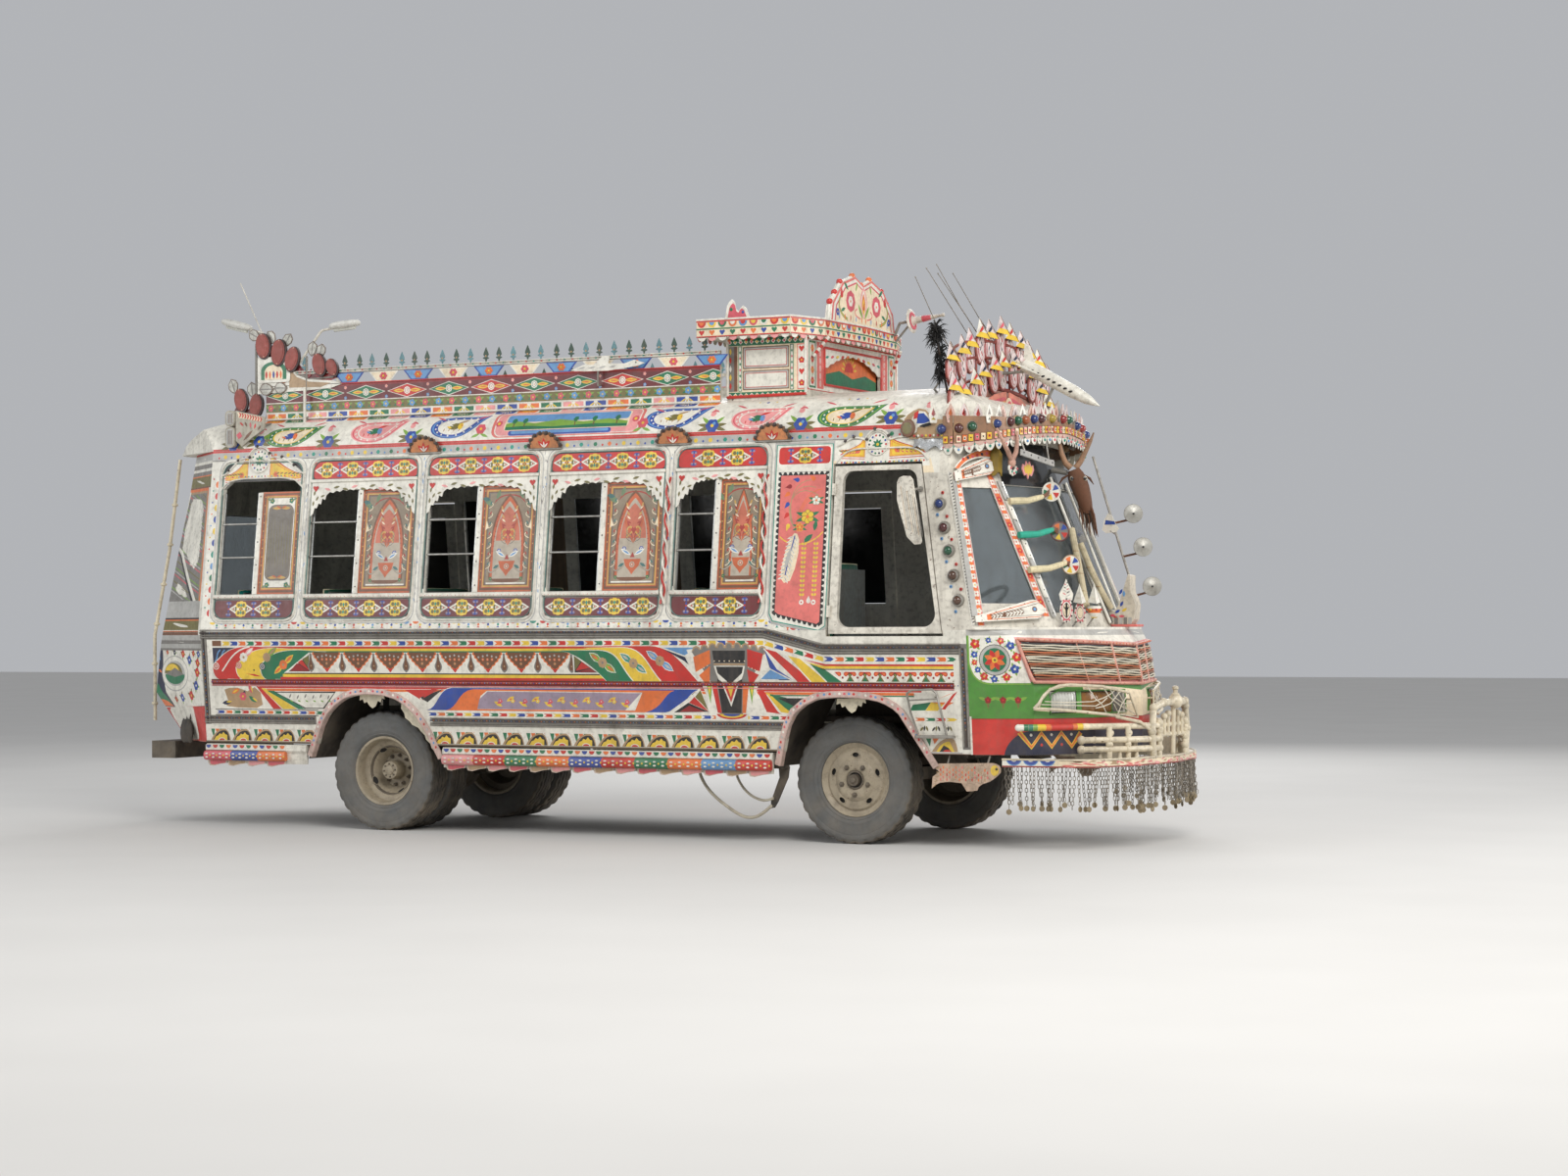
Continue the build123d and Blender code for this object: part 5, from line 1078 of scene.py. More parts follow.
def roof_art():
    A = Art()
    A.a("red", rect(-1.385, 4.07, 0, .012))
    for x0, x1, v0, v1, c in ((-.96, -.50, .010, .175, "green"), (-.27, .17, .020, .195, "pink"), (.36, .80, .030, .215, "blue"), (1.98, 2.45, .035, .215, "blue"),
                              (2.60, 3.02, .010, .175, "pink"), (3.20, 3.66, .005, .165, "green")):
        medallion(A, x0, x1, v0, v1, c)
    # the long cartouche: a plain landscape of water, hills and trees
    c = rrect(.84, 1.96, .022, .232, .05, 5)
    A.a("salmon", c); A.a("white", rrect(.86, 1.94, .030, .224, .045, 5)); A.a("pink", rrect(.868, 1.932, .034, .220, .043, 5))
    A.a("blue", rrect(.97, 1.74, .032, .066, .016, 3)); A.a("light_blue", rrect(.99, 1.72, .044, .064, .010, 3))
    A.a("cream", rrect(.93, 1.86, .068, .205, .02, 3)); A.a("light_blue", rrect(.94, 1.85, .130, .200, .018, 3))
    A.a("light_green", [(.94, .075), (1.85, .075), (1.85, .11), (1.70, .135), (1.52, .118), (1.34, .145), (1.16, .118), (1.02, .140), (.94, .120)])
    A.a("green", [(.94, .072), (1.85, .072), (1.85, .092), (1.6, .100), (1.3, .088), (1.1, .100), (.94, .094)])
    for x in (1.0, 1.08, 1.46, 1.60, 1.77):
        A.a("brown", rect(x - .004, x + .004, .092, .130)); A.a("green", circ(x, .142, .020, 8, rz=.024))
    for x in (.885, 1.905):
        A.a("rose", circ(x, .125, .026, 10)); A.a("yellow", circ(x, .125, .012, 8))
    for x in (-1.22, -1.01, -.44, .22, 2.47, 3.09, 3.70, 3.95):
        z = .045 + .012 * math.cos(7 * x)
        for a in (8, 40, 140, 172, -16, 196):
            A.a("light_green" if a in (40, 140) else "olive", leaf(x, z, .105, .026, a))
        A.flower(x, z + .005, .048, "blue", "yellow", 6); A.a("light_blue", circ(x + .012, z + .020, .012, 7))
        A.a("pink", drop(x - .008, .135, .020, .055, 90)); A.a("rose", leaf(x - .03, .150, .045, .014, 30)); A.a("rose", leaf(x + .03, .150, .045, .014, 150))
    for x in (.755, 1.965):
        A.flower(x, .090, .040, "rose", "yellow", 6); A.a("light_green", leaf(x, .055, .07, .02, -20)); A.a("light_green", leaf(x, .055, .07, .02, 200))
    for x in (-.72, -.05, .58, 2.22, 2.81, 3.43):
        A.a("rose", leaf(x - .21, .215, .10, .016, -25)); A.a("rose", leaf(x + .21, .215, .10, .016, 205)); A.a("blue", circ(x, .235, .012, 8)); A.a("yellow", circ(x + .06, .24, .008, 6)); A.a("yellow", circ(x - .06, .24, .008, 6))
    cyc = ("orange", "green", "pink", "blue")
    for k in range(21):                                            # lower half of the row of fans under the rack
        x = -1.05 + .1675 * k
        A.a("white", rect(x - .004, x + .164, .226, .292)); A.a(cyc[k % 4], rrect(x + .004, x + .156, .230, .292, .016, 3))
        for j in range(7):
            a = 200 + 23.4 * j; q = math.radians(a); A.a(("yellow", "cream", "white", "cream")[k % 4], leaf(x + .080 + .022 * math.cos(q), .290 + .016 * math.sin(q), .040, .010, a))
        A.a("white", circ(x + .080, .291, .014, 8, a0=180, a1=360))
    return A
def paint_roof():
    A = roof_art()
    out = [(-1.384, .001), (3.985, .001), (3.94, .16), (3.88, .30), (3.80, .36), (-1.34, .36), (-1.384, .30)]
    us = [-1.2 + .4 * k for k in range(14)]
    vs = [.024 * k for k in range(1, 15)]
    for s, n in ((-1, "right"), (1, "left")):
        skin("painted_roof_side_" + n, A, out, [], lambda u, v, h, s=s: on_roof(u, v, h, s), grid=(us, vs), lift=.002)
paint_roof()


# ------------------------------------------------------------------ rack sides on the roof
RACK_Y = .7600
def on_rack(s=-1):
    return lambda u, v, h: (u - X0, s * (RACK_Y + h), v)
def rack_art():
    A = Art()
    A.a("brown", rect(-1.07, 2.46, 2.77, 3.0))
    cyc = ("orange", "green", "pink", "blue")
    for k in range(21):                                         # row of fans
        x = -1.05 + .1675 * k
        A.a("white", rect(x - .004, x + .164, 2.770, 2.816)); A.a(cyc[k % 4], rect(x + .004, x + .156, 2.770, 2.812))
        for j in range(5):
            A.a("white" if j % 2 else "yellow", leaf(x + .080, 2.806, .060, .010, 210 + 30 * j))
        A.a("white", circ(x + .080, 2.806, .016, 8, rz=.010))
    A.a("white", rect(-1.07, 2.46, 2.817, 2.823)); A.a("olive", rect(-1.07, 2.46, 2.823, 2.882))
    for k in range(34):
        x = -1.02 + .1045 * k
        if x > 2.43: break
        A.a("light_green", leaf(x, 2.852, .045, .014, 20)); A.a("light_green", leaf(x, 2.852, .045, .014, 160)); A.a("green", leaf(x, 2.852, .045, .014, 200)); A.a("green", leaf(x, 2.852, .045, .014, -20))
        A.flower(x, 2.853, .024, "light_blue" if k % 2 else "rose", "yellow", 5)
    A.a("white", rect(-1.07, 2.46, 2.883, 2.889)); A.a("maroon", rect(-1.07, 2.46, 2.889, 2.985))
    for k in range(11):
        x = -.90 + .33 * k
        if x > 2.42: break
        c = "red" if k in (3, 5, 8) else "green"
        A.a("white", [(x - .158, 2.937), (x, 2.984), (x + .158, 2.937), (x, 2.890)]); A.a(c, [(x - .148, 2.937), (x, 2.979), (x + .148, 2.937), (x, 2.895)])
        for s in (-1, 1):
            A.a("yellow", leaf(x + s * .02, 2.937, s * .090, .026, 0)); A.a("orange", leaf(x + s * .03, 2.937, s * .060, .010, 0))
        A.a("white", circ(x, 2.937, .026, 12)); A.a(c, circ(x, 2.937, .018, 10)); A.flower(x, 2.937, .015, "white", "red", 6)
        A.flower(x + .165, 2.972, .012, "pink", "yellow", 5); A.flower(x + .165, 2.902, .012, "light_blue", "yellow", 5)
    A.a("dark_red", rect(-1.07, 2.46, 2.985, 3.001))
    return A
def rack():
    A = rack_art()
    for s, n in ((-1, "right"), (1, "left")):
        skin("painted_rack_" + n, A, rect(-1.0595, 2.4495, 2.7725, 2.9995), [], on_rack(s))
    # hanging pennants of sheet between the rails, and the spear points
    B = Bag(); w, bl, o, r, st = paint("white"), paint("blue"), paint("orange"), paint("red"), NODE_FIN_RACK
    for s in (-1, 1):
        yy = s * (RACK_Y + .004)
        for k in range(5 if False else 12):
            x = -.37 + .2775 * k - .0 if k % 2 == 0 else -.10 + .2775 * (k - 1)
            x = -.37 + .2765 * k
            if x > 2.42: break
            blue = k % 2 == 0
            out = [(x - .118, 3.072), (x + .118, 3.072), (x + .060, 3.006), (x - .060, 3.006)]
            B.prism([(a - X0, yy, b) for a, b in out], (0, s * .003, 0), bl if blue else w)
            inner = [(x - .100, 3.067), (x + .100, 3.067), (x + .052, 3.011), (x - .052, 3.011)]
            B.prism([(a - X0, yy + s * .003, b) for a, b in inner], (0, s * .0012, 0), paint("light_blue") if blue else paint("cream"))
            for j in range(6):
                a = math.radians(60 * j)
                B.ball((x + .020 * math.cos(a) - X0, yy + s * .0045, 3.040 + .016 * math.sin(a)), .0115, o if blue else paint("rose"), 8, (1, .35, 1))
            B.ball((x - X0, yy + s * .006, 3.040), .009, paint("yellow"), 8, (1, .5, 1))
        for x in (-.74, -.41, -.29, -.19, -.075, .05, .15, .25, .37, .48, .59, .71, .81, .92, 1.03, 1.13, 1.25, 1.36, 1.47, 1.57, 1.68, 1.79, 1.90, 2.01, 2.12, 2.23, 2.34):
            spear(B, x, s * RACK_Y, 3.092, .104, (mat("spear_green", (52, 76, 62), grime=.4, dust=0), mat("spear_blue", (92, 132, 138), grime=.4, dust=0))[int(x * 7.3 + 9) % 2], paint("sand"))
    B.make("rack_pennants_and_spears", slot="painted_roof")
    # edge strips of the rails
    C = Bag()
    for s in (-1, 1):
        for z, h, m in ((2.770, .012, w), (2.9985, .008, r), (3.094, .006, w), (3.078, .006, w)):
            C.box((-1.062 - X0, s * (RACK_Y - .002), z), (2.452 - X0, s * (RACK_Y + .009), z + h), m, .002)
        for k in range(60):
            x = -1.03 + .0585 * k
            C.ball((x - X0, s * (RACK_Y + .001), 3.0865), .0075, r if k % 2 else paint("teal"), 8, (1, .5, 1))
    C.make("rack_edge_strips", slot="painted_roof")

def spear(B, x, y, z, h, m, tip):
    """flat leaf shaped point on a small foot"""
    pts = [(-.004, 0), (.004, 0), (.005, .22), (.024, .30), (.020, .36), (.008, .40), (.020, .52), (.016, .66), (.0, 1.), (-.016, .66), (-.020, .52), (-.008, .40), (-.020, .36), (-.024, .30), (-.005, .22)]
    B.prism([(x + a - X0, y - .003, z + b * h) for a, b in pts], (0, .006, 0), m)
    B.ball((x - X0, y, z + .44 * h), .009, tip, 8, (1, .6, 1))
NODE_FIN_RACK = mat("rack_sheet", (196, 190, 176), grime=.5, chips=.5)
rack()


# ------------------------------------------------------------------ nose: the drawing, right half, mirrored
def nose_art():
    A = Art()
    A.a("nose_green", [(-.01, .785), (1.45, .785), (1.45, 1.02), (-.01, 1.30)])
    A.a("white", [(.015, 1.34), (.015, 1.12)] + bez((.015, 1.12), (.03, 1.04), (.06, 1.005), (.14, 1.0), 8) + [(.375, 1.0), (.295, 1.28)])
    A.a("light_green", thick([(.010, 1.30), (.010, 1.12)] + bez((.010, 1.12), (.025, 1.035), (.06, .998), (.14, .994), 8) + [(.378, .994)], .007))
    A.a("pale_grey", rect(-.01, 1.45, 1.285, 1.33))
    for x, z, r, c in ((.052, 1.235, .030, "red"), (.205, 1.252, .022, "red"), (.132, 1.256, .018, "blue"), (.262, 1.224, .027, "blue"), (.298, 1.155, .030, "red"), (.283, 1.083, .029, "blue"),
                       (.232, 1.036, .025, "red"), (.158, 1.024, .022, "blue"), (.098, 1.040, .025, "red"), (.062, 1.080, .019, "blue"), (.044, 1.124, .018, "red"), (.045, 1.172, .021, "blue")):
        for a in (30, 110, 200, 290):
            A.a("light_green" if a % 60 else "olive", leaf(x, z, r * 1.5, r * .6, a + 300 * x))
        A.flower(x, z, r, c, "white" if c == "blue" else "yellow", 5, 90 * z)
        A.a("pink" if c == "red" else "light_blue", circ(x + .2 * r, z + .3 * r, .22 * r, 6))
    A.a("black", circ(.165, 1.138, .094, 24)); A.a("pale_grey", circ(.165, 1.138, .090, 24)); A.a("green", circ(.165, 1.138, .072, 20))
    for k in range(8):                                               # plain eight petal rosette
        A.a("orange" if k % 2 else "red", leaf(.165, 1.138, .066, .034, 45 * k + 22))
    A.a("yellow", circ(.165, 1.138, .018, 10)); A.a("brown", circ(.165, 1.138, .008, 8))
    for k in range(3):                                               # three small red blossoms on leaves
        x = .115 + .090 * k
        A.a("light_green", leaf(x, .895, .060, .020, 20)); A.a("light_green", leaf(x, .895, .060, .020, 160)); A.a("olive", leaf(x, .895, .050, .016, 270)); A.flower(x, .898, .022, "dark_red", "red", 5, 90)
    # red below, a dark patch with a zigzag
    A.a("red", rect(-.01, 1.45, .55, .786)); A.a("dark_red", rect(-.01, 1.45, .783, .788))
    A.a("white", rect(-.01, .012, .55, .80))
    A.a("navy", bez((.20, .565), (.21, .64), (.28, .705), (.36, .715), 8) + [(.78, .715), (1.45, .70), (1.45, .56)])
    zz = [(.295, .706), (.365, .618), (.435, .700), (.505, .618), (.575, .700), (.645, .618), (.710, .700)]
    A.a("yellow", thick(zz, .030)); A.a("orange", thick(zz, .015))
    for k in range(5):                                               # a dot in each bay of the zigzag
        A.a("red" if k % 2 else "white", circ(.365 + .070 * k, .630 if k % 2 else .690, .0095, 8))
    # slatted panel: ground behind the slats, its black layer painted shade for the gaps between the slats
    A.a("pink", [(.285, 1.275), (1.45, 1.235), (1.45, .985), (.372, 1.008)])
    A.a("salmon", [(.30, 1.262), (1.45, 1.222), (1.45, .995), (.380, 1.020)])
    A.a("black", [(.318, 1.248), (1.45, 1.210), (1.45, 1.005), (.392, 1.032)])
    for k in range(16):
        A.a("red" if k % 2 else "orange", leaf(.305 + .010 * (k % 3) + .0045 * k, 1.262 - .0145 * k, .020, .008, -60))
    # band round the headlamp recess
    A.a("cream", [(.395, .835), (.43, .905), (.50, .970), (.62, .992), (.86, .985), (1.45, .940), (1.45, .785), (1.20, .790), (.80, .806)])
    A.a("nose_green", [(.42, .842), (.45, .90), (.51, .955), (.62, .975), (.74, .972), (.76, .812)])
    return A

def paint_nose():
    A = nose_art()
    half = lambda z: (breaks(LOWER, z)[3])
    out = [(.0005, .5705), (half(.5705) - .0005, .5705), (half(.90) - .0005, .90), (half(1.24) - .0005, 1.24), (half(1.3195) - .0005, 1.3195), (.0005, 1.3195)]
    place = on_front(LOWER)
    def u_at(y, z):
        """distance round the nose of the point that far from the middle"""
        r = row_at(LOWER, z); d = breaks(LOWER, z); pts = [(side_y(z), r[3]), (r[5], r[4]), (r[7], r[6]), (0.0, r[8])]
        for i in range(3):
            if pts[i][0] >= y >= pts[i + 1][0]: return d[i] + (d[i + 1] - d[i]) * (pts[i][0] - y) / (pts[i][0] - pts[i + 1][0])
    lamp = [(u_at(.819, .8085), .8085), (u_at(.201, .8085), .8085), (u_at(.201, .88), .88), (u_at(.201, .9545), .9545), (u_at(.819, .9545), .9545), (u_at(.819, .88), .88)]
    folds = [[(breaks(LOWER, z)[i], z) for z in (.5705, .90, 1.24, 1.3195)] for i in (1, 2)]
    skin("painted_nose", A, out, [lamp], place, mirror=True, grid=([], [.90, 1.24]), extra=folds)
paint_nose()


# ------------------------------------------------------------------ windscreen pillars: the drawing
def strip_on_front(name, rows, u_of, z0, z1, width, cols, pattern, mirror=True):
    """narrow painted strip that follows a line u = u_of(z) up the windscreen surround"""
    A = Art(); n = 26
    A.a(cols[0], rect(-1, 1, z0, z1))
    pattern(A, z0, z1, width)
    place = on_front(rows)
    def put(u, v, h):
        return place(u_of(v) + u, v, h + .0012)
    skin(name, A, rect(-width / 2, width / 2, z0, z1), [], put, mirror=mirror, base=cols[0], grid=([], [z0 + (z1 - z0) * k / 6 for k in range(1, 6)]))

def flowers_up(ground, petal, alt):
    def f(A, z0, z1, w):
        A.a("salmon", rect(-w / 2, w / 2, z0, z1)); A.a(ground, rect(-w / 2 + .008, w / 2 - .008, z0, z1))
        k, z = 0, z0 + .035
        while z < z1 - .02:
            if k % 3 == 1:
                A.flower(0, z, .019, alt, "yellow", 5)
            else:
                A.flower(0, z, .021, petal, "red", 4, 45)
            z += .052; k += 1
    return f
def teeth_up(A, z0, z1, w):
    A.a("white", rect(-w / 2, w / 2, z0, z1)); A.a("pale_grey", rect(-w / 2 + .004, w / 2 - .004, z0, z1))
    k, z = 0, z0 + .006
    while z < z1 - .012:
        A.a("white", leaf(-w * .32, z, w * .72, .011, 28)); A.a("black", leaf(-w * .32, z + .009, w * .62, .005, 28)); z += .019; k += 1

def quarter():
    """edges of the quarter window on its facet, as distances round the screen"""
    def u_of_point(x, y, z):
        r = row_at(UPPER, z); ys = side_y(z)
        pts = [(r[3], -ys), (r[4], -r[5]), (r[6], -r[7]), (r[8], 0.0)]
        best, acc = None, 0.0
        for a, b in zip(pts, pts[1:]):
            l = math.hypot(b[0] - a[0], b[1] - a[1]); t = ((x - a[0]) * (b[0] - a[0]) + (y - a[1]) * (b[1] - a[1])) / l / l
            t = min(1, max(0, t)); d = math.hypot(a[0] + (b[0] - a[0]) * t - x, a[1] + (b[1] - a[1]) * t - y)
            if best is None or d < best[0]: best = (d, acc + t * l)
            acc += l
        return best[1]
    return u_of_point
U_OF = quarter()
def paint_pillars():
    lo = (U_OF(4.335, -1.000, 1.48), U_OF(4.600, -.752, 1.48)); hi = (U_OF(4.165, -.905, 2.18), U_OF(4.290, -.742, 2.18))
    mix = lambda a, b, z: a + (b - a) * (z - 1.48) / .70
    strip_on_front("pillar_strip_rear", UPPER, lambda z: mix(lo[0], hi[0], z) - .026, 1.345, 2.27, .040, ["orange"], flowers_up("orange", "white", "white"))
    strip_on_front("pillar_strip_front", UPPER, lambda z: mix(lo[1], hi[1], z) + .026, 1.40, 2.27, .040, ["orange"], flowers_up("orange", "white", "red"))
    strip_on_front("pillar_lace", UPPER, lambda z: mix(lo[0], hi[0], z) - .072, 1.345, 2.27, .034, ["white"], teeth_up)
paint_pillars()


# ------------------------------------------------------------------ slanting rear corner panels and the rear wall
def corner_art():
    A = Art()
    # lower part: red skirt, white panel with a flower ring and a white framed oval, dark patterned field behind it
    A.a("red", rect(-.02, .95, .55, .815)); A.a("dark_red", rect(-.02, .95, .811, .818))
    A.a("white", [(.0, .818), (.95, .785), (.95, 1.21), (.0, 1.21)])
    A.a("navy", bez((.52, .80), (.56, .86), (.62, .90), (.62, .98), 6) + bez((.62, .98), (.66, 1.06), (.62, 1.12), (.64, 1.20), 6) + [(.95, 1.20), (.95, .80)])
    A.a("green", bez((.56, .82), (.60, .88), (.68, .90), (.72, .96), 6) + [(.95, .96), (.95, .82)]); A.a("orange", bez((.54, .805), (.62, .85), (.70, .86), (.78, .845), 6) + [(.95, .84), (.95, .805)])
    for k in range(4):
        A.a("light_blue", leaf(.68 + .05 * k, 1.12 - .02 * k, .07, .02, 60)); A.a("orange", leaf(.66 + .06 * k, 1.04, .06, .018, 20))
    A.a("pale_grey", circ(.445, 1.035, .215, 28, rz=.125)); A.a("white", circ(.445, 1.035, .205, 28, rz=.116)); A.a("pale_grey", circ(.445, 1.035, .165, 24, rz=.088))
    A.a("olive", circ(.47, 1.035, .145, 24, rz=.074, a0=0, a1=180)); A.a("yellow", circ(.49, 1.045, .115, 20, rz=.056, a0=10, a1=170)); A.a("green", circ(.445, 1.030, .158, 24, rz=.070, a0=182, a1=358))
    A.a("grey", [(.30, 1.03), (.445, 1.075), (.59, 1.03), (.445, 1.01)])
    for x, z, r, c in ((.05, 1.17, .024, "blue"), (.13, 1.175, .022, "red"), (.07, 1.11, .030, "red"), (.085, 1.045, .034, "red"), (.115, .955, .034, "blue"), (.20, .885, .034, "red"),
                       (.35, .868, .030, "blue"), (.46, .855, .022, "red"), (.20, 1.13, .032, "blue"), (.30, 1.172, .028, "red"), (.44, 1.182, .022, "navy"), (.56, 1.182, .018, "red")):
        for a in (20, 100, 190, 280): A.a("light_green" if a > 150 else "olive", leaf(x, z, r * 1.6, r * .6, a))
        A.flower(x, z, r, c, "white" if c != "red" else "yellow", 6)
    # belt mouldings
    for z0, z1, c in ((1.195, 1.21, "grey"), (1.21, 1.24, "pale_grey"), (1.24, 1.265, "grey"), (1.265, 1.30, "pale_grey"), (1.30, 1.325, "brown"), (1.325, 1.33, "orange"), (1.335, 1.40, "olive"), (1.40, 1.408, "orange"), (1.408, 1.42, "black")):
        A.a(c, rect(-.02, .95, z0, z1))
    # upper part: striped board with an orange frame, a white zigzag crossing it
    A.a("white", rect(-.02, .036, 1.30, 2.60)); A.a("orange", rect(.040, .95, 1.42, 2.315)); A.a("sand", rect(.060, .93, 1.44, 2.295)); A.a("grey", rect(.080, .92, 1.455, 2.28))
    for k in range(44):
        z = 1.40 + .0235 * k
        c = ("olive", "grey", "rose", "pale_grey", "light_green", "grey")[k % 6]
        line = [(.085, z - .0), (.915, z + .23)]
        if line[0][1] < 1.46: continue
        if line[1][1] > 2.275:
            t = (2.275 - z) / .23
            if t < .05: continue
            line[1] = (.085 + .83 * t, 2.275)
        A.a(c, thick(line, .008))
    A.a("black", thick([(.13, 1.49), (.50, 1.86), (.62, 1.91), (.52, 2.30)], .050)); A.a("white", thick([(.10, 1.49), (.49, 1.87), (.60, 1.92), (.51, 2.30)], .036))
    A.a("pale_grey", [(.62, 1.90), (.95, 1.62), (.95, 1.58), (.60, 1.86)])
    A.a("pale_grey", rect(.04, .95, 1.42, 1.535)); A.a("grey", rect(.25, .95, 1.535, 1.545))
    # header mouldings
    for z0, z1, c in ((2.315, 2.325, "brown"), (2.325, 2.395, "olive"), (2.395, 2.403, "orange"), (2.403, 2.43, "grey"), (2.43, 2.45, "white"), (2.45, 2.48, "grey"), (2.48, 2.50, "white"), (2.50, 2.545, "pale_grey"), (2.545, 2.56, "red")):
        A.a(c, rect(-.02, .95, z0, z1))
    return A

def rear_art():
    A = Art()
    A.a("red", rect(-.6, .6, .55, .815)); A.a("dark_red", rect(-.6, .6, .811, .818))
    A.a("white", rect(-.6, .6, .818, 1.21)); A.a("navy", rrect(-.56, .56, .845, 1.175, .05)); A.a("orange", rrect(-.54, .54, .865, 1.155, .04)); A.a("green", rrect(-.52, .52, .885, 1.135, .03))
    for s in (-1, 1):
        for k in range(3):
            x = s * (.10 + .15 * k)
            for a in (0, 60, 120, 180, 240, 300): A.a("light_green", leaf(x, 1.01, .070, .022, a + 30))
            A.flower(x, 1.01, .044, ("red", "yellow", "light_blue")[k], "white", 6, 0, "white")
    A.a("white", circ(0, 1.01, .028, 10)); A.a("red", circ(0, 1.01, .016, 8))
    for z0, z1, c in ((1.195, 1.21, "grey"), (1.21, 1.24, "pale_grey"), (1.24, 1.265, "grey"), (1.265, 1.30, "pale_grey"), (1.30, 1.325, "brown"), (1.325, 1.33, "orange")):
        A.a(c, rect(-.6, .6, z0, z1))
    motif_row(A, [-.41, -.205, 0, .205, .41], 1.345, 1.455, "maroon", -.52, .52)
    A.a("teal", rrect(-.455, .455, 1.472, 2.178, .03)); A.a("white", rrect(-.448, .448, 1.479, 2.171, .028))
    for s in (-1, 1):
        A.a("orange", rect(s * .465, s * .575, 1.47, 2.28)); A.a("pale_grey", rect(s * .478, s * .562, 1.485, 2.265))
        for k in range(10):
            z = 1.53 + .077 * k
            A.flower(s * .52, z, .026, "red" if k % 2 else "blue", "yellow", 5); A.a("green", leaf(s * .52, z + .022, .03, .010, 90))
    motif_row(A, [-.41, -.205, 0, .205, .41], 2.345, 2.455, "red", -.52, .52)
    for z0, z1, c in ((2.195, 2.21, "grey"), (2.47, 2.48, "grey"), (2.48, 2.50, "white"), (2.50, 2.545, "pale_grey"), (2.545, 2.56, "red")):
        A.a(c, rect(-.6, .6, z0, z1))
    for k in range(14):
        A.a(CYCLE[k % 5], circ(-.56 + .085 * k, 2.523, .012, 8))
    return A

def paint_rear():
    A = corner_art()
    def u_split(z):
        """where the corner panel meets the rear wall, 0.6 m from the middle"""
        r = row_at(LOWER if z < 1.32 else UPPER, z); y = side_y(z); l = math.hypot(-1.385 - r[1], y - r[2])
        return l, r
    def out(z0, z1):
        pts = [(.001, z0)] + [(.001, z1)]
        zs = [z for z in (z0, .90, 1.24, 1.32, 2.27, z1) if z0 <= z <= z1]
        right = [(u_split(min(max(z, z0), z1))[0] - .001, z) for z in sorted(set(zs))]
        return [(.001, z0)] + right + [(.001, z1)]
    lo, up = out(.571, 1.3195), out(1.3205, 2.5595)
    skin("painted_corner_lower", A, lo, [], on_corner, mirror=True, grid=([], [.90, 1.24]))
    skin("painted_corner_upper", A, up, [], on_corner, mirror=True, grid=([], [2.27]))
    R = rear_art()
    def strip(z0, z1):
        zs = sorted({z0, z1} | {z for z in (.90, 1.24, 2.27) if z0 < z < z1})
        side = [(row_at(LOWER if z < 1.32 else UPPER, z)[2] - .001, z) for z in zs]
        return [(-a, b) for a, b in side] + side[::-1]
    skin("painted_rear_lower", R, strip(.571, 1.3195), [], on_rear, grid=([], [.90, 1.24]))
    skin("painted_rear_upper", R, strip(1.3205, 2.5595), [rect(-.4305, .4305, 1.4995, 2.1505)], on_rear, grid=([], [2.27]))
paint_rear()


# ------------------------------------------------------------------ doors
def paint_doors():
    # the painted sheet on a door moves with it
    for name, (x0, x1) in LEFT_DOORS.items():
        a, b = x0 + .0185, x1 - .0085
        skin("painted_" + name + "_low", ART_LOW, rect(a, b, .6505, 1.3195), [ARCH_REAR, ARCH_FRONT], on_left, body=name)
        A = Art(); A.s = list(ART_UP.s)
        A.a("white", rect(a, b, 1.56, 2.26)); A.a("teal", rrect(a + .068, b - .068, 1.488, 2.162, .03)); A.a("white", rrect(a + .074, b - .074, 1.494, 2.156, .026))
        for k in range(8):
            z = 1.60 + .085 * k
            for x in (a + .036, b - .036):
                A.flower(x, z, .017, "red" if k % 2 else "blue", "yellow", 5); A.a("green", leaf(x, z + .016, .026, .008, 90))
        skin("painted_" + name + "_up", A, rect(a, b, 1.3205, 2.2515), [rect(a + .0795, b - .0795, 1.4995, 2.1505)], on_left, body=name)
paint_doors()


# ------------------------------------------------------------------ raised trims of the sides
GREY_M = mat("moulding_grey", (150, 146, 138), rough=.4, metal=.35, grime=.5, dust=.25)
DARKM = mat("moulding_dark", (66, 58, 56), rough=.5, grime=.5)
RIB = mat("ribbed_white", (224, 220, 208), rough=.38, grime=.4, coat=.15)
CREAM = FIN_CREAM = mat("cream_tube", (216, 204, 178), rough=.38, grime=.45, chips=.5, coat=.2)

def strip_along(B, line, depth, width, m, s=-1, y_of=None):
    """half round strip following a line (x, z) of the side"""
    y_of = y_of or side_y
    rows = []
    for i, (x, z) in enumerate(line):
        a = line[max(0, i - 1)]; b = line[min(len(line) - 1, i + 1)]
        l = math.hypot(b[0] - a[0], b[1] - a[1]) or 1
        nx, nz = -(b[1] - a[1]) / l, (b[0] - a[0]) / l
        row = []
        for k in range(6):
            t = math.pi * k / 5
            w = -math.cos(t) * width / 2; d = math.sin(t) * depth + .0006
            xx, zz = x + nx * w, z + nz * w
            row.append((xx - X0, s * (y_of(zz) + d), zz))
        xx, zz = x, z
        rows.append(row)
    if s > 0: rows = [r[::-1] for r in rows]
    B.loft(rows, m)

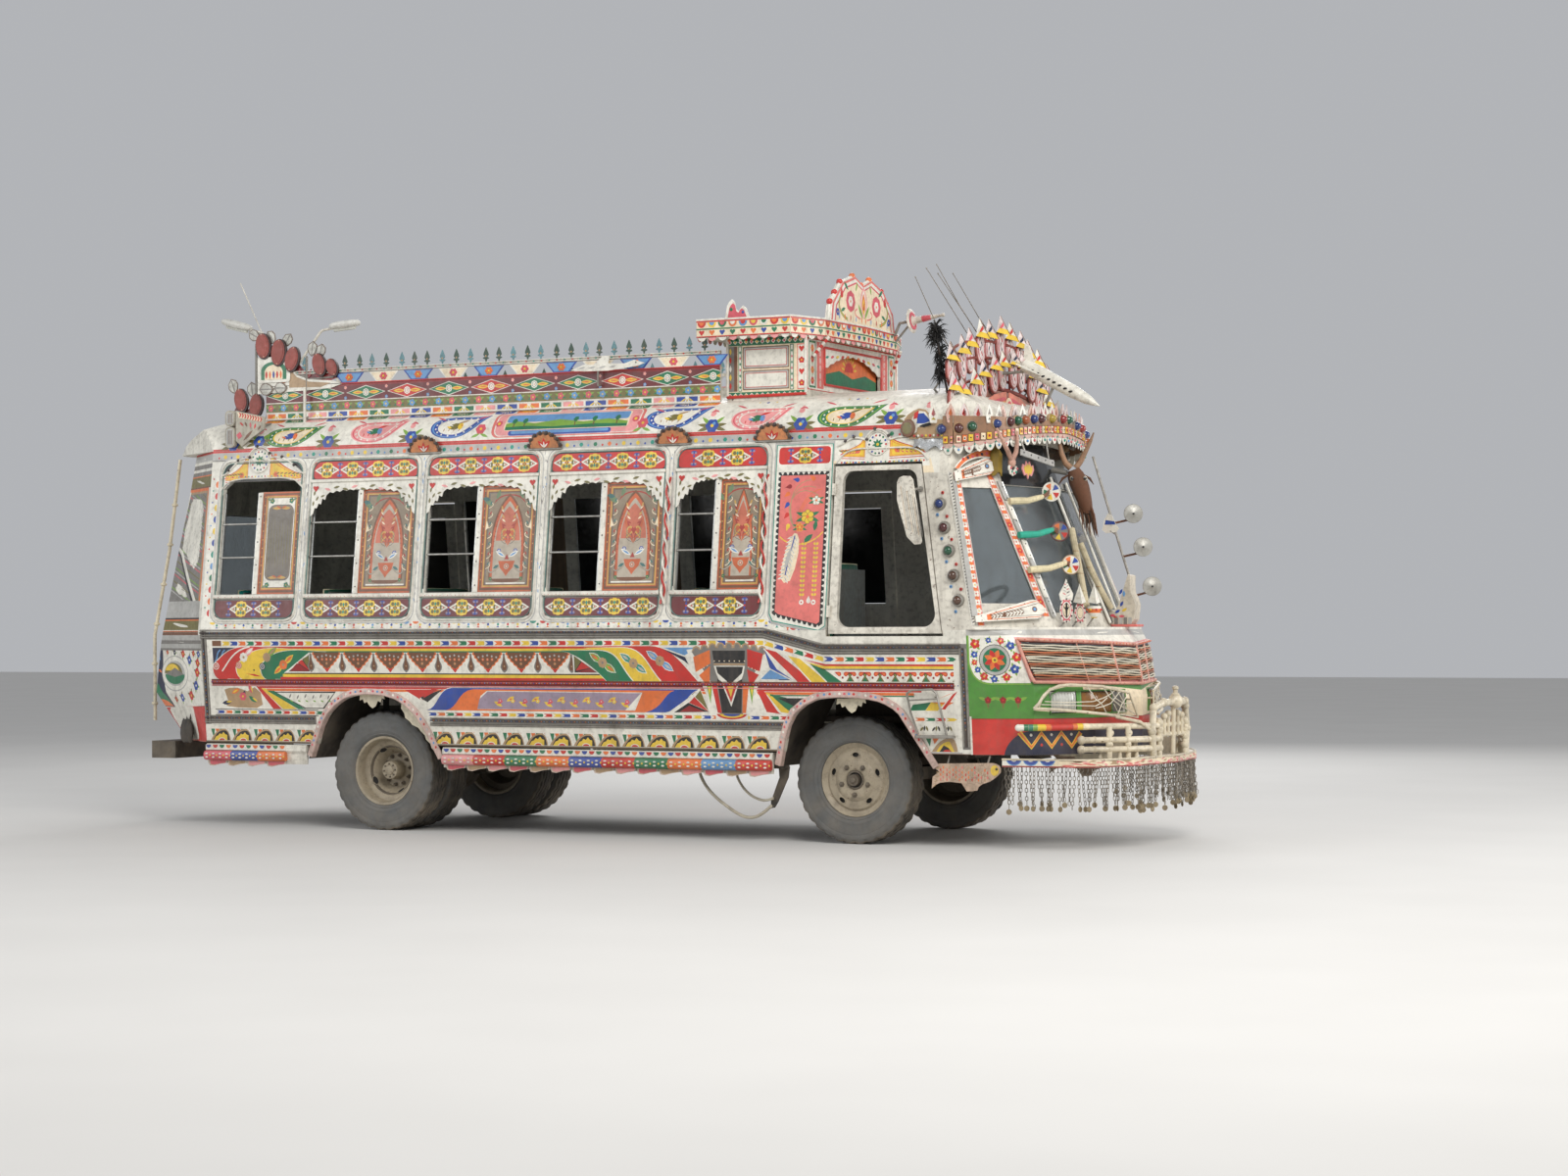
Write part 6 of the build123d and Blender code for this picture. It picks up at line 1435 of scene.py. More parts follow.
def mouldings():
    B = Bag()
    w, r, bl = paint("white"), paint("red"), paint("blue")
    belt = [(-1.385, 0), (2.90, 0), (3.30, -.10), (4.215, -.10)]
    for s in (-1, 1):
        cuts = [(-1.385, 4.25)] if s < 0 else [(-1.385, -1.299), (-.605, 2.229), (2.892, 4.25)]
        def pieces(line):
            """the line cut where the left doors are"""
            for a, b in cuts:
                pts = []
                for (x0, z0), (x1, z1) in zip(line, line[1:]):
                    lo, hi = max(x0, a), min(x1, b)
                    if hi - lo < .01: continue
                    f = lambda x: z0 + (z1 - z0) * (x - x0) / (x1 - x0)
                    if not pts or abs(pts[-1][0] - lo) > 1e-6: pts.append((lo, f(lo)))
                    pts.append((hi, f(hi)))
                if len(pts) > 1: yield pts
        for z, wd, d, m in ((1.283, .014, .010, GREY_M), (1.298, .010, .008, GREY_M), (1.3145, .012, .012, DARKM), (1.332, .012, .010, GREY_M)):
            for line in pieces([(x, z + dz) for x, dz in belt]):
                strip_along(B, line, d, wd, m, s)
        for z, wd, d, m in ((.708, .012, .010, GREY_M), (.720, .008, .007, GREY_M), (.738, .010, .010, DARKM), (.752, .010, .009, GREY_M)):
            for x0, x1 in ((-1.385, -.485), (.435, 3.045)):
                for line in pieces([(x0, z), (x1, z)]): strip_along(B, line, d, wd, m, s)
        for line in pieces([(-1.31, .984), (4.165, .984)]): strip_along(B, line, .009, .020, mat("moulding_red", PAL["dark_red"], grime=.35), s)
        for line in pieces([(-1.31, .961), (4.165, .961)]): strip_along(B, line, .005, .006, paint("pink"), s)
        for line in pieces([(-1.31, .999), (4.165, .999)]): strip_along(B, line, .005, .005, paint("brown"), s)
        for x in (-1.376, -1.361, -1.345): strip_along(B, [(x, .700), (x, 1.333)], .009, .012, GREY_M if x != -1.361 else DARKM, s)
        for x in (4.212, 4.229, 4.246): strip_along(B, [(x, .615), (x, 1.21)], .009, .013, GREY_M if x != 4.229 else DARKM, s)
        for line in pieces([(-1.385, .576), (-.49, .576)]): strip_along(B, line, .012, .012, mat("edge_brown", (96, 80, 62), grime=.6, dust=.6), s)
        for line in pieces([(.49, .576), (3.0, .576)]): strip_along(B, line, .012, .012, MATS["edge_brown"], s)
    B.make("side_mouldings", slot="painted_body")
    # beads on the mouldings
    D = Bag()
    cols = [paint(c) for c in ("light_blue", "sand", "blue", "orange")]
    for s in (-1, 1):
        k, x = 0, -1.30
        while x < 4.20:
            dz = 0 if x < 2.9 else -.10 * min(1, (x - 2.9) / .4)
            on_door = s > 0 and any(a - .01 < x < b + .01 for a, b in LEFT_DOORS.values())
            if not on_door:
                for z, c in ((1.3145 + dz, k), (.984, k + 2)):
                    y = side_y(z) + .0105
                    D.add(*stud(x - X0, s * y, z, .0042, s), cols[c % 4])
                if (x < -.49 or .44 < x < 3.04): D.add(*stud(x - X0, s * (side_y(.738) + .0095), .738, .0040, s), cols[(k + 1) % 4])
            x += .0205; k += 1
        z = .72
        while z < 1.2:
            for x in (-1.361, 4.229): D.add(*stud(x - X0, s * (side_y(z) + .0085), z, .0042, s), cols[k % 4])
            z += .0205; k += 1
    D.make("moulding_beads", smooth=0, slot="painted_body")

def stud(x, y, z, r, s=-1):
    """six sided bead on an upright surface"""
    v = [(x + r * math.cos(math.radians(60 * k)), y, z + r * math.sin(math.radians(60 * k))) for k in range(6)] + [(x, y + s * r * .7, z)]
    f = [(k, (k + 1) % 6, 6) for k in range(6)] + [tuple(range(5, -1, -1))]
    if s > 0: f = [tuple(reversed(a)) for a in f]
    return v, f
mouldings()

def arch_lips():
    """pressed lips round the wheel arches with a painted pattern"""
    B = Bag(); pk = mat("arch_pink", (206, 176, 166), grime=.5, dust=.5)
    for s in (-1, 1):
        for arch in (ARCH_REAR, ARCH_FRONT):
            cx = sum(p[0] for p in arch) / len(arch)
            line = [p for p in arch if p[1] >= .48]
            def out(i, d):
                a = line[max(0, i - 1)]; b = line[min(len(line) - 1, i + 1)]
                l = math.hypot(b[0] - a[0], b[1] - a[1]); return (line[i][0] - (b[1] - a[1]) / l * d, line[i][1] + (b[0] - a[0]) / l * d)
            rows = []
            for i in range(len(line)):
                p0, p1, p2 = out(i, .001), out(i, .006), out(i, .042)
                y = lambda p: side_y(max(p[1], .40))
                rows.append([(p0[0] - X0, s * (y(p0) - .030), p0[1]), (p0[0] - X0, s * (y(p0) + .016), p0[1]), (p1[0] - X0, s * (y(p1) + .020), p1[1]),
                             (p2[0] - X0, s * (y(p2) + .012), p2[1]), (p2[0] - X0, s * (y(p2) + .001), p2[1]), (p1[0] - X0, s * (y(p1) - .030), p1[1])])
            if s > 0: rows = [r[::-1] for r in rows]
            B.loft(rows, pk)
            k = 0
            total = 0
            for i in range(len(line) - 1):
                a, b = out(i, .024), out(i + 1, .024)
                l = math.hypot(b[0] - a[0], b[1] - a[1]); n = max(1, int(l / .030))
                for j in range(n):
                    t = (j + .5) / n; x, z = a[0] + (b[0] - a[0]) * t, a[1] + (b[1] - a[1]) * t
                    if z < .56: continue
                    v, f = stud(x - X0, s * (side_y(z) + .0165), z, .0095, s)
                    B.add([(p[0], s * (side_y(z) + .0175) if i_ == 6 else p[1], p[2]) for i_, p in enumerate(v)], f, paint(("rose", "light_blue", "red", "pale_grey", "white")[k % 5])); k += 1
    B.make("wheel_arch_lips", slot="painted_body")
    # pierced cream tongues under the arches and the strip behind the rear wheel
    C = Bag(); cm = mat("tongue_cream", (214, 204, 178), grime=.4, dust=.4)
    for s in (-1, 1):
        for xc in (-.035, 3.465):
            pts = [(-.095, .900), (.095, .905), (.100, .872), (.078, .880), (.070, .852), (.046, .862), (.030, .826), (.004, .812), (-.020, .830), (-.040, .856), (-.060, .846), (-.072, .872), (-.098, .864)]
            C.prism([(xc + a - X0, s * (side_y(.86) - .030), b) for a, b in pts], (0, s * .004, 0), cm)
        a, b = (.215, .865), (.470, .535)
        n = 12; left, right = [], []
        for k in range(n + 1):
            t = k / n; x, z = a[0] + (b[0] - a[0]) * t, a[1] + (b[1] - a[1]) * t
            wv = .035 * math.sin(math.pi * min(1, t * 1.6 + .12)) + .010
            right.append((x + .012, z + .010)); left.append((x - wv - (.012 if k % 2 else 0), z - wv * .7))
        C.prism([(p[0] - X0, s * (side_y(.7) - .022), p[1]) for p in right + left[::-1]], (0, s * .004, 0), cm)
    C.make("arch_tongues", slot="cream_tube")
arch_lips()

def skirts():
    """painted tube and hanging scallops below each side"""
    B = Bag()
    runs = [(-1.385, -.72, ("rose", "blue", "orange", "green")), (.53, 2.925, ("pink", "red", "green", "orange", "blue", "red", "green", "orange", "light_blue", "red", "green"))]
    def y(z): return side_y(.560)
    for s in (-1, 1):
        for x0, x1, cols in runs:
            n = max(3, round((x1 - x0) / .242)); step = (x1 - x0) / n
            for k in range(n):
                a, b = x0 + k * step, x0 + (k + 1) * step
                c = cols[k % len(cols)]
                yc = y(0) + .016
                segs = 10; r = .033
                prof = [(a - X0, 0), (a + .004 - X0, 1), (b - .004 - X0, 1), (b - X0, 0)]
                rows = []
                for t, rr in ((a, r * .96), (a + .006, r), (b - .006, r), (b, r * .96)):
                    rows.append([(t - X0, s * (yc + rr * math.sin(2 * math.pi * j / segs) * .8), .482 + rr * math.cos(2 * math.pi * j / segs)) for j in range(segs)])
                if s > 0: rows = [q[::-1] for q in rows]
                B.loft(rows, paint(c))
                for i in range(4):                                   # white scrolls on each length
                    x = a + step * (i + .5) / 4
                    for dz in (-.012, .012):
                        B.ball((x - X0, s * (yc + .0262), .482 + dz), .010, paint("white"), 6, (1.2, .22, .6))
                    B.ball((x + step / 8 - X0, s * (yc + .0268), .482), .007, paint("yellow"), 6, (1, .25, 1))
            # strip of half rounds above
            B.box((x0 - X0, s * (y(0) + .001), .518), (x1 - X0, s * (y(0) + .018), .556), paint("white"), .003)
            m = int((x1 - x0) / .052)
            for k in range(m):
                x = x0 + (k + .5) * (x1 - x0) / m
                pts = [(x + .020 * math.cos(math.radians(t)), .554 + .022 * math.sin(math.radians(t))) for t in range(180, 361, 30)]
                B.prism([(p[0] - X0, s * (y(0) + .018), p[1]) for p in pts], (0, s * .0015, 0), paint(("blue", "red", "green", "orange")[k % 4]))
            # hanging scallops
            m = int((x1 - x0) / .155)
            for k in range(m):
                x = x0 + .02 + k * (x1 - x0 - .02) / m; w = (x1 - x0) / m
                pts = [(x, .452), (x + w * .96, .452), (x + w * .90, .430), (x + w * .60, .424), (x + w * .25, .410), (x + w * .05, .414), (x + w * .0, .430)]
                B.prism([(p[0] - X0, s * (y(0) + .006), p[1]) for p in pts], (0, s * .003, 0), mat("scallop_pink", (206, 186, 168), grime=.5, dust=.4))
                B.prism([(p[0] + (x + w / 2 - p[0]) * .16 - X0, s * (y(0) + .009), p[1] + (.434 - p[1]) * .30) for p in pts], (0, s * .001, 0), paint(("rose", "sand", "pink")[k % 3]))
    B.make("painted_skirts", slot="painted_body")
skirts()


def windows():
    """raised frames, ledges, carved valances, shutter stiles and sashes of the five bays"""
    B = Bag(); w = paint("white"); r = paint("red"); g = paint("olive"); tl = paint("teal")
    S = Bag()
    for s in (-1, 1):
        for i, (x0, x1, xs) in enumerate(BAYS):
            door = s > 0 and i in (0, 4)
            if door: continue
            # raised double bead round the bay
            def bead(z0, z1, inset, wd, d, m):
                o = rrect(x0 + .006 + inset, x1 - .006 - inset, z0 + inset, z1 - inset, .075, 6)
                rows = []
                n = len(o)
                for j in range(n):
                    a, b, c = o[j - 1], o[j], o[(j + 1) % n]
                    l = math.hypot(c[0] - a[0], c[1] - a[1]) or 1; nx, nz = -(c[1] - a[1]) / l, (c[0] - a[0]) / l
                    row = []
                    for k in range(5):
                        t = math.pi * k / 4; q = -math.cos(t) * wd / 2; dd = math.sin(t) * d + .0005
                        xx, zz = b[0] + nx * q, b[1] + nz * q
                        row.append((xx - X0, s * (side_y(zz) + dd), zz))
                    rows.append(row if s < 0 else row[::-1])
                B.loft(rows, m, wrap=True)
            bead(1.396, 2.484, .000, .012, .010, RIB)
            bead(1.396, 2.484, .014, .007, .007, mat("bead_teal", (94, 132, 126), grime=.4))
            # ledge under the window and shelf over it
            for z, hh, dd in ((1.548, .026, .020), (2.322, .022, .018)):
                if i == 0 and z > 2: continue
                B.box((x0 + .014 - X0, s * (side_y(z) - .004), z), (x1 - .014 - X0, s * (side_y(z) + dd), z + hh), w, .004)
            n = int((x1 - x0) / .030)
            for k in range(n):
                x = x0 + .03 + k * (x1 - x0 - .06) / (n - 1)
                B.add(*stud(x - X0, s * (side_y(1.56) + .0205), 1.556, .0045, s), r if k % 2 else paint("pink"))
            if i:
                # carved valance with leaf shaped lower edge and corner brackets
                yv = lambda z: s * (side_y(z) + .003)
                top = 2.322; a, b = x0 + .022, x1 - .022
                low = []
                m = 22
                for k in range(1, m):
                    t = k / m; x = a + .12 + (b - a - .24) * t
                    arch = .030 * math.sin(math.pi * t) ** .6
                    low.append((x, 2.236 + arch + (.012 if k % 2 else 0)))
                def corner(sg, e):
                    return [(e + sg * .120, 2.236), (e + sg * .112, 2.205), (e + sg * .088, 2.215), (e + sg * .080, 2.175), (e + sg * .060, 2.182), (e + sg * .048, 2.150), (e + sg * .030, 2.152), (e + sg * .020, 2.112), (e + sg * .004, 2.098)]
                poly = [(a, top)] + [(a, 2.098)] + corner(1, a)[::-1] + low + corner(-1, b) + [(b, 2.098), (b, top)]
                rows = [[(x - X0, yv(z), z) for x, z in poly], [(x - X0, yv(z) + s * .005, z) for x, z in poly]]
                v = rows[0] + rows[1]; nn = len(poly)
                tri = delaunay_2d_cdt([Vector(p) for p in poly], [], [list(range(nn))], 1, 1e-6)[2]
                fr = [tuple(f) for f in tri]
                side = [(j, (j + 1) % nn, nn + (j + 1) % nn, nn + j) for j in range(nn)]
                S.add(v, [tuple(reversed(f)) for f in fr] + [tuple(q + nn for q in f) for f in fr] + side, w)
                # carved leaves and hearts
                for k in range(9):
                    x = a + .13 + (b - a - .26) * k / 8
                    z = 2.282 + .006 * math.sin(3 * k)
                    p = leaf(x - .025, z, .050, .016, 14 if k % 2 else -14)
                    S.prism([(q[0] - X0, yv(q[1]) + s * .0052, q[1]) for q in p], (0, s * .0025, 0), g if k % 3 else paint("pink"))
                for sg, e in ((1, a), (-1, b)):
                    h = [(0, -.022), (.020, .002), (.020, .014), (.008, .017), (0, .010), (-.008, .017), (-.020, .014), (-.020, .002)]
                    S.prism([(e + sg * .035 + p[0] - X0, yv(2.28) + s * .0055, 2.282 + p[1]) for p in h], (0, s * .003, 0), r)
                    for (dx, dz, an) in ((.022, 2.235, 80), (.040, 2.20, 60), (.075, 2.225, 20), (.018, 2.165, 85)):
                        p = leaf(e + sg * dx, dz, .034, .013, an if sg > 0 else 180 - an)
                        S.prism([(q[0] - X0, yv(q[1]) + s * .0055, q[1]) for q in p], (0, s * .002, 0), g)
            # white stile at the shutter's edge
            z0, z1 = 1.576, 2.266
            rows = []
            for z in (z0, (z0 + z1) / 2, z1):
                y = side_y(z)
                rows.append([(xs - .018 - X0, s * (y - .026), z), (xs + .016 - X0, s * (y - .026), z), (xs + .016 - X0, s * (y + .004), z), (xs - .018 - X0, s * (y + .004), z)])
            if s > 0: rows = [q[::-1] for q in rows]
            S.loft(rows, w)
            for k in range(5):
                z = 1.62 + .155 * k
                S.add(*stud(xs - .002 - X0, s * (side_y(z) + .0042), z, .006, s), DARKM)
            # slim aluminium sash in the open half
            for xx in (x0 + .034, xs - .030):
                rows = []
                for z in (1.576, 2.266):
                    y = side_y(z); rows.append([(xx - .008 - X0, s * (y - .030), z), (xx + .008 - X0, s * (y - .030), z), (xx + .008 - X0, s * (y - .018), z), (xx - .008 - X0, s * (y - .018), z)])
                if s > 0: rows = [q[::-1] for q in rows]
                S.loft(rows, mat("sash_alu", (190, 190, 186), rough=.35, metal=.8, grime=.35, dust=0))
    B.make("window_beads_and_ledges", slot="painted_body")
    S.make("window_valances_and_stiles", slot="painted_body")
windows()


def shutter_art(i):
    x0, x1, xs = BAYS[i]; A = Art()
    a, b = xs + .016, x1 - .022; z0, z1 = 1.576, 2.268; c = (a + b) / 2; w = (b - a)
    A.a("sh_rust", rect(a, b, z0, z1)); A.a("brown", rect(a + .010, b - .010, z0 + .010, z1 - .010)); A.a("sh_rust", rect(a + .024, b - .024, z0 + .026, z1 - .022))
    A.a("sh_gold", rect(a + .030, b - .030, z0 + .032, z1 - .028)); A.a("brown", rect(a + .040, b - .040, z0 + .042, z1 - .038))
    for k in range(22):
        z = z0 + .05 + .029 * k
        for x in (a + .017, b - .017):
            A.a("sh_gold" if k % 2 else "olive", circ(x, z, .005, 6))
    if i == 0:                                                     # plain board with ornaments in its corners
        A.a("white", rect(a + .044, b - .044, z0 + .046, z1 - .042)); A.a("sh_ash", rrect(a + .050, b - .050, z0 + .090, z1 - .086, .05)); A.a("sh_taupe", rrect(a + .056, b - .056, z0 + .100, z1 - .096, .045)); A.a("sh_ash", rrect(a + .060, b - .060, z0 + .106, z1 - .102, .04))
        for sx in (-1, 1):
            for sz in (-1, 1):
                px, pz = c + sx * (w / 2 - .075), (z0 + z1) / 2 + sz * .285
                A.flower(px, pz, .020, "green", "sh_gold", 5); A.a("sh_moss", leaf(px, pz, .05, .014, 90 - sx * 90 + sx * sz * 20))
        for sz in (-1, 1):
            zc = (z0 + z1) / 2 + sz * .235
            for q in (-1, 1):
                A.a("sh_gold", leaf(c, zc, .075, .020, 0 if q > 0 else 180)); A.a("sh_rust", leaf(c, zc, .045, .012, 20 if q > 0 else 160))
        for k in range(9):                                           # worn vertical brush strokes
            A.a("olive", leaf(c - .09 + .022 * k, 1.70 + .02 * (k % 3), .38, .004, 90))
        return A, (a, b, z0, z1)
    A.a("sh_ash", rect(a + .046, b - .046, z0 + .048, z1 - .044)); A.a("sh_taupe", rect(a + .056, b - .056, z0 + .060, z1 - .050))
    # a pointed arch with flowers, leaves and a footed bowl
    arch = [(a + .075, z0 + .085)] + bez((a + .075, z0 + .30), (a + .080, z0 + .46), (a + .13, z0 + .58), (c, z0 + .640), 8) + bez((c, z0 + .640), (b - .13, z0 + .58), (b - .080, z0 + .46), (b - .075, z0 + .30), 8) + [(b - .075, z0 + .085)]
    A.a("sh_red", bez((c - .12, z0 + .575), (c - .10, z0 + .655), (c + .10, z0 + .655), (c + .12, z0 + .575), 8) + bez((c + .09, z0 + .60), (c + .05, z0 + .635), (c - .05, z0 + .635), (c - .09, z0 + .60), 8))
    for sx in (-1, 1):
        A.a("sh_moss", leaf(c + sx * .13, z0 + .56, .090, .040, 90 - sx * 50)); A.a("sh_teal", leaf(c + sx * .15, z0 + .60, .060, .030, 90 - sx * 80)); A.a("sh_moss", leaf(c + sx * .10, z0 + .60, .07, .03, 90 + sx * 20))
        A.a("cream", [(c + sx * .175, z0 + .40), (c + sx * .150, z0 + .42), (c + sx * .168, z0 + .47)])
    A.a("brown", arch); A.a("sh_rust", [(c + (x - c) * .93, z0 + .085 + (z - z0 - .085) * .965) for x, z in arch]); A.a("sh_stone", [(c + (x - c) * .80, z0 + .085 + (z - z0 - .085) * .91) for x, z in arch])
    A.a("sh_rose", [(c + (x - c) * .70, z0 + .19 + (z - z0 - .085) * .66) for x, z in arch if z > z0 + .1] )
    for k in range(10):
        for sx in (-1, 1):
            z = z0 + .20 + .032 * k; A.a("sh_red", circ(c + sx * (w / 2 - .085 - .004 * k), z, .005, 6))
    for sx in (-1, 1):
        A.a("sh_rust", leaf(c, z0 + .30, .19, .036, 90 - sx * 22)); A.a("sh_red", leaf(c, z0 + .32, .15, .014, 90 - sx * 22))
        A.a("sh_gold", drop(c + sx * .030, z0 + .385, .026, .060, 90 - sx * 160)); A.a("sh_rust", drop(c + sx * .028, z0 + .385, .014, .035, 90 - sx * 160))
        A.a("blue", circ(c + sx * .062, z0 + .265, .017, 9)); A.a("white", circ(c + sx * .062, z0 + .265, .010, 8)); A.a("blue", circ(c + sx * .062, z0 + .265, .005, 6))
        A.a("white", leaf(c + sx * .012, z0 + .225, .085, .028, 90 - sx * 62)); A.a("light_blue", leaf(c + sx * .02, z0 + .23, .060, .012, 90 - sx * 62))
        A.a("sh_ash", thick(bez((c + sx * .055, z0 + .165), (c + sx * .12, z0 + .10), (c + sx * .15, z0 + .12), (c + sx * .125, z0 + .195), 7), .010))
        A.a("sh_stone", thick(bez((c + sx * .055, z0 + .165), (c + sx * .12, z0 + .10), (c + sx * .15, z0 + .12), (c + sx * .125, z0 + .195), 7), .005))
        A.a("sh_teal", leaf(c + sx * .10, z0 + .15, .05, .02, 90 + sx * 60)); A.flower(c + sx * .115, z0 + .085, .013, "green", "sh_gold", 5)
    A.a("sh_red", [(c, z0 + .36), (c + .020, z0 + .385), (c + .012, z0 + .405), (c, z0 + .395), (c - .012, z0 + .405), (c - .020, z0 + .385)])
    A.a("sh_red", [(c - .018, z0 + .21), (c, z0 + .245), (c + .018, z0 + .21)]); A.a("sh_rust", [(c - .062, z0 + .200), (c + .062, z0 + .200), (c + .048, z0 + .155), (c + .018, z0 + .125), (c, z0 + .100), (c - .018, z0 + .125), (c - .048, z0 + .155)])
    A.a("sh_stone", circ(c, z0 + .165, .020, 10)); A.a("sh_rust", circ(c, z0 + .165, .012, 8)); A.a("white", circ(c, z0 + .165, .005, 6))
    A.a("brown", circ(c, z0 + .085, .11, 12, rz=.028, a0=180, a1=360)); A.a("white", rect(a + .058, b - .058, z0 + .050, z0 + .060))
    for k in range(7):                                             # small scrolls and blossoms over the whole ground
        for sx in (-1, 1):
            z = z0 + .150 + .066 * k
            A.a("cream", thick(bez((c + sx * (w / 2 - .050), z), (c + sx * (w / 2 - .085), z + .010), (c + sx * (w / 2 - .090), z + .034), (c + sx * (w / 2 - .062), z + .036), 5), .005))
            A.a("sh_red" if k % 2 else "sh_teal", leaf(c + sx * (w / 2 - .058), z + .020, .030, .012, 90 + sx * 30))
    for k in range(6):
        for sx in (-1, 1):
            t = k / 5; A.a(("sh_red", "cream", "sh_gold")[k % 3], leaf(c + sx * (.020 + .030 * t), z0 + .425 + .030 * k * (1 - .3 * t), .034, .012, 90 - sx * (60 - 8 * k)))
            A.a("sh_ash", thick(bez((c + sx * .012, z0 + .31 + .01 * k), (c + sx * .05, z0 + .32 + .01 * k), (c + sx * .065, z0 + .345 + .012 * k), (c + sx * .040, z0 + .36 + .012 * k), 5), .004)) if k % 2 == 0 else None
    return A, (a, b, z0, z1)

def shutters():
    for i in range(5):
        A, (a, b, z0, z1) = shutter_art(i)
        def put(u, v, h, s=-1): return (u - X0, s * (side_y(v) - .006 + h), v)
        skin(f"painted_shutter_{i + 1}", A, rect(a, b, z0, z1), [], put, mirror=i in (1, 2, 3), base="brown")
shutters()


def side_ornaments():
    """fan brackets at the eave, ribbons, step iron"""
    B = Bag(); br = mat("fan_brown", (122, 92, 70), grime=.5); o = mat("fan_sand", (196, 128, 82), grime=.55); r = paint("red"); w = paint("white")
    for s in (-1, 1):
        for x in (.345, 1.265, 2.21, 2.91):
            if s > 0 and x in (2.21,): pass
            n = 9; fan = []
            for k in range(n + 1):
                a = math.radians(180 * k / n)
                fan.append((x + .118 * math.cos(a), 2.502 + .098 * math.sin(a)))
                if k < n:
                    a2 = math.radians(180 * (k + .5) / n); fan.append((x + .134 * math.cos(a2), 2.502 + .110 * math.sin(a2)))
            y0 = side_y(2.502) + .002
            B.prism([(p[0] - X0, s * (y0 + (p[1] - 2.5) * .20), p[1]) for p in fan], (0, s * .010, 0), br)
            B.prism([(x + (p[0] - x) * .84 - X0, s * (y0 + .010 + (p[1] - 2.5) * .18), 2.504 + (p[1] - 2.502) * .80) for p in fan], (0, s * .003, 0), o)
            for k in range(3):
                p = leaf(x, 2.506, .062, .024, 45 + 45 * k); B.prism([(q[0] - X0, s * (y0 + .0135 + (q[1] - 2.5) * .18), q[1]) for q in p], (0, s * .003, 0), r)
                p = leaf(x, 2.506, .040, .010, 45 + 45 * k); B.prism([(q[0] - X0, s * (y0 + .0165 + (q[1] - 2.5) * .18), q[1]) for q in p], (0, s * .0015, 0), w)
            for k in range(8):
                a = math.radians(180 * (k + .5) / 8); B.ball((x + .120 * math.cos(a) - X0, s * (y0 + .014 + .018 * math.sin(a)), 2.502 + .100 * math.sin(a)), .013, DARKM, 8)
            B.box((x - .125 - X0, s * (y0 - .002), 2.492), (x + .125 - X0, s * (y0 + .014), 2.503), GREY_M, .002)
    # twisted red and white ribbons on the pillars
    for x, on_left in ((2.190, True), (2.880, False), (2.170, False)):
        if x == 2.170: continue
        for s in ((-1, 1) if x == 2.19 else (-1,)):
            for j, m in enumerate((w, r)):
                pts = []
                for k in range(46):
                    z = 1.49 + .0178 * k; a = k * .62 + j * math.pi
                    pts.append((x + .013 * math.cos(a) - X0, s * (side_y(z) + .014 + .008 * math.sin(a)), z))
                B.tube(pts, .0085, m, n=6, flat=.7)
    # step iron beside the front wheel
    for s in (-1, 1):
        y = lambda z: s * (side_y(z) + .030)
        B.tube([(3.865 - X0, y(.95), .935), (3.895 - X0, y(.95) , .955), (4.03 - X0, y(.95), .962), (4.06 - X0, y(.94), .940), (4.09 - X0, y(.8), .80), (4.12 - X0, y(.7), .665)], .0075, GREY_M, 6)
        B.tube([(3.865 - X0, y(.95), .935), (3.885 - X0, y(.8), .82), (3.93 - X0, y(.7), .69)], .0075, GREY_M, 6)
        B.box((3.91 - X0, s * (side_y(.68) + .012), .668), (4.165 - X0, s * (side_y(.68) + .045), .686), GREY_M, .003)
        B.tube([(3.88 - X0, y(.9), .895), (4.07 - X0, y(.9), .905)], .006, GREY_M, 6)
        B.tube([(4.04 - X0, y(.94) - s * .03, .915), (4.055 - X0, y(.94), .925)], .006, GREY_M, 6)
    B.make("side_ornaments", slot="painted_body")
side_ornaments()


def carved_header(xa, xb, z0, z1, cx, cz, r, name, m=-1):
    """raised rim and knobs of the carved white header"""
    B = Bag(); w = RIB
    mid = (xa + xb) / 2
    top = bez((xa + .01, z0 + .10), (xa + .10, z0 + .13), (mid - .22, z1 - .03), (cx - r, cz + .02), 8) + circ(cx, cz, r * 1.22, 12, a0=165, a1=15) + bez((cx + r, cz + .02), (mid + .22, z1 - .03), (xb - .10, z0 + .13), (xb - .01, z0 + .10), 8)
    low = bez((xa + .012, z0), (xa + .05, z0 + .060), (xa + .09, z0 + .072), (mid - .15, z0 + .080), 8) + bez((mid + .15, z0 + .080), (xb - .09, z0 + .072), (xb - .05, z0 + .060), (xb - .012, z0), 8)
    for s in (-1, 1):
        for line, wd, d in ((top, .014, .012), (low, .012, .012), (circ(cx, cz, r * 1.05, 20) + [circ(cx, cz, r * 1.05, 20)[0]], .008, .010)):
            strip_along(B, line, d, wd, w, s)
        for k in (2, 5, 8, 14, 20, 24, 27):
            if k < len(top):
                x, z = top[k]; B.ball((x - X0, s * (side_y(z) + .010), z + .006), .011, DARKM, 8)
    return B
carved_header(-1.305, -.600, 2.285, 2.5595, -.990, 2.485, .078, "a").make("carved_header_rear", slot="painted_body")
carved_header(3.345, 3.975, 2.352, 2.555, 3.622, 2.462, .070, "b").make("carved_header_cab", slot="painted_body")


# ------------------------------------------------------------------ tyres and wheels
TYRE_SIDE = mat("tyre_sidewall", (92, 93, 92), rough=.78, grime=.18, dust=.22, scale=6, var=.10)
TREAD = mat("tyre_tread", (58, 58, 57), rough=.85, grime=.3, dust=.5, scale=9)
RIM = mat("rim_beige", (158, 146, 124), rough=.55, grime=.5, chips=.5, dust=.25)
HUBM = mat("hub_dusty", (104, 96, 84), rough=.6, grime=.7, metal=.3, dust=.3)
# near-black: painted shade for the floors of the wheel slots; also the hub's dark ring and the valve
SLOT_SHADE_AND_DARK = mat("slot_shade_and_dark_parts", (26, 24, 22), rough=.8, grime=.1, dust=0)

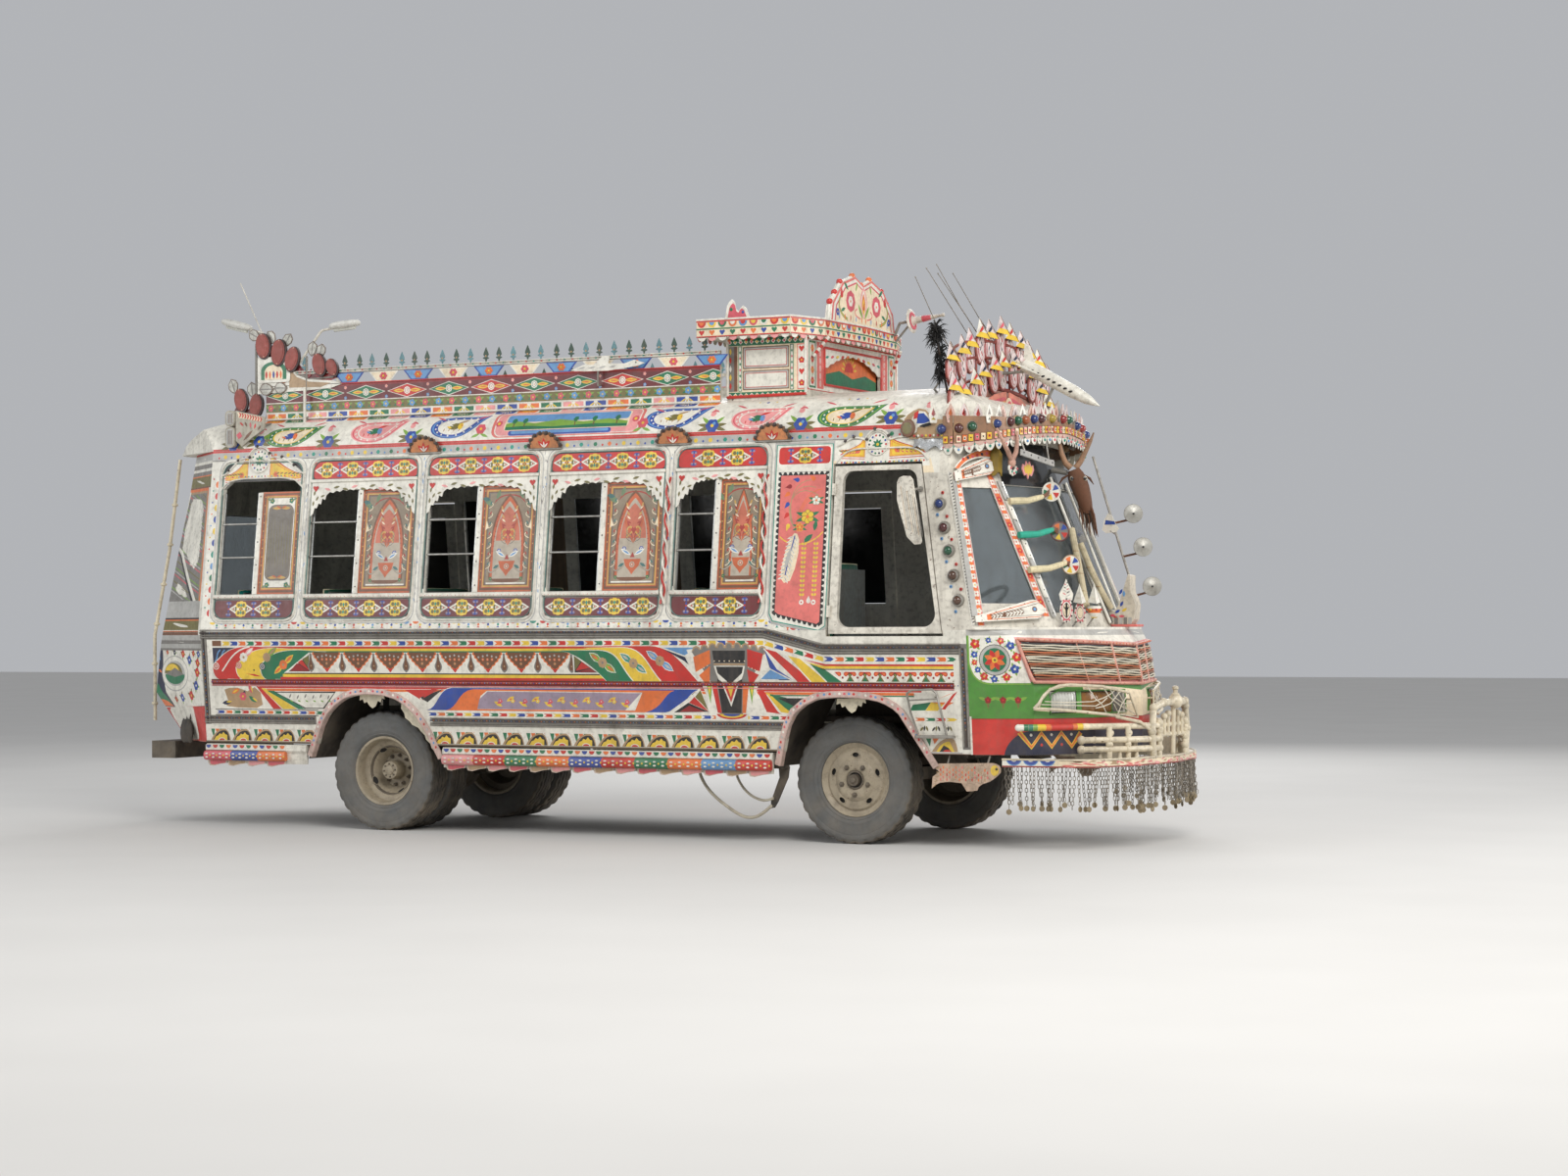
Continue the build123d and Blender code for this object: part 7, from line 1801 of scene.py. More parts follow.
def tyre(B, x, s, y0):
    """tyre with a ribbed sidewall and grooved tread; s points outward"""
    n = 96
    side = [(-.0825, .2315), (-.0905, .240), (-.0945, .2455), (-.0925, .250), (-.0965, .262), (-.0985, .270), (-.0972, .274), (-.1005, .292), (-.1018, .318), (-.1010, .338), (-.1000, .3395), (-.1000, .345), (-.1005, .3465),
            (-.0990, .368), (-.0960, .3760), (-.0925, .3850), (-.0870, .3925)]
    tread = [(-.0700, .3945), (-.0600, .3948), (-.0590, .3850), (-.0520, .3850), (-.0510, .3950), (-.0255, .3950), (-.0245, .3850), (-.0175, .3850), (-.0165, .3950)]
    half = side + tread
    prof = half + [(-a, r) for a, r in reversed(half)]
    m = len(side)
    rows = []
    for k in range(n):
        a = 2 * math.pi * k / n
        row = []
        for i, (h, r) in enumerate(prof):
            j = min(i, len(prof) - 1 - i)
            if m - 3 <= j <= m - 1 and k % 3 == 0: r -= .0085                     # lugs on the shoulders
            if j in (m, m + 1) and k % 3 == 0: r -= .0085
            if j in (m + 4, m + 5) and (k + (1 if h < 0 else 2)) % 4 == 0: r -= .0045                        # sipes
            row.append((x - X0 + r * math.cos(a), s * y0 + s * h, .395 + r * math.sin(a)))
        rows.append(row)
    rows.append(rows[0])
    for i in range(n):
        pass
    v = [p for r_ in rows[:-1] for p in r_]; q = len(prof)
    fs, ft = [], []
    for i in range(n):
        i2 = (i + 1) % n
        for j in range(q - 1):
            f = (i * q + j, i * q + j + 1, i2 * q + j + 1, i2 * q + j)
            if s < 0: f = f[::-1]
            jj = min(j, q - 2 - j)
            (ft if jj >= m - 2 else fs).append(f)
        f = (i * q + q - 1, i * q, i2 * q, i2 * q + q - 1)
        fs.append(f[::-1] if s < 0 else f)
    o = len(B.v); B.v.extend(v)
    for faces, mm in ((fs, TYRE_SIDE), (ft, TREAD)):
        k = B.slot(mm)
        for f in faces: B.f.append(tuple(i + o for i in f)); B.m.append(k)

def flip_out(B, o, centre):
    pass

def nut(B, x, y, z, s, r, h, m):
    """six sided nut standing out to the side s"""
    rows = []
    for t, k in ((0, 1.5), (.12, 1.5), (.13, 1.0), (.85, 1.0), (1.0, .82)):
        rows.append([(x + k * r * math.cos(math.radians(60 * j)), y + s * h * t, z + k * r * math.sin(math.radians(60 * j))) for j in range(6)])
    if s > 0: rows = [q[::-1] for q in rows]
    B.loft(rows, m)
    B.lathe([(h * .9, r * .5), (h * 1.5, r * .5), (h * 1.6, r * .35)], (x, y, z), (0, s, 0), m, 8)

def front_wheel(B, s):
    x, y0, z = 3.409 - X0, s * .740, .395
    n = 96
    # rim barrel, flange and the outer side of the disc with five slots
    def ring(h, r): return [(x + r * math.cos(2 * math.pi * j / n), y0 + s * h, z + r * math.sin(2 * math.pi * j / n)) for j in range(n)]
    back = [(-.083, .2295), (-.0835, .214), (-.060, .200), (.020, .188), (.046, .162)]
    # (h, r) of the visible face from the flange in
    face = [(.0775, .2295), (.0785, .2265), (.0765, .2225), (.070, .2165), (.066, .2065), (.060, .2000), (.0585, .1935), (.064, .1880), (.0695, .1800)]
    slots_r = (.172, .140)
    inner = [(.0735, .134), (.0800, .124), (.0845, .114), (.0860, .108), (.0860, .074), (.0840, .066), (.0800, .060), (.060, .0575)]
    def shell(prof, m):
        rows = [ring(h, r) for h, r in prof]
        if s < 0: rows = [q[::-1] for q in rows]
        o = len(B.v)
        B.loft(rows, m, cap=False)
    # the back of the disc and barrel
    shell(back, RIM); shell(face, RIM); shell(inner, RIM)
    # join flange and barrel
    shell([face[0], back[0]][::1], RIM)
    # slotted zone between radius .180 and .134
    slot_c = [72 * k + 18 for k in range(5)]
    ri, ro = .134, .180
    steps = n
    def hh(r): return .0695 + (.0735 - .0695) * (ro - r) / (ro - ri)
    for j in range(steps):
        a0, a1 = 360 * j / steps, 360 * (j + 1) / steps
        mid = (a0 + a1) / 2
        near = min(abs((mid - c + 180) % 360 - 180) for c in slot_c)
        if near < 9.5:
            w = .0145 * math.sqrt(max(0, 1 - (near / 9.6) ** 2)) ; rm = .1555
            radii = [ri, rm - w - .001, rm + w + .001, ro]; gaps = [1]
        else:
            radii = [ri, ro]; gaps = []
        for k in range(len(radii) - 1):
            r0, r1 = radii[k], radii[k + 1]
            pts = []
            for r, a in ((r0, a0), (r0, a1), (r1, a1), (r1, a0)):
                t = math.radians(a); pts.append((x + r * math.cos(t), y0 + s * (hh(r) if k not in gaps else hh(r) - .012), z + r * math.sin(t)))
            f = (0, 1, 2, 3) if s < 0 else (3, 2, 1, 0)
            # slot floors get the near-black painted shade in place of the dark seen through the slots
            B.add(pts, [f], SLOT_SHADE_AND_DARK if k in gaps else RIM)
    # raised lips round the slots
    for c in slot_c:
        ca = math.radians(c); pts = []
        for k in range(18):
            t = 2 * math.pi * k / 18; da = .0245 * math.cos(t); dr = .0165 * math.sin(t)
            r = .1555 + dr; aa = ca + da / .1555
            pts.append((x + r * math.cos(aa), y0 + s * (hh(r) + .0005), z + r * math.sin(aa)))
        B.tube(pts, .0028, RIM, 6, closed=True)
    # nuts, hub and bearing cap
    for k in range(5):
        a = math.radians(72 * k + 54)
        nut(B, x + .092 * math.cos(a), y0 + s * .0855, z + .092 * math.sin(a), s, .0125, .014, HUBM)
    B.lathe([(.058, .0575), (.080, .0570), (.0815, .0535), (.0815, .0480), (.072, .0470), (.072, .020), (.076, .0185), (.094, .0180), (.098, .0150), (.100, .006), (.100, .0005)], (x, y0, z), (0, s, 0), HUBM, 32)
    for k in range(5):
        a = math.radians(72 * k + 20); nut(B, x + .0505 * math.cos(a), y0 + s * .080, z + .0505 * math.sin(a), s, .0038, .005, HUBM)
    B.lathe([(.0705, .047), (.0725, .047), (.0728, .0005)], (x, y0, z), (0, s, 0), SLOT_SHADE_AND_DARK, 24)
    B.tube([(x - .020, y0 + s * .0755, z + .028), (x, y0 + s * .104, z + .010), (x + .010, y0 + s * .1035, z - .018)], .0052, HUBM, 6)
    B.lathe([(.074, .020), (.110, .0175), (.1165, .0165), (.1195, .0120), (.1198, .0005)], (x, y0, z), (0, s, 0), HUBM, 20)
    # inner face closing the wheel
    B.lathe([(.030, .036), (.030, .060), (.0575, .110), (.048, .158), (.020, .185), (-.058, .198), (-.082, .2125), (-.083, .2285)], (x, y0, z), (0, s, 0), HUBM, n // 2, cap=False)

def rear_wheel(B, s):
    x, z = 0 - X0, .395
    n = 80
    for y0, outer in ((.822, True), (.578, False)):
        c = (x, s * y0, z)
        B.lathe([(-.0840, .2295), (-.0845, .226), (-.082, .2145), (-.062, .2030), (.0, .2020), (.060, .2030), (.0815, .2145), (.0845, .226), (.0840, .2295), (.079, .2290), (.077, .2185), (.059, .2110), (.0, .2100), (-.059, .2110), (-.077, .2185), (-.079, .2290), (-.0840, .2295)], c, (0, s, 0), RIM, n, cap=False)
        if outer:
            # dished disc with slots, far inside the rim
            prof = [(.0160, .2025), (.0140, .190), (.006, .172), (-.020, .150), (-.052, .132), (-.078, .118), (-.0845, .112), (-.0845, .068), (-.080, .062), (.0165, .0585), (.0195, .0550), (.0195, .0005)]
            B.lathe(prof, c, (0, s, 0), RIM, n, cap=False)
            B.lathe([(-.1035, .0005), (-.1035, .0605), (-.0955, .0605), (-.0955, .120), (-.0005, .160), (-.0005, .2025)], c, (0, s, 0), HUBM, n // 2, cap=False)
            for k in range(4):                                        # slots
                a = math.radians(90 * k + 28); pts = []
                for j in range(14):
                    t = 2 * math.pi * j / 14; r = .152 + .0125 * math.sin(t); aa = a + .030 * math.cos(t) / .152
                    h = -.0175 + (r - .152) * 1.30 + .0035
                    pts.append((x + r * math.cos(aa), s * (y0 + h), z + r * math.sin(aa)))
                # slot floors: near-black painted shade
                B.prism(pts, (0, s * .0015, 0), SLOT_SHADE_AND_DARK)
                B.tube(pts, .0025, RIM, 6, closed=True)
            for k in range(10):
                a = math.radians(36 * k + 9); nut(B, x + .098 * math.cos(a), s * (y0 - .0845), z + .098 * math.sin(a), s, .0105, .020, HUBM)
            for k in range(8):
                a = math.radians(45 * k + 5); nut(B, x + .043 * math.cos(a), s * (y0 + .0185), z + .043 * math.sin(a), s, .0058, .008, HUBM)
            B.lathe([(.0185, .030), (.0245, .0285), (.0265, .022), (.0268, .0005)], c, (0, s, 0), RIM, 20)
            B.tube([(x + .060, s * (y0 - .06), z + .13), (x + .071, s * (y0 - .02), z + .165), (x + .074, s * (y0 + .01), z + .178)], .0048, SLOT_SHADE_AND_DARK, 6)
        else:
            B.lathe([(-.0095, .2025), (.0005, .160), (.096, .120), (.096, .0605), (.1035, .0605), (.1335, .060), (.1335, .0655), (.1105, .0675), (.1105, .1235), (.0165, .1655), (.0085, .2025)], c, (0, s, 0), HUBM, n // 2, cap=False)
    B.lathe([(.002, .0545), (.340, .0545)], (x, s * .482, z), (0, s, 0), HUBM, 24)

def all_wheels():
    for s, side in ((-1, "right"), (1, "left")):
        B = Bag(); tyre(B, 3.409, s, .740); B.make(f"front_{side}_tyre_detailed", body=f"front_{side}_wheel", slot="tyre_rubber", replaces=(f"front_{side}_tyre",), smooth=30)
        B = Bag(); front_wheel(B, s); B.make(f"front_{side}_wheel_detailed", body=f"front_{side}_wheel", slot="rim_paint", replaces=(f"front_{side}_wheel",), smooth=30)
        B = Bag(); tyre(B, 0, s, .578); tyre(B, 0, s, .822); B.make(f"rear_{side}_tyres_detailed", body=f"rear_{side}_wheels", slot="tyre_rubber", replaces=(f"rear_{side}_tyres",), smooth=30)
        B = Bag(); rear_wheel(B, s); B.make(f"rear_{side}_wheels_detailed", body=f"rear_{side}_wheels", slot="rim_paint", replaces=(f"rear_{side}_wheels",), smooth=30)
all_wheels()


# ------------------------------------------------------------------ cushions, dark panes and dark lining painted as the interior's shade
VINYL = mat("vinyl_turquoise", (34, 146, 134), rough=.42, grime=.30, dust=0, bump=.22, coat=.1)
VINYL2 = mat("vinyl_green", (24, 84, 66), rough=.45, grime=.30, dust=0, bump=.22)
PIPING = mat("piping_cream", (222, 210, 176), rough=.5, grime=.3, dust=0)
# near-black pane: painted shade, a dark sheet standing in for the shaded interior seen through the windows
SHADE_PANE = mat("shade_pane", (20, 22, 24), rough=.12, var=.05, grime=.05, dust=0, bump=0, coat=.3)
def cushion(B, lo, hi, axis, m, seed=0):
    """crowned pad: soft shoulders, stitched channels and creases; axis is the direction it bulges"""
    u_ax, v_ax = [k for k in (0, 1, 2) if k != axis[0]]
    a, sg = axis
    nu, nv = ((12, 18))
    r = random.Random(seed); ph = r.uniform(0, 6)
    L = [hi[k] - lo[k] for k in range(3)]; T = L[a]
    def edge(t): return (1 - abs(2 * t - 1) ** 5.0)
    def surf(u, v, top):
        t = max(0, edge(u) * edge(v)) ** .42
        crown = .72 + .28 * math.sin(math.pi * u) ** .5 * math.sin(math.pi * v) ** .5 if 0 < u < 1 and 0 < v < 1 else .72
        ch = 1 - .10 * (max(0, math.cos(2 * math.pi * (v * L[v_ax] / .155))) ** 14) * (1 if .06 < v < .94 else 0)
        cr = 1 + .022 * math.sin(9 * u + 5 * v + ph) * math.sin(4 * v * L[v_ax] * 6 + ph)
        h = .5 + .5 * t * crown * ch * cr if top else .5 - .5 * t * (.92)
        h = min(1, max(0, h))
        p = [0, 0, 0]
        p[u_ax] = lo[u_ax] + L[u_ax] * u; p[v_ax] = lo[v_ax] + L[v_ax] * v
        p[a] = (lo[a] + T * h) if sg > 0 else (hi[a] - T * h)
        return tuple(p)
    ease = lambda t: .5 - .5 * math.cos(math.pi * t)
    us = [ease(i / nu) * .5 + (i / nu) * .5 for i in range(nu + 1)]; vs = [ease(i / nv) * .3 + (i / nv) * .7 for i in range(nv + 1)]
    top = [[surf(u, v, True) for v in vs] for u in us]; bot = [[surf(u, v, False) for v in vs] for u in us]
    V, F = [], []
    idx = {}
    for i in range(nu + 1):
        for j in range(nv + 1):
            idx[(0, i, j)] = len(V); V.append(top[i][j])
            rim = i in (0, nu) or j in (0, nv)
            if rim: idx[(1, i, j)] = idx[(0, i, j)]
            else: idx[(1, i, j)] = len(V); V.append(bot[i][j])
    for i in range(nu):
        for j in range(nv):
            q = [(i, j), (i + 1, j), (i + 1, j + 1), (i, j + 1)]
            F.append(tuple(idx[(0, *k)] for k in q)); F.append(tuple(idx[(1, *k)] for k in q[::-1]))
    # outward check
    c = Vector(V[idx[(0, nu // 2, nv // 2)]]); d = Vector(V[idx[(0, nu // 2 + 1, nv // 2)]]) - c; e = Vector(V[idx[(0, nu // 2, nv // 2 + 1)]]) - c
    n = d.cross(e); out = Vector((0, 0, 0)); out[a] = sg
    if n.dot(out) < 0: F = [f[::-1] for f in F]
    B.add(V, F, m)
    # piping round the seam
    loop = [top[i][0] for i in range(nu + 1)] + [top[nu][j] for j in range(1, nv + 1)] + [top[i][nv] for i in range(nu - 1, -1, -1)] + [top[0][j] for j in range(nv - 1, 0, -1)]
    cc = [(lo[k] + hi[k]) / 2 for k in range(3)]
    loop = [tuple(p[k] + (.0065 if p[k] < cc[k] else -.0065) * (1 if k != a and (abs(p[k] - lo[k]) < 1e-4 or abs(p[k] - hi[k]) < 1e-4) else 0) for k in range(3)) for p in loop]
    B.tube(loop, .006, PIPING, 5, closed=True)

def cushions():
    B = Bag(); k = 0
    rows = [(-1.290, [(-.860, -.270)])] + [(x, [(-.900, -.270), (.270, .900)]) for x in (-.560, .190, .940, 1.650)]
    for x, ys in rows:
        for y0, y1 in ys:
            m = (VINYL, VINYL2)[k % 2] if x > -1 else VINYL
            cushion(B, (x + .130 - X0, y0, 1.052), (x + .560 - X0, y1, 1.160), (2, 1), m, k)
            cushion(B, (x + .020 - X0, y0, 1.180), (x + .110 - X0, y1, 1.610), (0, 1), m, k + 50)
            k += 1
    cushion(B, (3.280 - X0, -.800, 1.102), (3.700 - X0, -.370, 1.200), (2, 1), VINYL2, 99)
    cushion(B, (3.180 - X0, -.800, 1.220), (3.260 - X0, -.370, 1.740), (0, 1), VINYL2, 98)
    ob = B.make("padded_seats", slot="seat_vinyl", replaces=("seat_cushions",), smooth=50)
cushions()

def panes():
    """dark panes on the far side and in the doors and a dark headlining: painted shade of the interior seen through the
    windows
    """
    B = Bag()
    for i, (x0, x1, xs) in enumerate(BAYS):
        if i in (1, 2, 3):
            a, b = x0 + .030, xs - .024
            v = [(a - X0, side_y(1.578) - .026, 1.578), (b - X0, side_y(1.578) - .026, 1.578), (b - X0, side_y(2.266) - .026, 2.266), (a - X0, side_y(2.266) - .026, 2.266)]
            B.prism(v, (0, -.003, 0), SHADE_PANE)
    B.make("shade_panes_left", slot="dark_plastic")
    for name, (x0, x1) in LEFT_DOORS.items():
        C = Bag(); a, b = x0 + .100, x1 - .090
        v = [(a - X0, side_y(1.504) - .022, 1.504), (b - X0, side_y(1.504) - .022, 1.504), (b - X0, side_y(2.146) - .022, 2.146), (a - X0, side_y(2.146) - .022, 2.146)]
        C.prism(v, (0, -.003, 0), SHADE_PANE)
        C.make("shade_pane_" + name, body=name, slot="dark_plastic")
    # the headlining's dark tone is painted shade of the interior
    L = Bag(); lm = mat("headlining_painted_shade", (44, 38, 36), rough=.9, grime=.4, dust=0, weave=18)
    L.box((-1.30 - X0, -.86, 2.575), (3.95 - X0, .86, 2.582), lm, .002)
    L.make("headlining", slot="dark_plastic")
panes()


# ------------------------------------------------------------------ nose: slats, lamps, wire guard, bars, ledge, chain fringe
NOSE = on_front(LOWER); SCREEN = on_front(UPPER)
TUBE = mat("tube_cream_worn", (208, 196, 170), rough=.42, grime=.42, chips=.5, coat=.1, dust=.25)
WIRE = mat("wire_cream", (214, 206, 186), rough=.5, grime=.3)
CHAIN = mat("chain_steel", (150, 144, 134), rough=.45, metal=.75, grime=.5, dust=.4)
COIN = mat("coin_brass", (158, 142, 112), rough=.42, metal=.7, grime=.5, dust=.4)
BLACK = mat("gloss_black", (24, 24, 26), rough=.3, grime=.2, dust=.1)
def half_u(rows, z): return breaks(rows, z)[3]
def follow(place, line, h, step=.05):
    """points along a (u, v) line at height h over the surface"""
    out = []
    for i, ((a, b), (c, d)) in enumerate(zip(line, line[1:])):
        hh = h if not isinstance(h, (list, tuple)) else None
        n = max(1, int(math.hypot(c - a, d - b) / step))
        for k in range(n):
            t = k / n; hv = h if hh is not None else h[i] + (h[i + 1] - h[i]) * t
            out.append(place(a + (c - a) * t, b + (d - b) * t, hv))
    out.append(place(*line[-1], h if not isinstance(h, (list, tuple)) else h[-1]))
    return out
def pad(B, place, u0, u1, v0, v1, h0, crown, m, nu=8, nv=5, round_=0.):
    """convex closed pane lying on a surface"""
    rows = []
    for i in range(nv + 1):
        t = i / nv; v = v0 + (v1 - v0) * t
        row = []
        for j in range(nu + 1):
            s = j / nu; u = u0 + (u1 - u0) * s
            row.append(place(u, v, h0 + crown * (1 - (2 * s - 1) ** 4) * (1 - (2 * t - 1) ** 4)))
        for j in range(nu, -1, -1):
            s = j / nu; row.append(place(u0 + (u1 - u0) * s, v, h0 - .004))
        rows.append(row)
    B.loft(rows, m)

def slats():
    B = Bag(); cols = [WIRE, mat("slat_cream", (206, 190, 160), grime=.5), mat("slat_brown", (150, 104, 74), grime=.5), WIRE, mat("slat_orange", (196, 110, 70), grime=.45)]
    frame_ = mat("slat_frame_pink", (206, 146, 128), grime=.5)
    n = 15
    for k in range(n):
        t = (k + .5) / n; z = 1.236 - .212 * t
        u0 = .318 + .085 * t
        for s in (1, -1):
            H = half_u(LOWER, z)
            zz = lambda u: z - .030 * max(0, (u - u0)) / 1.0 * (1 - .3 * t) + .0022 * math.sin(26 * u + 1.7 * k)
            line = []
            u = u0
            while u < H:
                line.append(u); u += .045
            line.append(H)
            pts = [NOSE(a, zz(a), .014) for a in line]
            if s < 0: pts = [(p[0], -p[1], p[2]) for p in pts]
            B.tube(pts, .0062, cols[(k * 3 + (1 if s < 0 else 0)) % 5], 6, flat=.8)
    for s in (1, -1):
        fl = lambda pts: [(p[0], s * p[1], p[2]) for p in pts]
        for line, r in (([(.300, 1.262), (half_u(LOWER, 1.22), 1.226)], .011), ([(.388, 1.006), (half_u(LOWER, .985), .985)], .011), ([(.300, 1.262), (.388, 1.006)], .011), ([(1.055, 1.238), (1.115, .990)], .009), ([(.70, 1.250), (.78, .998)], .004)):
            B.tube(fl(follow(NOSE, line, .015)), r, frame_, 8, flat=.9)
        for k in range(26):
            t = k / 25; B.ball(fl([NOSE(.31 + 1.0 * t, 1.2615 - .034 * t, .026)])[0], .0042, paint("red") if k % 2 else paint("orange"), 6)
    B.tube(follow(NOSE, [(half_u(LOWER, 1.22), 1.226), (half_u(LOWER, .99), .985)], .016), .008, frame_, 8)
    B.make("nose_slats", slot="painted_body", replaces=("grille_panel",))
slats()

def lamps_front():
    B = Bag(); white = mat("lamp_lens_clear", (190, 190, 182), rough=.12, var=.05, grime=.35, dust=.3, bump=.03, coat=.4)
    amber = mat("lamp_lens_amber", (138, 92, 40), rough=.14, var=.10, grime=.35, dust=.2, bump=.03, coat=.4); dull = mat("lamp_lens_dull", (108, 104, 98), rough=.3, grime=.4)
    g = paint("nose_green")
    for s in (1, -1):
        pl = (lambda u, v, h: NOSE(u, v, h)) if s > 0 else (lambda u, v, h: (lambda p: (p[0], -p[1], p[2]))(NOSE(u, v, h)))
        C = Bag()
        pad(C, pl, .508, .690, .822, .946, -.010, .012, white, 8, 6)
        pad(C, pl, .735, .820, .822, .940, -.012, .006, amber, 6, 6); pad(C, pl, .826, 1.030, .818, .940, -.012, .010, amber, 8, 6)
        pad(C, pl, 1.042, 1.175, .818, .936, -.014, .004, dull, 6, 4)
        pad(C, pl, .696, .730, .814, .948, -.008, .004, g, 2, 3); pad(C, pl, 1.032, 1.040, .814, .944, -.008, .004, g, 2, 3)
        for k in range(8):
            u = .525 + .0215 * k; C.tube([pl(u, .828, -.002), pl(u, .885, .0035), pl(u, .940, -.002)], .0022, white, 5)
        for k in range(9):
            u = .838 + .0225 * k; C.tube([pl(u, .824, -.006), pl(u, .880, -.0005), pl(u, .934, -.006)], .0022, amber, 5)
        # bright rim round the recess
        rim = follow(pl, [(.503, .813), (1.184, .812), (1.184, .950), (.56, .952), (.515, .935), (.503, .90)], .002, .06)
        C.tube(rim, .0045, g, 6, closed=True)
        if s < 0:
            C.f = [tuple(reversed(f)) for f in C.f]
            B.add(C.v, [], white); o = len(B.v) - len(C.v)
            for f, k in zip(C.f, C.m): B.f.append(tuple(i + o for i in f)); B.m.append(B.slot(C.mats[k]))
        else:
            for f, k in zip(C.f, C.m): pass
            o = len(B.v); B.v.extend(C.v)
            for f, k in zip(C.f, C.m): B.f.append(tuple(i + o for i in f)); B.m.append(B.slot(C.mats[k]))
    B.make("headlamp_lenses", slot="lamp_glass", replaces=("headlamps",))
    # wire guard
    G = Bag()
    outer = [(.390, .848), (.398, .880), (.432, .925), (.475, .958), (.545, .982), (.625, .988), (.85, .975), (1.165, .932)]
    G.tube(follow(NOSE, outer, .040, .05), .0095, TUBE, 8)
    G.tube(follow(NOSE, [(.390, .848), (.50, .842), (.712, .824), (1.015, .790)], [.040, .042, .045, .045], .05), .0095, TUBE, 8)
    G.tube(follow(NOSE, [(1.165, .932), (1.205, .860), (1.262, .776)], .042, .05), .0060, TUBE, 8); G.tube(follow(NOSE, [(1.05, .800), (1.262, .776)], .042, .05), .0042, WIRE, 6)
    G.ball(NOSE(1.015, .790, .045), .013, TUBE, 8)
    for line in ([(.44, .890), (.60, .882), (.78, .885), (.94, .925), (1.02, .955)], [(.415, .872), (.60, .865), (.80, .858), (.90, .905)], [(.745, .978), (.80, .90), (.86, .845), (.885, .815)], [(.80, .845), (.94, .870), (1.05, .935), (1.10, .940)],
                 [(.94, .962), (1.0, .90), (1.10, .865), (1.20, .870)], [(1.02, .955), (1.09, .88), (1.14, .815), (1.02, .82), (.98, .865)], [(1.165, .932), (1.07, .86), (1.015, .790)], [(.86, .975), (.93, .91), (1.05, .855), (1.235, .80)]):
        G.tube(follow(NOSE, line, .038, .04), .0034, WIRE, 6)
    for u, v in ((.40, .86), (.56, .982), (.86, .972), (1.19, .89), (.72, .823)):
        G.tube([NOSE(u, v, .002), NOSE(u, v, .040)], .006, TUBE, 6)
    G.mirrored().make("headlamp_wire_guards", slot="cream_tube")
lamps_front()

def bars():
    B = Bag()
    y_, w, g, r = paint("yellow"), paint("white"), paint("green"), paint("red")
    cuts = [(.315, .340, w), (.340, .366, g), (.366, .392, mat("teal_stripe", (40, 120, 96))), (.392, .416, paint("light_green")), (.416, .462, y_), (.462, .498, paint("orange")), (.498, .640, r), (.640, .668, paint("orange")), (.668, .705, y_), (.705, .745, paint("cream"))]
    T = [(4.560, .985), (4.662, .920), (4.874, .632)]
    acc = [0, math.hypot(.102, .065)]; acc.append(acc[1] + math.hypot(.212, .288))
    def at(d):
        k = 0 if d < acc[1] else 1
        t = (d - acc[k]) / (acc[k + 1] - acc[k]); return T[k][0] + (T[k + 1][0] - T[k][0]) * t, T[k][1] + (T[k + 1][1] - T[k][1]) * t
    for s in (-1, 1):
        for a, b, m in cuts:                                         # painted bands on the long tube
            a, b = (a - .315) * 1.09, (b - .315) * 1.09 - .0015
            brk = [a] + ([acc[1]] if a < acc[1] < b else []) + [b]
            B.tube([(at(d)[0] - X0, s * at(d)[1], .735) for d in brk], .0205, m, 12)
        B.ball((4.556 - X0, s * .987, .735), .0215, w, 12)
        for z in (.655, .598):
            B.ball((4.848 - X0, s * .702, z), .0275, TUBE, 12)
            B.lathe([(-.004, .0225), (.004, .0225)], (4.905 - X0, s * .635, z), (.57, s * -.82, 0), TUBE, 12); B.ball((5.180 - X0, s * .240, z), .0265, TUBE, 12)
            for x, y, d in ((4.985, .590, (.5, -.4)), (5.065, .500, (.6, -.6))): B.lathe([(-.007, .0205), (-.005, .0225), (.005, .0225), (.007, .0205)], (x - X0, s * y, z), (d[0], s * d[1], 0), TUBE, 12)
        for x, y, z in ((4.985, .590, .628), (5.065, .490, .628), (4.985, .575, .695), (5.065, .470, .695), (5.180, .240, .750), (5.180, .240, .700)):
            B.ball((x - X0, s * y, z), .024 if z < .74 else .028, TUBE, 12)
        for x, y in ((4.93, .60), (5.03, .535), (5.10, .43)):
            B.lathe([(.545, .0165), (.555, .0125), (.582, .0115)], (x - X0, s * y, 0), (0, 0, 1), TUBE, 10)
        for y, z, t in ((.165, .775, .10), (.09, .790, .12), (.24, .700, .05)):
            B.tube([(5.186 - X0, s * y, z - t), (5.186 - X0, s * y, z)], .0125, TUBE, 10); B.ball((5.186 - X0, s * y, z + .012), .022, TUBE, 12)
        for y in (.10, .20): B.ball((5.172 - X0, s * y, .675), .021, TUBE, 10, (1, 1.2, 1))
        for y, z in ((.330, .700), (.300, .840), (.200, .872)): B.ball(((5.165 if y > .25 else 5.195) - X0, s * y, z), .0285, TUBE, 12)
        B.tube([(5.165 - X0, s * .33, .700), (5.12 - X0, s * .42, .760), (5.06 - X0, s * .455, .775), (4.985 - X0, s * .47, .79)], .0105, TUBE, 8)
    B.lathe([(.915, .030), (.930, .014), (.945, .013), (.952, .020), (.966, .018), (.972, .006)], (5.2035 - X0, 0, 0), (0, 0, 1), TUBE, 14)
    B.make("bumper_tube_fittings", slot="cream_tube")
bars()

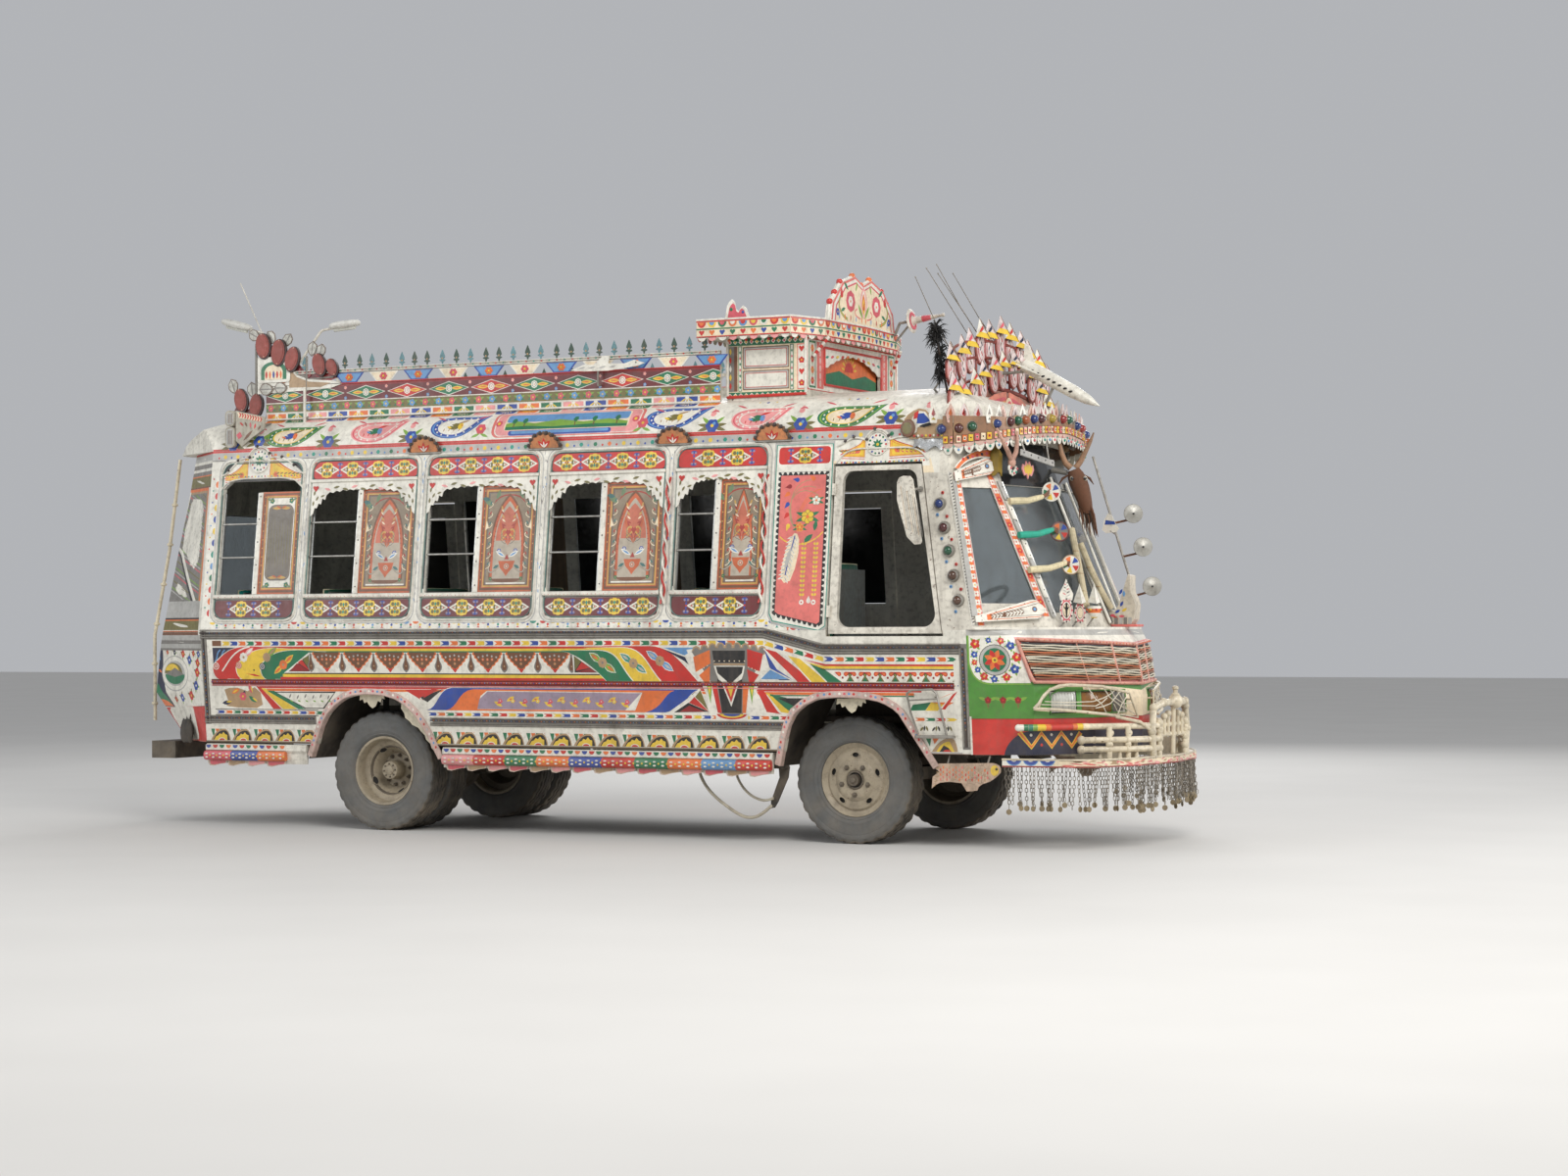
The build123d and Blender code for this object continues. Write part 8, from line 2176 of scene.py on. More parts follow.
BUMP_P = [(4.450, -.985), (4.800, -.968), (5.010, -.900), (5.150, -.560), (5.215, 0.0), (5.150, .560), (5.010, .900), (4.800, .968), (4.450, .985)]
def on_bump(u, v, h):
    x, y, nx, ny = along(BUMP_P, u); return (x + nx * h - X0, y + ny * h, v)
def plan_len(P_): return sum(math.hypot(b[0] - a[0], b[1] - a[1]) for a, b in zip(P_, P_[1:]))
def ledge():
    A = Art(); r = random.Random(5); Lh = plan_len(BUMP_P) / 2
    A.a("cream", rect(.32, 4, .49, .56)); A.a("dark_red", rect(0, 4, .49, .509))
    for k in range(3):
        u = .075 + .105 * k
        A.a("light_blue", circ(u, .545, .048, 12, a0=180, a1=360, rz=.036)); A.a("blue", circ(u, .545, .042, 12, a0=180, a1=360, rz=.030)); A.a("white", circ(u, .545, .018, 8, a0=180, a1=360, rz=.012))
    for k in range(46):
        u = r.uniform(.36, Lh); A.a(r.choice(("pink", "rose", "brown", "sand", "sand", "pink", "salmon")), leaf(u, r.uniform(.508, .540), r.uniform(.03, .10), r.uniform(.006, .016), r.uniform(-14, 14)))
    bd = [sum(math.hypot(b[0] - a[0], b[1] - a[1]) for a, b in list(zip(BUMP_P, BUMP_P[1:]))[:i]) for i in range(1, 4)]
    skin("painted_ledge", A, rect(.001, Lh - .0005, .5005, .5445), [], on_bump, mirror=True, extra=[[(d, .5005), (d, .5445)] for d in bd])
    # bent sheet edge over the strip
    B = Bag()
    pts = follow(on_bump, [(.0, .546), (Lh, .546)], .001, .12); B.tube(pts, .0065, TUBE, 6)
    B.mirrored().make("ledge_rolled_edge", slot="cream_tube")
ledge()

def link(B, c, d, r, w, m, turn, n=6):
    """oval chain link about c hanging along d"""
    d = Vector(d).normalized(); s = d.orthogonal().normalized(); s = s * math.cos(turn) + d.cross(s) * math.sin(turn)
    pts = [Vector(c) + d * (math.cos(2 * math.pi * k / n) * r) + s * (math.sin(2 * math.pi * k / n) * r * .55) for k in range(n)]
    B.tube(pts, w, m, 3, closed=True)
def chains():
    B = Bag(); r = random.Random(11); L = plan_len(BUMP_P); u = .02; k = 0
    while u < L - .02:
        a = on_bump(u, .498, -.012)
        n = int(r.choice((8, 9, 9, 9, 10)))
        sx, sy = r.uniform(-.02, .02), r.uniform(-.02, .02); step = .0245
        p = Vector(a); top = p.copy()
        for j in range(n):
            t = j / max(1, n - 1)
            c = top + Vector((sx * t * t, sy * t * t, -step * (j + .5)))
            link(B, c, (sx * t * .2, sy * t * .2, -1), step * .66, .0026, CHAIN, (j % 2) * math.pi / 2 + .4 * k)
        end = top + Vector((sx, sy, -step * n - .010))
        if r.random() < .62:
            nrm = Vector((r.uniform(-.5, 1), r.uniform(-1, -.2), 0)).normalized()
            B.lathe([(-.0012, .0175), (-.0016, .0160), (-.0012, .0155), (.0012, .0155), (.0016, .0160), (.0012, .0175), (-.0012, .0175)], end + Vector((0, 0, -.012)), nrm, COIN, 10)
            B.lathe([(-.0010, .0155), (.0010, .0155)], end + Vector((0, 0, -.012)), nrm, COIN, 10)
        u += .0262 + r.uniform(-.004, .004); k += 1
    B.make("chain_fringe", slot="cast_metal")
chains()

def fish():
    B = Bag(); m = mat("fish_plate_paint", (196, 168, 144), grime=.45, dust=.3, cracks=22); y_, r = paint("yellow"), paint("red")
    out = [(3.989, .513), (4.045, .465), (4.002, .434), (3.996, .363), (4.012, .380), (4.048, .399), (4.110, .406), (4.191, .399), (4.210, .372), (4.224, .350), (4.258, .352), (4.292, .357), (4.300, .378), (4.324, .395), (4.375, .412), (4.418, .442), (4.443, .467), (4.444, .488), (4.436, .506), (4.415, .518), (4.393, .523)]
    for s in (-1, 1):
        yy = s * .985
        B.prism([(a - X0, yy, b) for a, b in out], (0, s * .006, 0), m)
        yo = yy + s * .006
        gill = circ(4.405, .478, .026, 12, rz=.032); B.prism([(a - X0, yo, b) for a, b in gill], (0, s * .002, 0), y_)
        B.ball((4.418 - X0, yo + s * .003, .487), .0085, paint("black"), 8, (1, .4, 1))
        rr = random.Random(3)
        for k in range(46):                                           # scales
            x, z = 4.06 + .041 * (k % 8) + .018 * ((k // 8) % 2), .420 + .0145 * (k // 8)
            if z > .513 or x > 4.38 or z < .405 + .09 * (x - 4.2) ** 2: continue
            pts = circ(x, z, .010, 6, a0=100, a1=260)
            B.prism([(a - X0, yo, b) for a, b in pts], (0, s * .0012, 0), rr.choice((r, paint("salmon"), paint("sand"), paint("orange"))))
        for k in range(5):
            p = leaf(4.005 + .006 * k, .372 + .030 * k, .030, .006, 40 - 14 * k); B.prism([(a - X0, yo, b) for a, b in p], (0, s * .001, 0), paint("sand"))
        B.tube([(4.10 - X0, yy + s * .003, .512), (4.10 - X0, s * .955, .560)], .006, GREY_M, 6); B.tube([(4.36 - X0, yy + s * .003, .520), (4.36 - X0, s * .95, .562)], .006, GREY_M, 6)
    B.make("fish_plates", slot="painted_body")
fish()


# ------------------------------------------------------------------ windscreen surround: plates, arms with discs, cones, animal head, rods
def plate_on(B, place, pts, h, th, m, hole=None):
    p = [place(u, v, h) for u, v in pts]
    q = [place(u, v, h + th) for u, v in pts]
    d = Vector(q[0]) - Vector(p[0])
    B.prism(p, d, m)
def facing(c, n, pts, th=.004):
    """outline seen square on, on an upright plane through c with outward normal n"""
    nn = Vector((n[0], n[1], 0)).normalized(); side = Vector((-nn.y, nn.x, 0))
    return [tuple(Vector(c) + side * a + Vector((0, 0, b))) for a, b in pts], tuple(nn * th), nn
def teardrop(B, u0, z0, z1, u1, zc, r, h):
    """long plate with a pointed and a round end and a leafy painted field"""
    w, o, bl = paint("white"), paint("orange"), paint("brown")
    def shape(k):
        g = lambda a: (u1 + (a[0] - u1) * k, zc + (a[1] - zc) * k)
        rim = [(u1 + r * math.cos(math.radians(t)), zc + r * math.sin(math.radians(t))) for t in range(-75, 106, 15)]
        return [g(p) for p in [(u0, z0)] + rim + [(u0, z1)]]
    plate_on(B, SCREEN, shape(1.0), h, .006, w)
    plate_on(B, SCREEN, [(p[0] + .012, p[1]) for p in shape(.84)], h + .006, .0010, o)
    plate_on(B, SCREEN, [(p[0] + .014, p[1]) for p in shape(.77)], h + .007, .0008, w)
    plate_on(B, SCREEN, [(p[0] + .030, p[1]) for p in shape(.62)], h + .0078, .0008, bl); plate_on(B, SCREEN, [(p[0] + .032, p[1]) for p in shape(.575)], h + .0086, .0008, w)
    plate_on(B, SCREEN, circ(u1, zc, .017, 12), h + .0094, .0012, bl); plate_on(B, SCREEN, circ(u1, zc, .010, 10), h + .0106, .001, paint("light_blue"))
    zs = (z0 + z1) / 2
    for k in range(10):
        t = .30 + .058 * k; u = u0 + (u1 - u0) * t; z = zs + (zc - zs) * t; s_ = .45 + .55 * t
        for q in (-1, 1):
            plate_on(B, SCREEN, leaf(u, z, .030 * s_ + .008, .007, 180 - q * 35 + 10), h + .0094, .0007, bl)
    for t in (.1, .35, .6, .85):
        for q in (0, 1):
            a = (u0 + (u1 - u0) * t, (z0, z1)[q] + (zc + (-r, r)[q] - (z0, z1)[q]) * t * .98)
            B.ball(SCREEN(a[0], a[1] + (.009 if q == 0 else -.009), h + .0065), .0035, BLACK, 6)

def disc_on_arm(B, u0, z0, u1, z1, sleeve, hand, uc, zc, rim):
    """bent arm reaching out of the pillar and holding a round plate with coloured fields"""
    n = (.62, -.78)
    p0, p1 = Vector(SCREEN(u0, z0, .030)), Vector(SCREEN(u1, z1, .095))
    mid = (p0 + p1) / 2 + Vector((.02, -.02, -.012))
    B.tube([p0, p0.lerp(mid, .5) + Vector((.004, -.004, 0)), mid, mid.lerp(p1, .6), p1], [.021, .0225, .0200, .0185, .0150], sleeve, 10)
    c = Vector(SCREEN(uc, zc, .105))
    skinm = mat("carved_hand", (120, 76, 52), rough=.5, grime=.4)
    B.ball(p1 + (c - p1) * .15, .017, skinm, 8, (1.2, 1, .8))
    for k in range(4):
        B.tube([p1 + (c - p1) * .18, p1 + (c - p1) * .55 + Vector((0, 0, .012 - .008 * k)), p1 + (c - p1) * .78 + Vector((.004, -.004, .018 - .011 * k))], .0042, skinm, 6)
    R_ = .058
    pts, d, nn = facing(c, n, circ(0, 0, R_, 28), .004); B.prism(pts, d, paint("white" if rim != "maroon" else "grey"))
    o = c + nn * .004
    ring = [tuple(o + Vector((-nn.y, nn.x, 0)) * R_ * math.cos(2 * math.pi * k / 28) + Vector((0, 0, R_ * math.sin(2 * math.pi * k / 28)))) for k in range(28)]
    B.tube(ring, .0032, paint(rim), 6, closed=True)
    cols = ("blue", "orange", "green", "yellow", "red")
    for k in range(5):
        a0 = 72 * k + 20
        pts, d, _ = facing(o, n, [(0.010 * math.cos(math.radians(a0 + 22)), .010 * math.sin(math.radians(a0 + 22)))] + [(.050 * math.cos(math.radians(a0 + t)), .050 * math.sin(math.radians(a0 + t))) for t in (0, 11, 22, 33, 44)], .0012)
        B.prism(pts, d, paint(cols[k]))

def hood(B, c, n, w, h, m_out, m_in, depth=.035):
    """pointed folded hood: ridge forward, open underneath"""
    nn = Vector((n[0], n[1], 0)).normalized(); s = Vector((-nn.y, nn.x, 0)); c = Vector(c); up = Vector((0, 0, 1))
    tip = c + up * h - nn * .004
    L, R_, F_ = c - s * w / 2, c + s * w / 2, c + nn * depth - up * h * .10
    B.add([tip, L, F_, R_, c - nn * .006 + up * h * .04], [(0, 1, 2), (0, 2, 3), (0, 3, 4), (0, 4, 1)], m_out)
    e = nn * .0015
    B.add([tip - up * .006, L + s * .004, F_ - nn * .004, R_ - s * .004, c - nn * .005], [(0, 2, 1), (0, 3, 2), (1, 2, 3, 4)], m_in)
    m1 = (L + F_) / 2 + up * h * .12; m2 = (R_ + F_) / 2 + up * h * .12
    for m_, col in ((m1, "yellow"), (m2, "orange")):
        base = [(tip * .18 + m_ * .82), (L if m_ is m1 else R_) * .72 + tip * .28, F_ * .75 + tip * .25]
        q = [b + nn * .0015 for b in base]
        B.add([q[0], q[1], q[2]], [(0, 1, 2) if m_ is m1 else (2, 1, 0)], paint(col)); B.add([q[0], q[1], q[2]], [(2, 1, 0) if m_ is m1 else (0, 1, 2)], paint(col))
    B.tube([tip, F_ + nn * .002], .0022, m_out, 5)

def screen_parts():
    B = Bag(); w, o, r, bk, gr = paint("white"), paint("orange"), paint("red"), BLACK, paint("pale_grey")
    for s in (1,):
        teardrop(B, .015, 1.365, 1.402, .405, 1.442, .058, .030)
        # upper plate with its leafy field and a red arch over it
        teardrop(B, .010, 2.215, 2.275, .250, 2.312, .052, .028)
        a1 = bez((.02, 2.30), (.10, 2.39), (.20, 2.425), (.31, 2.42), 8); a2 = bez((.30, 2.36), (.20, 2.375), (.10, 2.345), (.05, 2.285), 8)
        plate_on(B, SCREEN, a1 + a2, .020, .005, w); plate_on(B, SCREEN, [(p[0] * .98 + .003, p[1] - .008) for p in a1] + [(p[0] * .98 + .003, p[1] + .010) for p in a2], .025, .001, o)
        for k in range(6): plate_on(B, SCREEN, circ(.09 + .036 * k, 2.352 + .0095 * k - .0003 * k * k, .010, 6), .026, .001, paint(("red", "navy", "rose")[k % 3]))
        # white board along the side's own post
        plate_on(B, SCREEN, [(.005, 1.40), (.040, 1.40), (.030, 2.22), (.005, 2.22)], .004, .010, gr)
    # dark glossy panels over the top of the main pane, under the visor
    dark_band = mat("dark_band_over_pane", (30, 34, 36), rough=.14, var=.1, grime=.15, dust=0, bump=0, coat=.4)
    for ua, ub_ in ((.385, .70), (.712, 1.075), (1.085, 1.40)):
        for k in range(3):
            a, b = ua + (ub_ - ua) * k / 3, ua + (ub_ - ua) * (k + 1) / 3
            for sg in (1, -1):
                q = [SCREEN(u, z, .003) for u, z in ((a, 2.205), (b, 2.205), (b, 2.475), (a, 2.475))]
                B.prism([(p[0], sg * p[1], p[2]) for p in q], (.004, 0, 0), dark_band)
    # worn white strip between the side pane and the main pane
    lo, hi = (U_OF(4.600, -.752, 1.48), U_OF(4.290, -.742, 2.18))
    ub = lambda z: lo + (hi - lo) * (z - 1.48) / .70 + .075
    for k in range(7):
        za, zb = 1.395 + .119 * k, 1.395 + .119 * (k + 1) - .006
        plate_on(B, SCREEN, [(ub(za) - .018, za), (ub(za) + .020, za), (ub(zb) + .020, zb), (ub(zb) - .018, zb)], .006 + .0012 * (k % 2), .010, w if k % 2 else gr)
    for k in range(12): B.ball(SCREEN(ub(1.42 + .07 * k) + .002, 1.42 + .07 * k, .0185), .0042, bk, 6)
    B.tube([SCREEN(ub(z) + .028, z, .012) for z in (1.40, 1.80, 2.22)], .006, mat("sash_alu"  , (190, 190, 186)), 6)
    # posts across the main pane
    for line, m in (([(.953, 2.271), (1.023, 1.953), (1.207, 1.358)], w), ([(.975, 2.262), (1.040, 1.95), (1.224, 1.358)], bk), ([(1.30, 2.25), (1.38, 1.86), (1.50, 1.36)], w), ([(1.32, 2.25), (1.40, 1.86), (1.52, 1.36)], bk)):
        B.tube(follow(SCREEN, line, .022, .10), .0095, m, 8)
    cloth = mat("rolled_cloth", (206, 192, 158), rough=.8, grime=.45, weave=60, dust=0)
    B.tube(follow(SCREEN, [(1.010, 1.945), (.985, 1.80), (.965, 1.66), (.940, 1.54), (.93, 1.46)], .040, .05), .021, cloth, 10)
    B.tube(follow(SCREEN, [(1.060, 1.855), (1.10, 1.70), (1.16, 1.56), (1.225, 1.450)], .045, .05), .020, cloth, 10)
    for u, z in ((.987, 1.80), (.966, 1.66), (.945, 1.55), (1.10, 1.70), (1.15, 1.58)):
        pts = [Vector(SCREEN(u, z, .040)) + Vector((.019 * math.cos(t), -.021 * math.sin(t), .006 * math.sin(t))) for t in [2 * math.pi * k / 10 for k in range(10)]]
        B.tube(pts, .004, paint("sand"), 5, closed=True)
    cream, tq = mat("sleeve_cream", (226, 212, 172), rough=.7, grime=.35, dust=0, weave=50), mat("sleeve_turquoise", (40, 168, 140), rough=.7, grime=.25, dust=0, weave=50)
    disc_on_arm(B, .360, 2.100, .660, 2.135, cream, None, .770, 2.170, "white"); disc_on_arm(B, .392, 1.892, .672, 1.930, tq, None, .735, 1.920, "maroon"); disc_on_arm(B, .418, 1.680, .720, 1.725, cream, None, .760, 1.715, "sand")
    # tassel of dyed strands
    ty = mat("tassel_ochre", (150, 124, 44), rough=.85, grime=.3, dust=0, weave=90)
    top = Vector(SCREEN(.315, 2.430, .055))
    for k in range(34):
        a = 2 * math.pi * k / 34; rr = .012 + .020 * (k % 3) / 2
        e = top + Vector((.036 * math.cos(a), .036 * math.sin(a) - .012, -.165 - .012 * math.sin(3 * a)))
        B.tube([top + Vector((rr * .3 * math.cos(a), rr * .3 * math.sin(a), .0)), top + Vector((.034 * math.cos(a), .034 * math.sin(a) - .004, -.045)), e], [.004, .0065, .0045], ty, 5)
    B.ball(top, .018, ty, 8)
    # lace oval and two hooded cups at the foot
    n1 = (.58, -.82)
    def lace(c, n, w_, h_):
        pts, d, nn = facing(c, n, [(w_ * math.cos(t), h_ * math.sin(t)) for t in [2 * math.pi * k / 22 for k in range(22)]], .008); B.prism(pts, d, w)
        f = Vector(c) + nn * .008
        for sc, m in ((.82, paint("rose")), (.70, w), (.56, paint("brown")), (.50, paint("cream"))):
            pts, d, _ = facing(f, n, [(w_ * sc * math.cos(t), h_ * sc * math.sin(t)) for t in [2 * math.pi * k / 20 for k in range(20)]], .0008); B.prism(pts, d, m); f = f + nn * .0008
        for k in range(12):
            t = 2 * math.pi * k / 12; pts, d, _ = facing(f, n, circ(w_ * .90 * math.cos(t), h_ * .90 * math.sin(t), .0055, 6), .0008); B.prism(pts, d, bk if k % 2 else paint("rose"))
        return f, nn
    c = Vector(SCREEN(.575, 1.435, .090)); f, nn = lace(c, n1, .040, .076)
    pts, d, _ = facing(f, n1, [(-.004, -.045), (.004, -.045), (.006, .0), (.018, .022), (.006, .018), (.005, .045), (-.005, .045), (-.006, .018), (-.018, .022), (-.006, .0)], .001); B.prism(pts, d, BLACK)
    pts, d, _ = facing(c, n1, [(-.036, .060), (.036, .060), (.044, .098), (.030, .125), (.016, .150), (.0, .190), (-.016, .150), (-.030, .125), (-.044, .098)], .007); B.prism(pts, d, w)
    for k in range(9):
        pts, d, _ = facing(c + nn * .007, n1, leaf(.0, .082 + .010 * k, .030 - .002 * k, .006, 30 + 120 * (k % 2)), .0009); B.prism(pts, d, (paint("pale_grey"), paint("rose"), BLACK)[k % 3])
    B.tube([c + Vector((-.01, .01, -.07)), SCREEN(.575, 1.335, .010)], .006, GREY_M, 6)
    for (u, z, cup) in ((.735, 1.440, None), (.915, 1.440, 1)):
        c = Vector(SCREEN(u, z, .095))
        hood(B, c + Vector((0, 0, .045)), n1, .080, .110, w, paint("yellow"), .050)
        if cup:
            rows = []
            for t, q in ((-.052, .012), (-.045, .026), (-.020, .038), (.005, .044), (.022, .043)):
                rows.append([c + Vector((q * math.cos(2 * math.pi * k / 14), q * math.sin(2 * math.pi * k / 14), t)) for k in range(14)])
            for a_, b_, m in zip(rows, rows[1:], (paint("yellow"), w, paint("orange"), w)): B.loft([a_, b_], m, cap=False)
            B.loft([rows[0], [Vector(p) + Vector((0, 0, .001)) for p in rows[0]]], w)
            for k in range(7): B.ball(c + Vector((.044 * math.cos(.9 * k), .044 * math.sin(.9 * k), .0)), .008, paint(("red", "orange", "yellow")[k % 3]), 6)
        else: lace(c + Vector((0, 0, -.020)), n1, .034, .064)
        B.tube([c + Vector((-.01, .01, -.05)), SCREEN(u, 1.335, .012)], .006, GREY_M, 6)
    # sleigh shaped ornament in the middle of the cowl
    prof = [(4.745, 1.372), (4.748, 1.425), (4.775, 1.440), (4.800, 1.432), (4.825, 1.470), (4.850, 1.540), (4.872, 1.615), (4.888, 1.660), (4.902, 1.652), (4.900, 1.600), (4.905, 1.545), (4.925, 1.505), (4.935, 1.470), (4.925, 1.380), (4.900, 1.345), (4.760, 1.345)]
    body = mat("sleigh_cream", (200, 190, 172), grime=.45)
    for yy in (.030, .130): B.prism([(a - X0, yy, b) for a, b in prof], (0, .006, 0), body)
    for (a, b), (c_, d_) in zip(prof, prof[1:]):
        B.add([(a - X0, .034, b), (c_ - X0, .034, d_), (c_ - X0, .132, d_), (a - X0, .132, b)], [(0, 1, 2, 3), (3, 2, 1, 0)], body)
    for k, (x, z, c_) in enumerate(((4.785, 1.405, "rose"), (4.82, 1.42, "blue"), (4.855, 1.46, "blue"), (4.88, 1.52, "light_blue"), (4.80, 1.37, "navy"), (4.845, 1.38, "red"), (4.885, 1.40, "rose"), (4.90, 1.45, "yellow"), (4.87, 1.57, "blue"))):
        B.prism([(a - X0, .030, b) for a, b in leaf(x - .018, z, .040, .018, 30 * k)], (0, -.0012, 0), paint(c_))
    for k in range(4): B.prism([(a - X0, .029, b) for a, b in rect(4.800 + .030 * k, 4.822 + .030 * k, 1.352, 1.392)], (0, -.002, 0), paint(("grey", "pale_grey")[k % 2]))
    B.box((4.74 - X0, .02, 1.334), (4.95 - X0, .145, 1.350), paint("salmon"), .003)
    B.make("windscreen_ornaments", slot="white_enamel")
    # horned heads over the screen
    H = Bag(); horn = mat("horn_pink", (204, 158, 138), rough=.5, grime=.5, cracks=60); hb = mat("horn_brown", (156, 118, 88), rough=.5, grime=.5, cracks=60)
    c = Vector((4.395 - X0, -.665, 2.345))
    H.tube([c + Vector((0, 0, .0)), c + Vector((.0, -.065, .055)), c + Vector((-.004, -.14, .115)), c + Vector((-.01, -.215, .185))], [.017, .0150, .0120, .0060], horn, 8)
    H.tube([c, c + Vector((.012, .040, .055)), c + Vector((.012, .058, .12)), c + Vector((.010, .066, .185))], [.017, .0150, .0120, .0060], horn, 8)
    H.ball(c + Vector((0, 0, -.010)), .026, horn, 10, (1, 1, 1.2))
    for k in range(5):
        a = math.radians(200 + 35 * k); p = c + Vector((.004, .055 * math.cos(a), -.030 + .045 * math.sin(a)))
        H.ball(p, .019, paint("white"), 8, (.5, 1, 1)); H.ball(p + Vector((.010, 0, 0)), .008, paint("teal") if k % 2 else paint("rose"), 6)
    fr = [(-.10, .0), (-.085, .03), (-.05, .02), (-.03, .05), (.0, .03), (.03, .05), (.05, .02), (.085, .03), (.10, .0), (.06, -.04), (.02, -.03), (.0, -.06), (-.02, -.03), (-.06, -.04)]
    H.prism([(4.43 - X0, -.50 + a, 2.30 + b) for a, b in fr], (.006, 0, 0), paint("pink")); H.prism([(4.436 - X0, -.50 + a * .7, 2.30 + b * .7) for a, b in fr], (.002, 0, 0), paint("yellow"))
    H.box((4.475 - X0, -.735, 2.372), (4.487 - X0, -.180, 2.412), paint("pale_grey"), .003)
    H.v[-24:] = [(x, y, z - .045 * (y + .735) / .555) for x, y, z in H.v[-24:]]
    for k in range(5): H.ball((4.488 - X0, -.70 + .12 * k, 2.392 - .0097 * k), .006, BLACK, 6)
    H.tube([(4.478 - X0, -.66, 2.40), (4.44 - X0, -.66, 2.50)], .006, GREY_M, 6); H.tube([(4.478 - X0, -.26, 2.37), (4.46 - X0, -.26, 2.48)], .006, GREY_M, 6)
    H.make("screen_horned_ornament", slot="white_enamel")
    G = Bag(); fur = mat("fur_brown", (104, 66, 44), rough=.85, grime=.35, dust=0, weave=70, bump=.5); dark = mat("fur_dark", (58, 42, 30), rough=.9, grime=.2, dust=0, weave=70)
    ax = [((4.545, -.002, 2.318), .038), ((4.556, .003, 2.285), .052), ((4.570, .010, 2.245), .058), ((4.585, .018, 2.200), .056), ((4.600, .024, 2.150), .050), ((4.612, .030, 2.105), .043), ((4.620, .034, 2.070), .036), ((4.624, .036, 2.045), .024)]
    G.tube([(a - X0, b, c_) for (a, b, c_), _ in ax], [q for _, q in ax], fur, 14)
    for base, path in (((4.528, -.006, 2.330), [(4.500, -.024, 2.360), (4.478, -.036, 2.42), (4.468, -.041, 2.48), (4.462, -.044, 2.551)]), ((4.556, .006, 2.330), [(4.580, .016, 2.362), (4.612, .032, 2.43), (4.640, .046, 2.495), (4.660, .054, 2.551)])):
        G.tube([tuple((p[0] - X0, p[1], p[2])) for p in [base] + path], [.021, .0185, .0155, .0115, .0045], hb, 10)
        for k, p in enumerate(path[:-1]):
            G.ball((p[0] - X0, p[1], p[2]), .0185 - .003 * k, hb, 8, (1, 1, .25))
    for sgn in (-1, 1):
        e = Vector((4.571 - X0, .010, 2.262)) + Vector((.898, .44, 0)) * (.040 * sgn) + Vector((.42, -.90, 0)) * .034
        G.ball(e, .016, mat("eye_white", (206, 196, 176), rough=.2, grime=.2, dust=0), 10); G.ball(e + Vector((.42, -.90, 0)) * .009, .0115, BLACK, 8)
        ear = Vector((4.560 - X0, .004, 2.285)) + Vector((.898, .44, 0)) * (.050 * sgn)
        d = Vector((.898, .44, 0)) * sgn
        G.tube([ear, ear + d * .035 + Vector((0, 0, -.022)), ear + d * .060 + Vector((0, 0, -.060))], [.010, .017, .004], fur, 8, flat=.5)
    G.ball((4.626 - X0, .030, 2.062), .026, dark, 10, (1, 1, .6))
    r = random.Random(4)
    for k in range(46):                                           # beard and mane strands
        t = r.random(); b = Vector((4.585 + .045 * t - X0, .018 + .020 * t, 2.17 - .10 * t)) + Vector((r.uniform(-.03, .03), r.uniform(-.02, .02), 0))
        G.tube([b, b + Vector((r.uniform(.005, .03), r.uniform(-.01, .02), -.06)), b + Vector((r.uniform(.01, .05), r.uniform(-.01, .03), -.12 - .07 * r.random()))], [.008, .0065, .001], fur if k % 3 else dark, 5)
    G.tube([(4.50 - X0, 0, 2.30), (4.40 - X0, 0, 2.32)], .016, GREY_M, 8)
    G.make("carved_goat_head", slot="white_enamel")
    # rod with round plates on the far corner
    R = Bag(); dm = mat("disc_grey", (178, 176, 168), rough=.4, metal=.5, grime=.45, dust=.1)
    R.tube([(4.381 - X0, .80, 2.447), (4.580 - X0, .80, 1.805), (4.636 - X0, .80, 1.632), (4.655 - X0, .79, 1.36)], .009, GREY_M, 8)
    for x, z in ((4.663, 2.068), (4.728, 1.851), (4.789, 1.596)):
        c = Vector((x - X0, .78, z)); n = Vector((.45, -.89, 0)).normalized()
        R.lathe([(-.008, .058), (-.004, .0615), (.0, .0625), (.004, .0600), (.006, .020), (.010, .012), (.0105, .001)], c, n, dm, 28); R.lathe([(-.0085, .001), (-.008, .058)], c, n, dm, 28)
        R.ball(c + n * .010, .008, BLACK, 8)
        R.tube([c - n * .008, c + Vector((-.05, .03, -.04)), (4.381 + (2.447 - z + .06) * .31 - X0, .80, z - .06)], .008, mat("arm_brown", (110, 70, 50), grime=.4), 8)
    # sailing shape on the rod
    R.prism([(a - X0, .79, b) for a, b in ((4.445, 1.965), (4.460, 2.03), (4.485, 2.075), (4.515, 2.055), (4.540, 2.00), (4.560, 1.975), (4.540, 1.950), (4.47, 1.945))], (0, .006, 0), paint("white")); R.prism([(a - X0, .789, b) for a, b in ((4.463, 2.00), (4.470, 2.030), (4.530, 2.020), (4.537, 2.00))], (0, -.001, 0), paint("blue"))
    R.tube([(4.50 - X0, .793, 1.96), (4.545 - X0, .80, 1.93)], .006, GREY_M, 6)
    R.make("corner_rod_with_discs", slot="white_enamel")
